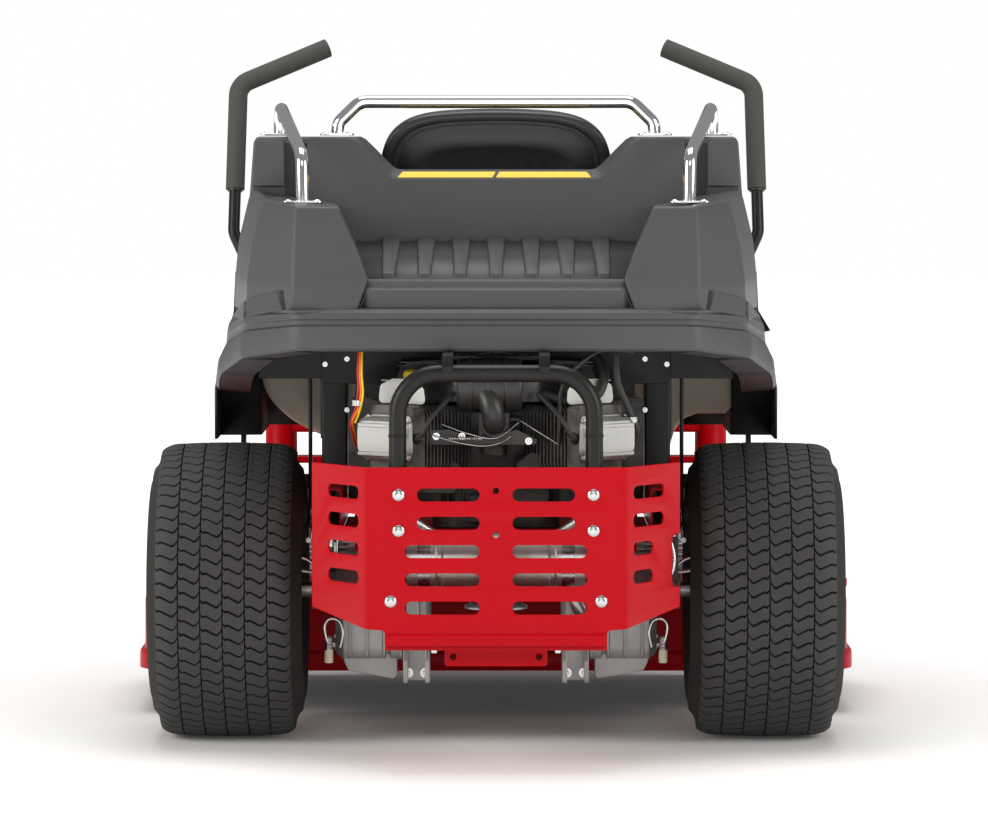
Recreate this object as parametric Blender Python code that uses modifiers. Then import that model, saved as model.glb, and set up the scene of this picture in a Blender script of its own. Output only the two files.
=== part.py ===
"""Zero turn mower, built as an assembly of separate pieces.

Metres, +Z up, +Y the way the mower drives, X = 0 on its centre line, the ground at Z = 0.
Places along the machine are given ahead of the rear axle line, and `place` turns them into Y.
The Y origin is the middle of the overall length.
"""

import math

import bmesh
import bpy
from mathutils import Matrix, Vector

# Overall layout
WHEEL_BASE = 1.20
REAR_REACH = 0.503
GAP = 0.0003
LEFT, RIGHT = -1, 1
SIDES = ((LEFT, "left"), (RIGHT, "right"))

# Rear wheels: 18 x 9.5 tyres on 8 inch rims
REAR_RADIUS = 0.2286
REAR_X = 0.411
REAR_SECTION = 0.118
REAR_RIM = 0.1016
REAR_FLANGE = 0.0134
REAR_BULGE = 0.0636
REAR_SHOULDER = 0.0236
REAR_STEPS = 24
REAR_AXLE_Z = REAR_RADIUS * math.cos(math.pi / REAR_STEPS)

# Caster wheels: 13 x 5 tyres on 6 inch rims
CASTER_RADIUS = 0.165
CASTER_X = 0.38
CASTER_TRAIL = 0.06
CASTER_SECTION = 0.06
CASTER_RIM = 0.0762
CASTER_FLANGE = 0.0108
CASTER_BULGE = 0.060
CASTER_SHOULDER = 0.025
CASTER_CROWN = 0.020
CASTER_STEPS = 16
CASTER_AXLE_Z = CASTER_RADIUS * math.cos(math.pi / CASTER_STEPS)
CASTER_AXLE_AHEAD = WHEEL_BASE - CASTER_TRAIL
CASTER_HUB_HALF = 0.0715
CASTER_BOLT = 0.0095
CASTER_STEM = 0.0125
CROWN_TOP = 0.363
CROWN_THICK = 0.012

FRONT_REACH = CASTER_AXLE_AHEAD + CASTER_AXLE_Z
AXLE_Y = (REAR_REACH - FRONT_REACH) / 2

# Frame
RAIL_X = 0.2475
RAIL_WIDTH = 0.04
RAIL_BOTTOM = 0.335
RAIL_HEIGHT = 0.07
RAIL_WALL = 0.003
RAIL_BACK = -0.36
RAIL_TOP = RAIL_BOTTOM + RAIL_HEIGHT
RAIL_INNER = RAIL_X - RAIL_WIDTH / 2
RAIL_OUTER = RAIL_X + RAIL_WIDTH / 2
BEAM_SIZE = 0.05
BEAM_BOTTOM = RAIL_TOP + GAP
BEAM_TOP = BEAM_BOTTOM + BEAM_SIZE
SPINDLE_TUBE = 0.028
SPINDLE_TUBE_TOP = 0.485
UPRIGHT_HALF = 0.03
COWL_SEAT_Z = 0.608
CROSS_PLATE_BOTTOM = 0.54
SEAT_PLATE_Z = 0.572
SEAT_PLATE_THICK = 0.005

# Engine and exhaust
CRANK_AHEAD = -0.20
CRANK_RADIUS = 0.014
ENGINE_PLATE_THICK = 0.006
ENGINE_TOP = 0.53
CYLINDER_REACH = 0.22
COVER_THICK = 0.03
COVER_WIDTH = 0.10
COVER_HEIGHT = 0.07
COVER_Z = 0.48
BLOWER_RADIUS = 0.15
BLOWER_TOP = 0.585
MUFFLER_RADIUS = 0.045
MUFFLER_AHEAD = -0.42
MUFFLER_Z = 0.303
MUFFLER_HALF = 0.15

# Drive
PULLEY_X = 0.15
PULLEY_AHEAD = 0.03
PULLEY_RADIUS = 0.055
GROOVE_RADIUS = 0.045
PULLEY_Z = 0.300
PULLEY_THICK = 0.012
PULLEY_CHEEK = 0.002
BELT_THICK = 0.008
BELT_SLACK = 0.0015
INPUT_SHAFT = 0.010
AXLE_SHAFT = 0.0125
HORN_END = 0.284
TRANSAXLE_TOP = 0.285
HUB_FACE = 0.370
PILOT_RADIUS = 0.03

# Engine guard, its hoop and the cradle under it
SHEET = 0.003
GUARD_AHEAD = -REAR_REACH + SHEET
GUARD_HALF = 0.1885
WING_AHEAD = -0.37
GUARD_TOP = 0.445
GUARD_BOTTOM = 0.1845
SLOT_HEIGHT = 0.0188
SLOT_PITCH = 0.041
SLOT_TOP_Z = 0.405
HOOP_RADIUS = 0.0127
HOOP_X = 0.1425
HOOP_TOP = 0.58
HOOP_CORNER = 0.06
HOOP_AHEAD = GUARD_AHEAD + GAP + HOOP_RADIUS
CRADLE_X = 0.17
CRADLE_TOP = GUARD_BOTTOM - GAP

# Cowl: fender pods, towers and the load bed between them
COWL_WALL = 0.004
POD_INNER = 0.20
POD_TOP = 0.824
POD_BACK = -0.385
TOWER_TOP = 0.925
TOWER_BACK = -0.07
TOWER_FRONT = 0.12
BED_BACK = (-0.345, 0.712)
BED_SLOPE = 0.053 / 0.273
CONSOLE_TOP = 0.72
CONSOLE_FRONT = 0.59
SKIRT_BOTTOM = 0.45
BED_HALF = 0.215

# Chrome rails
RAIL_TUBE = 0.0098
FOOT_THICK = 0.003

# Seat
SEAT_HALF = 0.19
SEAT_HINGE_AHEAD = 0.612
SEAT_HINGE_Z = SEAT_PLATE_Z - 0.006
SEAT_PIN = 0.005
CUSHION_BOTTOM = SEAT_PLATE_Z + SEAT_PLATE_THICK + GAP
CUSHION_TOP = 0.67
SEAT_BACK_TOP = 0.963
SEAT_BACK_HALF = 0.18

# Footplate
PAN_Z = 0.459
PAN_THICK = 0.004
PAN_HALF = 0.266
PAN_BACK = 0.60

# Lap bars
LEVER_AHEAD = 0.37
LEVER_X = 0.392
ARM_PIVOT_Z = 0.37
SWING_Z = 0.625
BAR_RADIUS = 0.0095
GRIP_RADIUS = 0.0155
GRIP_START_Z = 0.84
TONGUE_HALF = 0.012
EAR_THICK = 0.006

# Deck
DECK_HALF = 0.575
DECK_BACK = 0.30
DECK_FRONT = 0.94
DECK_CORNER = 0.20
DECK_BOTTOM = 0.07
SKIRT_TOP = 0.10
DECK_TOP = 0.205
DECK_WALL = 0.004
SKIRT_STEP = 0.008
SPINDLE_X = 0.265
SPINDLE_AHEAD = {LEFT: 0.585, RIGHT: 0.655}
BLADE_HALF = 0.262
BLADE_Z = 0.080
BLADE_THICK = 0.005
BOSS_TOP = 0.232
DOOR_BACK = 0.50
DOOR_FRONT = 0.74
DOOR_HINGE_X = 0.571
DOOR_HINGE_Z = 0.196

# Fuel tanks and console controls
TANK_BACK = 0.245
TANK_FRONT = 0.52
TANK_TOP = 0.60
TANK_OUTER = 0.374
FILLER_X = -0.30
FILLER_AHEAD = 0.44
FILLER_RADIUS = 0.025
FILLER_TOP = 0.728
KNOB_X, KNOB_AHEAD, KNOB_STEM = 0.30, 0.30, 0.007
THROTTLE_X, THROTTLE_AHEAD = 0.25, 0.40
KEY_X, KEY_AHEAD = 0.335, 0.42
HAND_LEVER_AHEAD = 0.70
HAND_LEVER_Z = 0.37

# Finishes: base colour, roughness, metallic
FINISHES = {
    "red_paint": ((0.60, 0.004, 0.012), 0.35, 0.0),
    "black_paint": ((0.012, 0.012, 0.013), 0.45, 0.0),
    "cowl_plastic": ((0.075, 0.077, 0.082), 0.55, 0.0),
    "chrome": ((0.82, 0.82, 0.83), 0.08, 1.0),
    "tyre_rubber": ((0.030, 0.030, 0.030), 0.85, 0.0),
    "rim_paint": ((0.72, 0.70, 0.66), 0.40, 0.0),
    "cast_aluminium": ((0.52, 0.52, 0.51), 0.50, 0.9),
    "steel": ((0.45, 0.45, 0.46), 0.35, 1.0),
    "black_plastic": ((0.02, 0.02, 0.021), 0.50, 0.0),
    "grip_foam": ((0.045, 0.042, 0.040), 0.95, 0.0),
    "seat_vinyl": ((0.025, 0.026, 0.028), 0.60, 0.0),
    "tank_plastic": ((0.42, 0.33, 0.24), 0.45, 0.0),
    "belt_rubber": ((0.02, 0.02, 0.02), 0.80, 0.0),
}


# ---------------------------------------------------------------- scene and helpers


def clear_scene():
    for obj in list(bpy.data.objects):
        bpy.data.objects.remove(obj)


def new_collection(name):
    collection = bpy.data.collections.new(name)
    bpy.context.scene.collection.children.link(collection)
    return collection


def make_finishes():
    made = {}
    for name, (colour, roughness, metallic) in FINISHES.items():
        material = bpy.data.materials.new(name)
        material.use_nodes = True
        shader = material.node_tree.nodes["Principled BSDF"]
        shader.inputs["Base Color"].default_value = (*colour, 1.0)
        shader.inputs["Roughness"].default_value = roughness
        shader.inputs["Metallic"].default_value = metallic
        made[name] = material
    return made


clear_scene()
PARTS = new_collection("zero_turn_mower")
CUTTERS = new_collection("cutters")
MATERIALS = make_finishes()


def place(x, ahead, z):
    """A point given ahead of the rear axle line, in the part's own frame."""
    return Vector((x, AXLE_Y + ahead, z))


def finish(obj, material):
    obj.data.materials.clear()
    obj.data.materials.append(MATERIALS[material])
    obj.data.shade_smooth()
    obj.data.set_sharp_from_angle(angle=math.radians(30))
    return obj


def object_from(name, bm):
    """Turns a bmesh into a named object with its faces pointing out."""
    bmesh.ops.remove_doubles(bm, verts=bm.verts, dist=1e-6)
    bmesh.ops.recalc_face_normals(bm, faces=bm.faces)
    mesh = bpy.data.meshes.new(name)
    bm.to_mesh(mesh)
    bm.free()
    obj = bpy.data.objects.new(name, mesh)
    PARTS.objects.link(obj)
    return obj


def baked(source, name, mapping):
    """Replaces a curve or a modified mesh by its evaluated mesh, with each point sent through mapping."""
    graph = bpy.context.evaluated_depsgraph_get()
    mesh = bpy.data.meshes.new_from_object(source.evaluated_get(graph))
    bpy.data.objects.remove(source)
    bm = bmesh.new()
    bm.from_mesh(mesh)
    bpy.data.meshes.remove(mesh)
    for vertex in bm.verts:
        vertex.co = mapping(vertex.co)
    return object_from(name, bm)


def loose_object(name, data):
    obj = bpy.data.objects.new(name, data)
    PARTS.objects.link(obj)
    bpy.context.view_layer.update()
    return obj


def tapered_block(name, foot, head, z):
    """A block whose foot and head are ((low x, high x), (back, front)) at the two heights in z."""
    bm = bmesh.new()
    bmesh.ops.create_cube(bm, size=1.0)
    for vertex in bm.verts:
        xs, aheads = head if vertex.co.z > 0 else foot
        vertex.co = place(xs[vertex.co.x > 0], aheads[vertex.co.y > 0], z[vertex.co.z > 0])
    return object_from(name, bm)


def block(name, x, ahead, z):
    return tapered_block(name, (sorted(x), ahead), (sorted(x), ahead), z)


def bar(name, start, end, width, z):
    """A level bar between two (x, ahead) points, with its width across and its two heights in z."""
    run = Vector(end) - Vector(start)
    across = Vector((-run.y, run.x)).normalized() * width / 2
    bm = bmesh.new()
    bmesh.ops.create_cube(bm, size=1.0)
    for vertex in bm.verts:
        spot = Vector(end if vertex.co.x > 0 else start)
        spot += across if vertex.co.y > 0 else -across
        vertex.co = place(spot.x, spot.y, z[vertex.co.z > 0])
    return object_from(name, bm)


def drum(name, radius, start, end, sides=16):
    """A cylinder between two points given as (x, ahead, z)."""
    start, end = place(*start), place(*end)
    bm = bmesh.new()
    bmesh.ops.create_cone(
        bm, cap_ends=True, segments=sides, radius1=radius, radius2=radius, depth=(end - start).length
    )
    turn = (end - start).to_track_quat("Z", "Y").to_matrix().to_4x4()
    bm.transform(Matrix.Translation((start + end) / 2) @ turn)
    return object_from(name, bm)


def rounded(corners, radius, steps=5, closed=True):
    """A path with each inner corner replaced by an arc of the given radius."""
    corners = [Vector(c) for c in corners]
    count = len(corners)
    path = []
    for i, corner in enumerate(corners):
        if not closed and i in (0, count - 1):
            path.append(corner)
            continue
        back = (corners[i - 1] - corner).normalized()
        ahead = (corners[(i + 1) % count] - corner).normalized()
        half = back.angle(ahead) / 2
        centre = corner + (back + ahead).normalized() * radius / math.sin(half)
        first = (corner + back * radius / math.tan(half) - centre).normalized()
        last = (corner + ahead * radius / math.tan(half) - centre).normalized()
        path += [centre + first.slerp(last, k / steps) * radius for k in range(steps + 1)]
    return path


def pipe(name, points, radius, roundness=2):
    """A round tube or wire through (x, ahead, z) points."""
    curve = bpy.data.curves.new(name, "CURVE")
    curve.dimensions = "3D"
    curve.bevel_depth = radius
    curve.bevel_resolution = roundness
    curve.use_fill_caps = True
    spline = curve.splines.new("POLY")
    spline.points.add(len(points) - 1)
    for target, point in zip(spline.points, points):
        target.co = (*place(*point), 1.0)
    return baked(loose_object(name + "_curve", curve), name, lambda co: co)


def prism(name, outlines, axis, low, high):
    """Flat outlines, the first with any holes after it, pushed along X, Y or Z between low and high.

    An outline's numbers are (ahead, z) for X, (x, z) for Y and (x, ahead) for Z.
    """
    curve = bpy.data.curves.new(name, "CURVE")
    curve.dimensions = "2D"
    curve.fill_mode = "BOTH"
    curve.extrude = (high - low) / 2
    for outline in outlines:
        spline = curve.splines.new("POLY")
        spline.use_cyclic_u = True
        spline.points.add(len(outline) - 1)
        for target, point in zip(spline.points, outline):
            target.co = (point[0], point[1], 0.0, 1.0)
    middle = (low + high) / 2
    mapping = {
        "X": lambda co: place(middle + co.z, co.x, co.y),
        "Y": lambda co: place(co.x, middle + co.z, co.y),
        "Z": lambda co: place(co.x, co.y, middle + co.z),
    }[axis]
    return baked(loose_object(name + "_curve", curve), name, mapping)


def turned(name, profile, steps, centre, axis, closed=True):
    """A profile of (radius, distance along the axis) points turned about X or Z through centre."""
    mesh = bpy.data.meshes.new(name)
    edges = [(i, i + 1) for i in range(len(profile) - 1)]
    if closed:
        edges.append((len(profile) - 1, 0))
    mesh.from_pydata([(r, 0.0, a) for r, a in profile], edges, [])
    obj = loose_object(name + "_profile", mesh)
    screw = obj.modifiers.new("turn", "SCREW")
    screw.steps = screw.render_steps = steps
    screw.use_merge_vertices = True
    screw.merge_threshold = 0.00001
    half_step = Matrix.Rotation(math.pi / steps, 4, "Z")
    onto_axis = half_step if axis == "Z" else Matrix.Rotation(math.pi / 2, 4, "Y") @ half_step
    middle = place(*centre)
    return baked(obj, name, lambda co: middle + onto_axis @ co)


def boolean(target, operation, others):
    for other in others:
        modifier = target.modifiers.new(other.name, "BOOLEAN")
        modifier.operation = operation
        modifier.solver = "EXACT"
        modifier.object = other
        PARTS.objects.unlink(other)
        CUTTERS.objects.link(other)
        other.hide_render = True
        other.display_type = "WIRE"
    return target


def join(target, *others):
    return boolean(target, "UNION", others)


def cut(target, *others):
    return boolean(target, "DIFFERENCE", others)


def gathered(name, pieces):
    """Several separate cutters as one object, so that one Boolean makes the whole pattern."""
    bm = bmesh.new()
    for piece in pieces:
        bm.from_mesh(piece.data)
        bpy.data.objects.remove(piece)
    return object_from(name, bm)


def pivot(name, point, parent=None):
    """An empty on a joint's axis. What is hung on it turns or slides there."""
    empty = bpy.data.objects.new(name, None)
    empty.empty_display_size = 0.05
    PARTS.objects.link(empty)
    spot = place(*point)
    empty.location = spot - parent.matrix_world.translation if parent else spot
    empty.parent = parent
    bpy.context.view_layer.update()
    return empty


def hang(empty, *pieces):
    """Parents pieces to a joint's empty, with their origins on the axis and their shapes where they were."""
    spot = empty.matrix_world.translation
    for piece in pieces:
        piece.data.transform(Matrix.Translation(-spot))
        piece.parent = empty


def sheet_outline(path, thickness):
    """The closed outline of a bent sheet that lies to the left of its path."""
    path = [Vector(p) for p in path]
    offset = []
    for i, point in enumerate(path):
        runs = [path[i] - path[i - 1]] if i else []
        runs += [path[i + 1] - path[i]] if i < len(path) - 1 else []
        normals = [Vector((-run.y, run.x)).normalized() for run in runs]
        mean = sum(normals, Vector((0, 0))).normalized()
        offset.append(point + mean * thickness / mean.dot(normals[0]))
    return path + offset[::-1]


def slot_outline(centre, half_length, half_height):
    """A long slot with round ends."""
    straight = half_length - half_height
    outline = []
    for end, start_angle in ((1, -math.pi / 2), (-1, math.pi / 2)):
        for k in range(5):
            angle = start_angle + math.pi * k / 4
            outline.append(
                (
                    centre[0] + end * straight + half_height * math.cos(angle),
                    centre[1] + half_height * math.sin(angle),
                )
            )
    return outline


# ---------------------------------------------------------------- frame


def frame_rail(side, word):
    """A rectangular steel tube from the engine to the caster beam."""
    half, wall = RAIL_WIDTH / 2, RAIL_WALL
    x = side * RAIL_X

    def section(inset):
        return [
            (x - half + inset, RAIL_BOTTOM + inset),
            (x + half - inset, RAIL_BOTTOM + inset),
            (x + half - inset, RAIL_TOP - inset),
            (x - half + inset, RAIL_TOP - inset),
        ]

    front = WHEEL_BASE + BEAM_SIZE / 2
    rail = prism(f"{word}_frame_rail", [section(0), section(wall)], "Y", RAIL_BACK, front)
    return finish(rail, "red_paint")


def front_axle_beam():
    """The cross beam on the rails, with an upright tube at each end for a caster stem."""
    half = BEAM_SIZE / 2
    beam = block(
        "front_axle_beam",
        (-CASTER_X, CASTER_X),
        (WHEEL_BASE - half, WHEEL_BASE + half),
        (BEAM_BOTTOM, BEAM_TOP),
    )
    for side, word in SIDES:
        x = side * CASTER_X
        foot, head = (x, WHEEL_BASE, CROWN_TOP + GAP), (x, WHEEL_BASE, SPINDLE_TUBE_TOP)
        join(beam, drum(f"{word}_spindle_tube", SPINDLE_TUBE, foot, head))
        below, above = (x, WHEEL_BASE, 0.3), (x, WHEEL_BASE, 0.6)
        cut(beam, drum(f"{word}_stem_bore", CASTER_STEM + 0.0005, below, above))
    return finish(beam, "red_paint")


def rear_upright_frame():
    """The black arch on the rails that carries the cowl and the back of the seat plate."""
    top = COWL_SEAT_Z - GAP
    frame = block(
        "rear_upright_frame",
        (-RAIL_OUTER, RAIL_OUTER),
        (-UPRIGHT_HALF, UPRIGHT_HALF),
        (CROSS_PLATE_BOTTOM, top),
    )
    for side, word in SIDES:
        xs = (side * RAIL_INNER, side * RAIL_OUTER)
        leg = block(
            f"{word}_upright_leg",
            xs,
            (-UPRIGHT_HALF, UPRIGHT_HALF),
            (RAIL_TOP + GAP, CROSS_PLATE_BOTTOM + 0.01),
        )
        join(frame, leg)
    ledge = block("seat_ledge", (-0.10, 0.10), (0.0, 0.17), (0.556, SEAT_PLATE_Z - GAP))
    return finish(join(frame, ledge), "black_paint")


def engine_plate():
    """The plate between the rails that the engine is bolted to."""
    half = RAIL_INNER - GAP
    top = RAIL_BOTTOM + ENGINE_PLATE_THICK
    plate = block("engine_plate", (-half, half), (-0.37, -0.03), (RAIL_BOTTOM, top))
    below, above = (0, CRANK_AHEAD, RAIL_BOTTOM - 0.01), (0, CRANK_AHEAD, top + 0.01)
    return finish(cut(plate, drum("crank_clearance", 0.045, below, above)), "red_paint")


def rear_cradle():
    """The bent bracket under the engine that holds the guard's foot, the muffler and a towing tab."""
    floor_low = CRADLE_TOP - 0.006
    wall = 0.005
    cradle = block("rear_cradle", (-CRADLE_X, CRADLE_X), (-0.49, -0.36), (floor_low, CRADLE_TOP))
    for side, word in SIDES:
        xs = (side * CRADLE_X, side * (CRADLE_X - wall))
        arm = prism(
            f"{word}_cradle_arm",
            [[(-0.46, floor_low), (-0.36, floor_low), (-0.25, 0.30), (-0.25, RAIL_BOTTOM - GAP),
              (-0.365, RAIL_BOTTOM - GAP), (-0.46, 0.30)]],
            "X",
            min(xs),
            max(xs),
        )
        join(cradle, arm)
    tab = block("towing_tab", (-0.075, 0.075), (-0.455, -0.449), (0.152, floor_low + 0.003))
    holes = [
        drum(f"tab_hole_{x:+.2f}", 0.005, (x, -0.47, 0.166), (x, -0.43, 0.166), sides=12)
        for x in (-0.0625, 0.0625)
    ]
    join(cradle, tab)
    return finish(cut(cradle, gathered("tab_holes", holes)), "red_paint")


# ---------------------------------------------------------------- engine guard


def guard_slots():
    """Cutters for the five rows in the middle panel, the four rows in each wing and the two centre holes."""
    cutters = []
    for row in range(5):
        z = SLOT_TOP_Z - row * SLOT_PITCH
        outer = 0.1143 if row < 2 else 0.1317
        for side in (LEFT, RIGHT):
            middle = side * (0.0236 + outer) / 2
            outline = slot_outline((middle, z), (outer - 0.0236) / 2, SLOT_HEIGHT / 2)
            cutters.append(prism("slot", [outline], "Y", GUARD_AHEAD - 0.02, GUARD_AHEAD + 0.02))
    for z in (0.411, 0.347):
        front, back = (0, GUARD_AHEAD + 0.02, z), (0, GUARD_AHEAD - 0.02, z)
        cutters.append(drum("guard_hole", 0.0045, back, front, sides=12))
    for side in (LEFT, RIGHT):
        for row in range(4):
            length = 0.026 if side == RIGHT and row > 1 else 0.036
            cutters.append(wing_slot(side, SLOT_TOP_Z - row * SLOT_PITCH, length))
    return gathered("guard_slots", cutters)


def wing_slot(side, z, length):
    """A slot through a wing, square to its sheet. length is its run along the wing."""
    inner = Vector((side * GUARD_HALF, GUARD_AHEAD))
    outer = Vector((side * (RAIL_OUTER + GAP + SHEET), WING_AHEAD))
    run = (outer - inner).normalized()
    middle = inner + run * (0.040 + length)
    through = Vector((-run.y, run.x)) * 0.03
    outline = slot_outline((0.0, 0.0), length, SLOT_HEIGHT / 2)
    slot = prism("slot", [outline], "Z", -1.0, 1.0)
    for vertex in slot.data.vertices:
        along_run, height, depth = vertex.co.x, vertex.co.y - AXLE_Y, vertex.co.z
        spot = middle + run * along_run + through * depth
        vertex.co = place(spot.x, spot.y, z + height)
    return slot


def engine_guard():
    """One bent sheet: a middle panel, two swept wings that bolt to the rails, and a foot lip."""
    wing_x = RAIL_OUTER + GAP + SHEET
    plan = [
        (-wing_x, -0.30),
        (-wing_x, WING_AHEAD),
        (-GUARD_HALF, GUARD_AHEAD - SHEET),
        (GUARD_HALF, GUARD_AHEAD - SHEET),
        (wing_x, WING_AHEAD),
        (wing_x, -0.30),
    ]
    guard = prism("engine_guard", [sheet_outline(plan, SHEET)], "Z", GUARD_BOTTOM, GUARD_TOP)
    lip_half = CRADLE_X - 0.009
    trims = []
    for side in (LEFT, RIGHT):
        corner = [
            (side * (wing_x + 0.05), 0.15),
            (side * lip_half, 0.15),
            (side * lip_half, 0.210),
            (side * GUARD_HALF, 0.2105),
            (side * wing_x, 0.232),
            (side * (wing_x + 0.05), 0.232),
        ]
        trims.append(prism("wing_trim", [corner], "Y", -0.6, -0.2))
    notch = block("notch", (0.249, wing_x + 0.05), (-0.6, -0.2), (0.262, 0.342))
    cut(guard, gathered("wing_trims", trims), guard_slots(), notch)
    lip = block(
        "guard_lip",
        (-lip_half + GAP, lip_half - GAP),
        (GUARD_AHEAD - SHEET / 2, -0.455),
        (GUARD_BOTTOM, GUARD_BOTTOM + SHEET),
    )
    return finish(join(guard, lip), "red_paint")


def guard_hoop():
    """The black tube arch behind the guard, with two straps that steady the cowl's tail."""
    corners = [(-HOOP_X, 0.22), (-HOOP_X, HOOP_TOP), (HOOP_X, HOOP_TOP), (HOOP_X, 0.22)]
    path = rounded(corners, HOOP_CORNER, steps=5, closed=False)
    hoop = pipe("guard_hoop", [(p.x, HOOP_AHEAD, p.y) for p in path], HOOP_RADIUS, roundness=2)
    top = COWL_SEAT_Z - GAP
    for side, word in SIDES:
        xs = (side * 0.062, side * 0.078)
        outline = [
            (HOOP_AHEAD - 0.004, HOOP_TOP),
            (HOOP_AHEAD + 0.004, HOOP_TOP),
            (HOOP_AHEAD + 0.004, top - 0.006),
            (-0.36, top - 0.006),
            (-0.36, top),
            (HOOP_AHEAD - 0.004, top),
        ]
        join(hoop, prism(f"{word}_strap", [outline], "X", min(xs), max(xs)))
    return finish(hoop, "black_paint")


# ---------------------------------------------------------------- cowl


def pod_blocks(word, side, inset):
    """The three tapered blocks of one fender pod, or their hollows when inset is the wall."""

    def xs(inner, outer):
        return sorted((side * (inner + inset), side * (outer - inset)))

    lower = 0.02 if inset else 0.0
    rear = tapered_block(
        f"{word}_pod_{inset}",
        (xs(POD_INNER, 0.430), (POD_BACK + inset, 0.22 - inset)),
        (xs(0.222, 0.385), (-0.335 + inset, 0.22 - inset)),
        (COWL_SEAT_Z - lower, POD_TOP - inset),
    )
    tower = tapered_block(
        f"{word}_tower_{inset}",
        (xs(0.213, 0.385), (TOWER_BACK + inset, TOWER_FRONT + 0.02 - inset)),
        (xs(0.213, 0.375), (TOWER_BACK + inset, TOWER_FRONT - inset)),
        (POD_TOP - 0.03, TOWER_TOP - inset),
    )
    console_back = (0.20, 0.17) if inset else (0.235, 0.18)
    console = tapered_block(
        f"{word}_console_{inset}",
        (xs(POD_INNER, 0.4415), (console_back[0], CONSOLE_FRONT - inset)),
        (xs(POD_INNER, 0.425), (console_back[1], CONSOLE_FRONT - inset)),
        (SKIRT_BOTTOM - lower, CONSOLE_TOP - inset),
    )
    return rear, tower, console


def rear_cowl():
    """The moulded cowl: two fender pods with towers and consoles, and a load bed between them."""
    left = pod_blocks("left", LEFT, 0.0)
    right = pod_blocks("right", RIGHT, 0.0)
    bed_path = [
        (POD_BACK, COWL_SEAT_Z),
        (-0.392, 0.650),
        (-0.372, 0.662),
        (-0.352, 0.700),
        BED_BACK,
        (TOWER_BACK + 0.002, BED_BACK[1] + (TOWER_BACK + 0.002 - BED_BACK[0]) * BED_SLOPE),
    ]
    bed_outline = sheet_outline(bed_path[::-1], COWL_WALL)
    cowl = prism("rear_cowl", [bed_outline], "X", -BED_HALF, BED_HALF)
    wall_outline = [
        (-0.2155, TOWER_TOP),
        (-0.157, 0.863),
        (0.157, 0.863),
        (0.2155, TOWER_TOP),
        (0.217, 0.757),
        (-0.217, 0.757),
    ]
    wall = prism("seat_wall", [wall_outline], "Y", TOWER_BACK, TOWER_BACK + COWL_WALL)
    join(cowl, wall, *left, *right)
    cut(cowl, *pod_blocks("left", LEFT, COWL_WALL), *pod_blocks("right", RIGHT, COWL_WALL))
    for side, word in SIDES:
        inner_open = block(
            f"{word}_skirt_opening",
            (side * (POD_INNER - 0.01), side * 0.30),
            (0.10, CONSOLE_FRONT + 0.01),
            (SKIRT_BOTTOM - 0.02, COWL_SEAT_Z),
        )
        lever_notch = block(
            f"{word}_lever_notch", (side * 0.372, side * 0.46), (0.275, 0.515), (0.625, 0.75)
        )
        cut(cowl, inner_open, lever_notch)
    filler = (FILLER_X, FILLER_AHEAD)
    knob = (KNOB_X, KNOB_AHEAD)
    cut(
        cowl,
        drum("filler_hole", FILLER_RADIUS + 0.003, (*filler, 0.70), (*filler, 0.74)),
        drum("knob_hole", KNOB_STEM + 0.0006, (*knob, 0.70), (*knob, 0.74)),
        block(
            "throttle_slot",
            (THROTTLE_X - 0.0031, THROTTLE_X + 0.0031),
            (THROTTLE_AHEAD - 0.045, THROTTLE_AHEAD + 0.045),
            (0.70, 0.74),
        ),
    )
    return finish(cowl, "cowl_plastic")


# ---------------------------------------------------------------- chrome rails


def flange(name, x, ahead, z, half_x=0.030, half_ahead=0.020):
    return block(name, (x - half_x, x + half_x), (ahead - half_ahead, ahead + half_ahead),
                 (z, z + FOOT_THICK))


def cargo_rail(side, word):
    """A chrome hand rail from the pod's shoulder up to the top of the tower."""
    foot_z, head_z = POD_TOP + GAP, TOWER_TOP + GAP
    corners = [
        (side * 0.288, -0.25, foot_z + 0.001),
        (side * 0.289, -0.25, 0.895),
        (side * 0.334, 0.060, 0.972),
        (side * 0.334, 0.060, head_z + 0.001),
    ]
    path = rounded(corners, 0.022, steps=4, closed=False)
    rail = pipe(f"{word}_cargo_rail", path, RAIL_TUBE, roundness=2)
    join(
        rail,
        flange(f"{word}_rail_foot", side * 0.288, -0.25, foot_z),
        flange(f"{word}_rail_head", side * 0.334, 0.060, head_z),
    )
    return finish(rail, "chrome")


def seat_back_rail():
    """The chrome cross rail behind the seat, from tower to tower."""
    z = TOWER_TOP + GAP
    corners = [(-0.2406, z - 0.001), (-0.208, 0.9766), (0.208, 0.9766), (0.2406, z - 0.001)]
    path = rounded(corners, 0.028, steps=5, closed=False)
    rail = pipe("seat_back_rail", [(p.x, -0.035, p.y) for p in path], RAIL_TUBE, roundness=2)
    cut(rail, block("foot_trim", (-0.3, 0.3), (-0.08, 0.01), (z - 0.03, z)))
    for side, word in SIDES:
        join(rail, flange(f"{word}_cross_foot", side * 0.243, -0.035, z, half_x=0.026))
    return finish(rail, "chrome")


# ---------------------------------------------------------------- seat and footplate


def seat_hinge_plate():
    """The plate under the seat, hinged at its front edge."""
    plate = block(
        "seat_hinge_plate",
        (-SEAT_HALF, SEAT_HALF),
        (0.13, 0.585),
        (SEAT_PLATE_Z, SEAT_PLATE_Z + SEAT_PLATE_THICK),
    )
    tongue = block("seat_tongue", (-0.118, 0.118), (0.580, SEAT_HINGE_AHEAD),
                   (SEAT_PLATE_Z - 0.001, SEAT_PLATE_Z + SEAT_PLATE_THICK - 0.001))
    axis = (SEAT_HINGE_AHEAD, SEAT_HINGE_Z)
    knuckle = drum("seat_knuckle", 0.008, (-0.12, *axis), (0.12, *axis))
    pin = drum("seat_pin", SEAT_PIN, (-0.1268, *axis), (0.1268, *axis), sides=12)
    return finish(join(plate, tongue, knuckle, pin), "black_paint")


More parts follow.
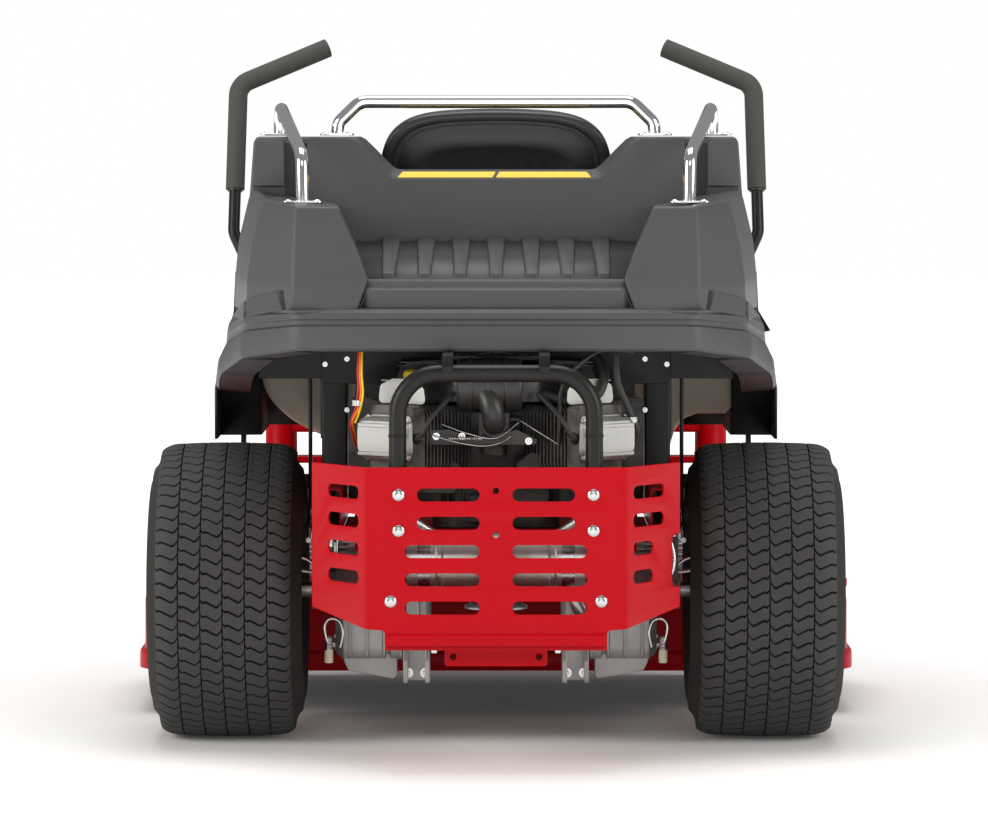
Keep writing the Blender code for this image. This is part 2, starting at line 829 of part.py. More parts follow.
def seat_cushion():
    outline = [
        (0.14, CUSHION_BOTTOM),
        (0.590, CUSHION_BOTTOM),
        (0.612, 0.600),
        (0.605, 0.655),
        (0.56, CUSHION_TOP),
        (0.22, 0.645),
        (0.14, CUSHION_TOP),
    ]
    return finish(prism("seat_cushion", [outline], "X", -SEAT_HALF, SEAT_HALF), "seat_vinyl")


def seat_back():
    """The leaning back rest, on the rear of the cushion."""
    low, high = CUSHION_TOP + GAP, SEAT_BACK_TOP
    corner = 0.09
    shape = [(-SEAT_BACK_HALF, low), (SEAT_BACK_HALF, low), (SEAT_BACK_HALF, high)]
    shape.append((-SEAT_BACK_HALF, high))
    outline = rounded(shape, corner, steps=4)
    back = prism("seat_back", [outline], "Y", 0.0, 1.0)
    for vertex in back.data.vertices:
        front = vertex.co.y - AXLE_Y > 0.5
        lean = 0.105 - 0.085 * (vertex.co.z - low) / (high - low)
        vertex.co.y = AXLE_Y + lean + (0.055 if front else 0.0)
    return finish(back, "seat_vinyl")


def footplate():
    """The floor pan: it stands on the rails, turns up at the toes and carries the seat hinge."""
    path = [(PAN_BACK, PAN_Z), (1.236, PAN_Z), (1.283, 0.515)]
    outline = sheet_outline(path, PAN_THICK)
    pan = prism("footplate", [outline], "X", -PAN_HALF, PAN_HALF)
    for side, word in SIDES:
        xs = (side * (PAN_HALF - PAN_THICK), side * PAN_HALF)
        foot = block(f"{word}_pan_side", xs, (PAN_BACK, 1.15), (RAIL_TOP + GAP, PAN_Z + 0.002))
        ear_x = (side * 0.1203, side * 0.1268)
        ear = block(f"{word}_seat_ear", ear_x, (PAN_BACK, SEAT_HINGE_AHEAD + 0.0105),
                    (PAN_Z + 0.002, SEAT_HINGE_Z))
        axis = (SEAT_HINGE_AHEAD, SEAT_HINGE_Z)
        head = drum(f"{word}_ear_head", 0.0105, (ear_x[0], *axis), (ear_x[1], *axis))
        join(pan, foot, ear, head)
    riser = block(
        "seat_riser", (-0.19, 0.19), (PAN_BACK, PAN_BACK + PAN_THICK), (PAN_Z + 0.001, 0.552)
    )
    axis = (SEAT_HINGE_AHEAD, SEAT_HINGE_Z)
    bore = drum("seat_pin_bore", SEAT_PIN + 0.0005, (-0.14, *axis), (0.14, *axis), sides=16)
    return finish(cut(join(pan, riser), bore), "black_paint")


# ---------------------------------------------------------------- wheels


def rear_wheel(side, word):
    """A turf tyre, its pressed rim and the driven hub shaft."""
    centre = (side * REAR_X, 0.0, REAR_AXLE_Z)
    bead, flange_r = REAR_RIM + GAP, REAR_RIM + REAR_FLANGE
    shoulder, barrel = REAR_RADIUS - REAR_SHOULDER, REAR_RIM - 0.003
    outer = [
        (flange_r + 0.001, 0.0885),
        (flange_r + 0.001, 0.100),
        (REAR_RADIUS - REAR_BULGE, REAR_SECTION),
        (shoulder, 0.110),
        (REAR_RADIUS, 0.080),
    ]
    inner = [(shoulder, 0.085), (bead, 0.080)]
    half = [(bead, 0.0885)] + outer
    profile = half + [(r, -a) for r, a in half[::-1]] + [(r, -a) for r, a in inner[::-1]] + inner
    tyre = turned(f"{word}_rear_tyre", profile, REAR_STEPS, centre, "X")
    disc = side * (HUB_FACE + GAP - REAR_X)
    disc_far = disc + side * 0.004
    low, high = sorted((disc, disc_far))
    hole = PILOT_RADIUS + 0.0005
    rim_profile = [
        (barrel, -0.092),
        (flange_r, -0.092),
        (flange_r, -0.089),
        (REAR_RIM, -0.089),
        (REAR_RIM, 0.089),
        (flange_r, 0.089),
        (flange_r, 0.092),
        (barrel, 0.092),
        (barrel, high),
        (hole, high),
        (hole, low),
        (barrel, low),
    ]
    rim = turned(f"{word}_rear_rim", rim_profile, REAR_STEPS, centre, "X")
    z = REAR_AXLE_Z

    def along_axle(name, radius, start, end, sides=16):
        return drum(name, radius, (side * start, 0, z), (side * end, 0, z), sides)

    shaft = along_axle(f"{word}_axle_shaft", AXLE_SHAFT, 0.2625, HUB_FACE - 0.004)
    join(
        shaft,
        along_axle(f"{word}_hub_flange", 0.05, HUB_FACE - 0.008, HUB_FACE),
        along_axle(f"{word}_hub_pilot", PILOT_RADIUS, HUB_FACE - 0.002, HUB_FACE + 0.008),
    )
    finish(tyre, "tyre_rubber")
    finish(rim, "rim_paint")
    finish(shaft, "steel")
    hang(pivot(f"{word}_rear_axle", centre), tyre, rim, shaft)


def caster(side, word):
    """A swivelling fork with its stem and axle bolt, and the small wheel in it."""
    x = side * CASTER_X
    swivel = pivot(f"{word}_caster_pivot", (x, WHEEL_BASE, CROWN_TOP))
    leg_inner, leg_outer = CASTER_HUB_HALF + 0.0005, CASTER_HUB_HALF + 0.0065
    crown_bottom = CROWN_TOP - CROWN_THICK
    crown = (WHEEL_BASE - 0.028, WHEEL_BASE + 0.028)
    fork = block(f"{word}_caster_fork", (x - leg_outer, x + leg_outer), crown,
                 (crown_bottom, CROWN_TOP))
    axle = (CASTER_AXLE_AHEAD, CASTER_AXLE_Z)
    leg_shape = [
        (crown[0], CROWN_TOP - 0.003),
        (crown[1], CROWN_TOP - 0.003),
        (crown[1], crown_bottom - 0.025),
        (axle[0] + 0.018, axle[1] - 0.014),
        (axle[0] - 0.018, axle[1] - 0.014),
        (crown[0], crown_bottom - 0.025),
    ]
    for way in (-1, 1):
        xs = sorted((x + way * leg_inner, x + way * leg_outer))
        join(fork, prism(f"{word}_fork_leg_{way}", [leg_shape], "X", *xs))
    bolt_half = leg_outer + 0.005
    bolt = drum(f"{word}_caster_bolt", CASTER_BOLT, (x - bolt_half, *axle), (x + bolt_half, *axle), 16)
    cap_low = SPINDLE_TUBE_TOP + GAP
    stem = drum(f"{word}_caster_stem", CASTER_STEM, (x, WHEEL_BASE, CROWN_TOP - 0.004),
                (x, WHEEL_BASE, cap_low + 0.003), 16)
    cap = drum(f"{word}_stem_cap", 0.022, (x, WHEEL_BASE, cap_low), (x, WHEEL_BASE, cap_low + 0.015))
    join(fork, bolt, stem, cap)
    finish(fork, "red_paint")
    hang(swivel, fork)

    centre = (x, *axle)
    bead, flange_r = CASTER_RIM + GAP, CASTER_RIM + CASTER_FLANGE
    outer = [(flange_r + 0.001, 0.0485), (CASTER_RADIUS - CASTER_BULGE, CASTER_SECTION),
             (CASTER_RADIUS - CASTER_SHOULDER, 0.058), (CASTER_RADIUS, 0.035)]
    inner = [(CASTER_RADIUS - CASTER_CROWN, 0.040), (bead, 0.040)]
    half = [(bead, 0.0485)] + outer
    profile = half + [(r, -a) for r, a in half[::-1]] + [(r, -a) for r, a in inner[::-1]] + inner
    tyre = turned(f"{word}_caster_tyre", profile, CASTER_STEPS, centre, "X")
    bore = CASTER_BOLT + 0.0004
    barrel = CASTER_RIM - 0.003
    half_rim = [
        (bore, CASTER_HUB_HALF),
        (0.022, CASTER_HUB_HALF),
        (0.022, 0.006),
        (barrel, 0.006),
        (barrel, 0.052),
        (flange_r, 0.052),
        (flange_r, 0.049),
        (CASTER_RIM, 0.049),
    ]
    rim_profile = half_rim + [(r, -a) for r, a in half_rim[::-1]]
    rim = turned(f"{word}_caster_rim", rim_profile, CASTER_STEPS, centre, "X")
    finish(tyre, "tyre_rubber")
    finish(rim, "rim_paint")
    hang(pivot(f"{word}_caster_axle", centre, swivel), tyre, rim)


# ---------------------------------------------------------------- drive train


def transaxle(side, word):
    """A cast hydrostatic transaxle with its axle horn, input boss, rib and mounting ear."""
    z = REAR_AXLE_Z
    case = tapered_block(
        f"{word}_transaxle",
        (sorted((side * 0.105, side * 0.235)), (-0.115, 0.060)),
        (sorted((side * 0.10, side * 0.245)), (-0.130, 0.075)),
        (0.125, TRANSAXLE_TOP),
    )
    horn = drum(f"{word}_horn", 0.036, (side * 0.23, 0, z), (side * HORN_END, 0, z))
    rib = block(f"{word}_rib", (side * 0.10, side * 0.141), (-0.150, -0.10), (0.095, 0.20))
    ear = block(f"{word}_ear", (side * 0.229, side * 0.2455), (-0.05, 0.05),
                (TRANSAXLE_TOP - 0.01, RAIL_BOTTOM - GAP))
    spot = (side * PULLEY_X, PULLEY_AHEAD)
    boss = drum(f"{word}_boss", 0.022, (*spot, TRANSAXLE_TOP - 0.005), (*spot, TRANSAXLE_TOP + 0.007))
    join(case, horn, rib, ear, boss)
    cut(
        case,
        drum(f"{word}_axle_bore", AXLE_SHAFT + 0.0006, (side * 0.260, 0, z), (side * 0.30, 0, z)),
        drum(f"{word}_input_bore", INPUT_SHAFT + 0.0006, (*spot, 0.265), (*spot, 0.31)),
    )
    return finish(case, "cast_aluminium")


def spool(radius, groove, low, high, cheek):
    """Profile points of a grooved pulley's rim, from its low face to its high face."""
    return [
        (radius, low),
        (radius, low + cheek),
        (groove, low + cheek),
        (groove, high - cheek),
        (radius, high - cheek),
        (radius, high),
    ]


def drive_pulley(side, word):
    spot = (side * PULLEY_X, PULLEY_AHEAD, 0.0)
    high = PULLEY_Z + PULLEY_THICK
    rim = spool(PULLEY_RADIUS, GROOVE_RADIUS, PULLEY_Z, high, PULLEY_CHEEK)
    profile = [(0, 0.267), (INPUT_SHAFT, 0.267), (INPUT_SHAFT, PULLEY_Z)] + rim + [(0, high)]
    pulley = turned(f"{word}_drive_pulley", profile, 16, spot, "Z", closed=False)
    finish(pulley, "steel")
    hang(pivot(f"{word}_pulley_axis", spot), pulley)


def engine_pulley():
    """The crank's lower end: the blade clutch and its pulley below, the drive pulley above."""
    high = PULLEY_Z + PULLEY_THICK
    profile = [(0, 0.215), (0.048, 0.215), (0.048, 0.218), (0.038, 0.222), (0.048, 0.230)]
    profile += [(0.060, 0.236), (0.060, 0.284), (CRANK_RADIUS, 0.284), (CRANK_RADIUS, PULLEY_Z)]
    profile += spool(PULLEY_RADIUS, GROOVE_RADIUS, PULLEY_Z, high, PULLEY_CHEEK)
    profile += [(CRANK_RADIUS, high), (CRANK_RADIUS, 0.362), (0, 0.362)]
    pulley = turned("engine_pulley", profile, 16, (0, CRANK_AHEAD, 0), "Z", closed=False)
    return finish(pulley, "steel")


def hull_of(circles, radius):
    """The outline that a belt takes round circles of one radius, as (x, ahead) points."""
    steps = 16
    points = []
    for x, ahead in circles:
        for k in range(steps):
            angle = 2 * math.pi * (k + 0.5) / steps
            points.append((x + radius * math.cos(angle), ahead + radius * math.sin(angle)))
    points.sort()

    def half(sequence):
        chain = []
        for p in sequence:
            while len(chain) > 1 and cross(chain[-2], chain[-1], p) <= 1e-9:
                chain.pop()
            chain.append(p)
        return chain[:-1]

    return half(points) + half(points[::-1])


def cross(a, b, c):
    return (b[0] - a[0]) * (c[1] - a[1]) - (b[1] - a[1]) * (c[0] - a[0])


def drive_belt():
    """The traction belt round the engine pulley and both transaxle pulleys."""
    circles = [(0, CRANK_AHEAD), (-PULLEY_X, PULLEY_AHEAD), (PULLEY_X, PULLEY_AHEAD)]
    inner = hull_of(circles, GROOVE_RADIUS + BELT_SLACK)
    outer = hull_of(circles, GROOVE_RADIUS + BELT_SLACK + BELT_THICK)
    low = PULLEY_Z + PULLEY_CHEEK + GAP
    high = PULLEY_Z + PULLEY_THICK - PULLEY_CHEEK - GAP
    return finish(prism("drive_belt", [outer, inner], "Z", low, high), "belt_rubber")


# ---------------------------------------------------------------- engine


def cylinder_way(side):
    """The unit direction of a cylinder, out and back at 45 degrees, as (x, ahead)."""
    return Vector((side, -1)).normalized()


def engine_block():
    """The crankcase with two finned cylinder blocks in a V towards the rear."""
    low = RAIL_BOTTOM + ENGINE_PLATE_THICK + GAP
    case = block("engine_block", (-0.095, 0.095), (-0.29, -0.09), (low, ENGINE_TOP))
    crank = Vector((0, CRANK_AHEAD))
    for side, word in SIDES:
        way = cylinder_way(side)
        start, end = crank + way * 0.05, crank + way * (CYLINDER_REACH - GAP)
        join(case, bar(f"{word}_cylinder", start, end, 0.09, (0.425, ENGINE_TOP - 0.002)))
    bore = drum("crank_bore", CRANK_RADIUS + 0.0006, (0, CRANK_AHEAD, 0.33), (0, CRANK_AHEAD, 0.366))
    return finish(cut(case, bore), "cast_aluminium")


def valve_cover(side, word):
    crank, way = Vector((0, CRANK_AHEAD)), cylinder_way(side)
    start, end = crank + way * CYLINDER_REACH, crank + way * (CYLINDER_REACH + COVER_THICK)
    heights = (COVER_Z - COVER_HEIGHT / 2, COVER_Z + COVER_HEIGHT / 2)
    return finish(bar(f"{word}_valve_cover", start, end, COVER_WIDTH, heights), "cast_aluminium")


def blower_housing():
    spot = (0, CRANK_AHEAD)
    housing = drum("blower_housing", BLOWER_RADIUS, (*spot, ENGINE_TOP + GAP), (*spot, BLOWER_TOP), 24)
    bore = drum("screen_bore", CRANK_RADIUS + 0.0006, (*spot, 0.555), (*spot, 0.60))
    return finish(cut(housing, bore), "black_plastic")


def engine_screen():
    """The debris screen that turns with the crank on top of the blower."""
    low = BLOWER_TOP + GAP
    profile = [(0, 0.558), (CRANK_RADIUS, 0.558), (CRANK_RADIUS, low), (0.085, low)]
    profile += [(0.085, low + 0.008), (0.070, low + 0.014), (0, low + 0.014)]
    return finish(turned("engine_screen", profile, 16, (0, CRANK_AHEAD, 0), "Z", closed=False),
                  "black_plastic")


def muffler():
    """The silencer can across the tail, on a stud at each end."""
    axis = (MUFFLER_AHEAD, MUFFLER_Z)
    half = MUFFLER_HALF
    can = drum("muffler", MUFFLER_RADIUS, (-half, *axis), (half, *axis), 20)
    reach = CRADLE_X - 0.005 - GAP
    stud = drum("muffler_stud", 0.008, (-reach, *axis), (reach, *axis), 12)
    return finish(join(can, stud), "steel")


# ---------------------------------------------------------------- deck


def deck_outline(inset):
    half = DECK_HALF - inset
    back, front = DECK_BACK + inset, DECK_FRONT - inset
    corners = [(-half, back), (half, back), (half, front), (-half, front)]
    return rounded(corners, DECK_CORNER - inset, steps=5)


def deck_shell():
    """The cutting deck: skirt, stepped shell, spindle bosses, hanger tabs and a discharge opening."""
    deck = prism("deck_shell", [deck_outline(0.0)], "Z", DECK_BOTTOM, SKIRT_TOP)
    upper = prism("deck_upper", [deck_outline(SKIRT_STEP)], "Z", SKIRT_TOP - 0.01, DECK_TOP)
    inner = prism("deck_hollow", [deck_outline(SKIRT_STEP + DECK_WALL)], "Z", DECK_BOTTOM - 0.01,
                  DECK_TOP - DECK_WALL)
    join(deck, upper)
    cut(deck, inner)
    for side, word in SIDES:
        spot = (side * SPINDLE_X, SPINDLE_AHEAD[side])
        join(deck, drum(f"{word}_boss_tube", 0.045, (*spot, DECK_TOP - 0.003), (*spot, BOSS_TOP), 16))
        cut(deck, drum(f"{word}_spindle_bore", 0.0131, (*spot, 0.19), (*spot, 0.25)))
        tab_x = (side * (RAIL_INNER - GAP), side * (RAIL_INNER - GAP - 0.006))
        for place_word, ahead in (("back", 0.35), ("front", 0.88)):
            tab = block(f"{word}_{place_word}_hanger", tab_x, (ahead - 0.02, ahead + 0.02),
                        (DECK_TOP - 0.002, RAIL_TOP - 0.02))
            join(deck, tab)
    wall_x = DECK_HALF - SKIRT_STEP
    opening = block("discharge_opening", (wall_x - 0.03, wall_x + 0.005),
                    (DOOR_BACK + 0.02, DOOR_FRONT - 0.02), (SKIRT_TOP + 0.004, 0.182))
    cut(deck, opening)
    axis = (DOOR_HINGE_X, DOOR_HINGE_Z)
    for word, back in (("rear", DOOR_BACK - 0.0075), ("front", DOOR_FRONT + 0.0005)):
        ear = block(f"{word}_door_ear", (wall_x - 0.002, DECK_HALF), (back, back + 0.007),
                    (DOOR_HINGE_Z - 0.006, DECK_TOP - 0.002))
        join(deck, ear)
    pin_run = ((axis[0], DOOR_BACK - 0.02, axis[1]), (axis[0], DOOR_FRONT + 0.02, axis[1]))
    return finish(cut(deck, drum("door_pin_bore", 0.0024, *pin_run, sides=12)), "red_paint")


def discharge_door():
    """The flap that closes the side discharge, hinged along its top edge."""
    x, z = DOOR_HINGE_X, DOOR_HINGE_Z
    door = block("discharge_door", (x - 0.0015, x + 0.0015), (DOOR_BACK, DOOR_FRONT),
                 (SKIRT_TOP + GAP + 0.001, z))
    knuckle = drum("door_knuckle", 0.0034, (x, DOOR_BACK, z), (x, DOOR_FRONT, z), 12)
    pin = drum("door_pin", 0.002, (x, DOOR_BACK - 0.0075, z), (x, DOOR_FRONT + 0.0075, z), 8)
    return finish(join(door, knuckle, pin), "red_paint")


def blade_spindle(side, word):
    """The blade shaft with its pulley, and the blade clamped under it."""
    spot = (side * SPINDLE_X, SPINDLE_AHEAD[side], 0.0)
    low = BLADE_Z + BLADE_THICK + GAP
    pulley_low = BOSS_TOP + GAP
    profile = [(0, low), (0.026, low), (0.026, low + 0.008), (0.0125, low + 0.012)]
    profile += [(0.0125, pulley_low), (0.065, pulley_low), (0.065, pulley_low + 0.003)]
    profile += [(0.055, pulley_low + 0.010), (0.065, pulley_low + 0.017)]
    profile += [(0.065, pulley_low + 0.020), (0.020, pulley_low + 0.020)]
    profile += [(0.020, pulley_low + 0.030), (0, pulley_low + 0.030)]
    spindle = turned(f"{word}_spindle", profile, 12, spot, "Z", closed=False)
    x, ahead = spot[:2]
    heights = (BLADE_Z, BLADE_Z + BLADE_THICK)
    blade = bar(f"{word}_blade", (x - BLADE_HALF, ahead), (x + BLADE_HALF, ahead), 0.06, heights)
    for way in (-1, 1):
        fin = block(
            f"{word}_fin_{way}",
            (x + way * 0.17, x + way * 0.258),
            sorted((ahead - way * 0.024, ahead - way * 0.028)),
            (BLADE_Z + 0.002, BLADE_Z + 0.024),
        )
        join(blade, fin)
    finish(spindle, "steel")
    finish(blade, "steel")
    return spindle, blade


# ---------------------------------------------------------------- tanks and controls


def fuel_tank(side, word):
    """A moulded saddle tank: it stands on the rail in front of the tyre, under the console."""
    foot = RAIL_TOP + GAP
    inner, outer = RAIL_INNER, TANK_OUTER
    if side == LEFT:
        sweep = [
            (outer - 0.100 * (1 - math.cos(a)), TANK_TOP - 0.050 - 0.110 * math.sin(a))
            for a in (math.radians(d) for d in range(0, 91, 15))
        ]
    else:
        sweep = [(outer, 0.495), (outer - 0.010, 0.485), (0.320, 0.485), (0.300, 0.478)]
        sweep += [(0.285, 0.462), (0.278, 0.440)]
    outline = [(outer, TANK_TOP)] + sweep + [(RAIL_OUTER, foot), (inner, foot), (inner, TANK_TOP)]
    outline = [(side * x, z) for x, z in outline]
    tank = prism(f"{word}_fuel_tank", [outline], "Y", TANK_BACK, TANK_FRONT)
    if side == LEFT:
        neck = drum("filler_neck", FILLER_RADIUS, (FILLER_X, FILLER_AHEAD, TANK_TOP - 0.01),
                    (FILLER_X, FILLER_AHEAD, FILLER_TOP))
        join(tank, neck)
    return finish(tank, "tank_plastic")


def fuel_cap():
    spot = (FILLER_X, FILLER_AHEAD)
    low = FILLER_TOP + GAP
    cap = drum("fuel_cap", 0.036, (*spot, low), (*spot, low + 0.026), 20)
    finish(cap, "black_plastic")
    hang(pivot("fuel_cap_axis", (*spot, low)), cap)


def lap_bar(side, word):
    """The steering lever: an arm that rocks fore and aft, the bar that swings out on it, and its grip."""
    x, u = side * LEVER_X, LEVER_AHEAD
    rock = pivot(f"{word}_arm_pivot", (x, u, ARM_PIVOT_Z))
    arm_x = (side * (LEVER_X + 0.0105), side * (LEVER_X + 0.0185))
    ear_x = (side * (LEVER_X - 0.010), side * (LEVER_X + 0.0185))
    arm = block(f"{word}_control_arm", arm_x, (u - 0.015, u + 0.015), (ARM_PIVOT_Z - 0.02, 0.600))
    ear_start = TONGUE_HALF + GAP
    base = block(f"{word}_yoke_base", ear_x, (u - ear_start - EAR_THICK, u + ear_start + EAR_THICK),
                 (0.590, 0.603))
    shaft = drum(f"{word}_arm_shaft", 0.012, (side * (RAIL_OUTER + GAP), u, ARM_PIVOT_Z),
                 (side * (LEVER_X + 0.018), u, ARM_PIVOT_Z), 16)
    join(arm, base, shaft)
    for way in (-1, 1):
        aheads = sorted((u + way * ear_start, u + way * (ear_start + EAR_THICK)))
        join(arm, block(f"{word}_yoke_ear_{way}", ear_x, aheads, (0.600, SWING_Z + 0.018)))
    cut(arm, drum(f"{word}_yoke_bore", 0.0054, (x, u - 0.03, SWING_Z), (x, u + 0.03, SWING_Z), 16))

    corners = [
        (side * 0.392, 0.370, 0.650),
        (side * 0.392, 0.370, 0.705),
        (side * 0.4220, 0.374, 0.770),
        (side * 0.4165, 0.430, 1.008),
        (side * 0.2754, 0.470, 1.068),
    ]
    path = rounded(corners, 0.030, steps=4, closed=False)
    lap = pipe(f"{word}_lap_bar", path, BAR_RADIUS, roundness=1)
    tongue = block(f"{word}_tongue", (x - BAR_RADIUS, x + BAR_RADIUS),
                   (u - TONGUE_HALF, u + TONGUE_HALF), (SWING_Z - 0.018, 0.665))
    pin_half = ear_start + EAR_THICK
    pin = drum(f"{word}_swing_pin", 0.005, (x, u - pin_half, SWING_Z), (x, u + pin_half, SWING_Z), 12)
    join(lap, tongue, pin)

    first = next(i for i, p in enumerate(path) if p.z > GRIP_START_Z - 0.05)
    start = path[first - 1].lerp(path[first], (GRIP_START_Z - path[first - 1].z)
                                 / (path[first].z - path[first - 1].z))
    sleeve = [start] + path[first:]
    tip_way = (path[-1] - path[-2]).normalized()
    grip = pipe(f"{word}_grip", sleeve[:-1] + [path[-1] + tip_way * 0.004], GRIP_RADIUS, roundness=1)
    lead_in = start + (start - path[first]).normalized() * 0.02
    bore_end = path[-1] + tip_way * GAP
    core = [lead_in] + sleeve[:-1] + [bore_end]
    cut(grip, pipe(f"{word}_grip_core", core, BAR_RADIUS + GAP, roundness=1))

    finish(arm, "black_paint")
    finish(lap, "black_paint")
    finish(grip, "grip_foam")
    swing = pivot(f"{word}_swing_pivot", (x, u, SWING_Z), rock)
    hang(rock, arm)
    hang(swing, lap, grip)


def hand_lever(name, side, tip, knob_radius):
    """A flat lever on the outer face of a rail, with a round handle on its tip."""
    u, z = HAND_LEVER_AHEAD, HAND_LEVER_Z
    inner, outer = side * (RAIL_OUTER + GAP), side * (RAIL_OUTER + 0.018)
    lever = drum(name, 0.017, (inner, u, z), (outer, u, z), 16)
    shape = [(u - 0.010, z), (u + 0.010, z), (tip[0] + 0.008, tip[1]), (tip[0] - 0.008, tip[1])]
    xs = sorted((outer, outer - side * 0.006))
    blade = prism(f"{name}_blade", [shape], "X", *xs)
    middle = (outer - side * 0.003, tip[0], tip[1])
    run = Vector((0, tip[0] - u, tip[1] - z)).normalized()
    low, high = Vector(middle) - run * 0.045, Vector(middle) + run * 0.035
    join(lever, blade, drum(f"{name}_handle", knob_radius, tuple(low), tuple(high), 16))
    finish(lever, "black_paint")
    hang(pivot(f"{name}_pivot", (outer, u, z)), lever)


def console_controls():
    """The blade switch knob, the throttle lever and the ignition key on the right console."""
    knob_spot = (KNOB_X, KNOB_AHEAD)
    low = CONSOLE_TOP + GAP
    knob = drum("blade_switch_knob", 0.016, (*knob_spot, low), (*knob_spot, low + 0.020), 20)
    stem = drum("knob_stem", KNOB_STEM, (*knob_spot, CONSOLE_TOP - 0.03), (*knob_spot, low + 0.002), 12)
    finish(join(knob, stem), "red_paint")
    hang(pivot("blade_switch_axis", (*knob_spot, low)), knob)

    x, u = THROTTLE_X, THROTTLE_AHEAD
    throttle = block("throttle_lever", (x - 0.0026, x + 0.0026), (u - 0.007, u + 0.007), (0.675, 0.765))
    handle = drum("throttle_handle", 0.009, (x - 0.014, u, 0.765), (x + 0.014, u, 0.765), 12)
    finish(join(throttle, handle), "black_plastic")
    hang(pivot("throttle_axis", (x, u, 0.69)), throttle)

    spot = (KEY_X, KEY_AHEAD)
    key = drum("ignition_key", 0.012, (*spot, low), (*spot, low + 0.006), 16)
    bow = block("key_bow", (KEY_X - 0.002, KEY_X + 0.002), (KEY_AHEAD - 0.012, KEY_AHEAD + 0.012),
                (low + 0.004, low + 0.032))
    finish(join(key, bow), "steel")
    hang(pivot("key_axis", (*spot, low)), key)


# ---------------------------------------------------------------- assembly


def build_chassis():
    for side, word in SIDES:
        frame_rail(side, word)
        transaxle(side, word)
        valve_cover(side, word)
        cargo_rail(side, word)
        fuel_tank(side, word)
    front_axle_beam()
    rear_upright_frame()
    engine_plate()
    rear_cradle()
    engine_guard()
    guard_hoop()
    engine_block()
    blower_housing()
    muffler()
    drive_belt()
    rear_cowl()
    seat_back_rail()
    footplate()


def build_moving_pieces():
    for side, word in SIDES:
        rear_wheel(side, word)
        caster(side, word)
        drive_pulley(side, word)
        lap_bar(side, word)
    hang(pivot("crank_axis", (0, CRANK_AHEAD, 0.30)), engine_pulley(), engine_screen())

    deck = pivot("deck_hanger", (0, (DECK_BACK + DECK_FRONT) / 2, DECK_TOP))
    hang(deck, deck_shell())
    for side, word in SIDES:
        axis = pivot(f"{word}_spindle_axis", (side * SPINDLE_X, SPINDLE_AHEAD[side], DECK_TOP), deck)
        hang(axis, *blade_spindle(side, word))
    middle = (DOOR_BACK + DOOR_FRONT) / 2
    hang(pivot("door_hinge", (DOOR_HINGE_X, middle, DOOR_HINGE_Z), deck), discharge_door())

    hinge = pivot("seat_hinge", (0, SEAT_HINGE_AHEAD, SEAT_HINGE_Z))
    hang(hinge, seat_hinge_plate())
    slide = pivot("seat_slide", (0, 0.37, CUSHION_BOTTOM), hinge)
    hang(slide, seat_cushion(), seat_back())

    hand_lever("deck_lift_lever", RIGHT, (0.745, 0.690), 0.013)
    hand_lever("parking_brake_lever", LEFT, (0.725, 0.580), 0.013)
    fuel_cap()
    console_controls()


build_chassis()
build_moving_pieces()
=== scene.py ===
"""The looks of the zero turn mower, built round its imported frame.

Metres, +Z up, +Y the way the mower drives, +X the rider's right. Laid out as an add-on and run as a script.
"""

import math
import random
import bmesh
import bpy

from bpy.props import FloatProperty, FloatVectorProperty, IntProperty
from mathutils import Euler, Matrix, Vector


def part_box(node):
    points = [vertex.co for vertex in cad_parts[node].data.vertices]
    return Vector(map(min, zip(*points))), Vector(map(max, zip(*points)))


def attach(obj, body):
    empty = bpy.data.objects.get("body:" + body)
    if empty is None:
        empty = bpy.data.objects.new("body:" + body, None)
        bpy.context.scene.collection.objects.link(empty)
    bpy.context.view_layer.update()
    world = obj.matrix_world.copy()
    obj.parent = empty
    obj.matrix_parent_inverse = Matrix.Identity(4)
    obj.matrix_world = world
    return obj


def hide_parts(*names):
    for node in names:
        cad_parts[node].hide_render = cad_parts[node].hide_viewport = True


bl_info = {'name': 'Zero Turn Mower', 'version': (1, 0, 0), 'blender': (4, 5, 0),
    'location': 'View3D > Sidebar > Mower',
    'description': 'Builds a ride-on zero turn mower piece by piece round its frame', 'category': 'Add Mesh'}
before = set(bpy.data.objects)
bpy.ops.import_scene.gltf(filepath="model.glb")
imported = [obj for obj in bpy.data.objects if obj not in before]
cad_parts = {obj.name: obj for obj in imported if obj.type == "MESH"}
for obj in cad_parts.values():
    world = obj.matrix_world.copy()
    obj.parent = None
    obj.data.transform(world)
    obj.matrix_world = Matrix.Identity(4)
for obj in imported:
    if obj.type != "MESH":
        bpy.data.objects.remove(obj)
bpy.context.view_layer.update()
SIDES = ((-1, 'left'), (1, 'right'))


def middle(node):
    low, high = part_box(node)
    return (low + high) / 2


# Places read from the frame
AXLE = middle('left_rear_tyre')
REAR_X = abs(AXLE.x)
REAR_RADIUS = (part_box('left_rear_tyre')[1].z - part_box('left_rear_tyre')[0].z) / 2
CASTER = middle('right_caster_tyre')
CRANK = middle('engine_screen')
RAIL_LOW, RAIL_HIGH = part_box('right_frame_rail')


def place(x, ahead, z):
    """A point given ahead of the rear axle line."""
    return Vector((x, AXLE.y + ahead, z))


# sizes and colours


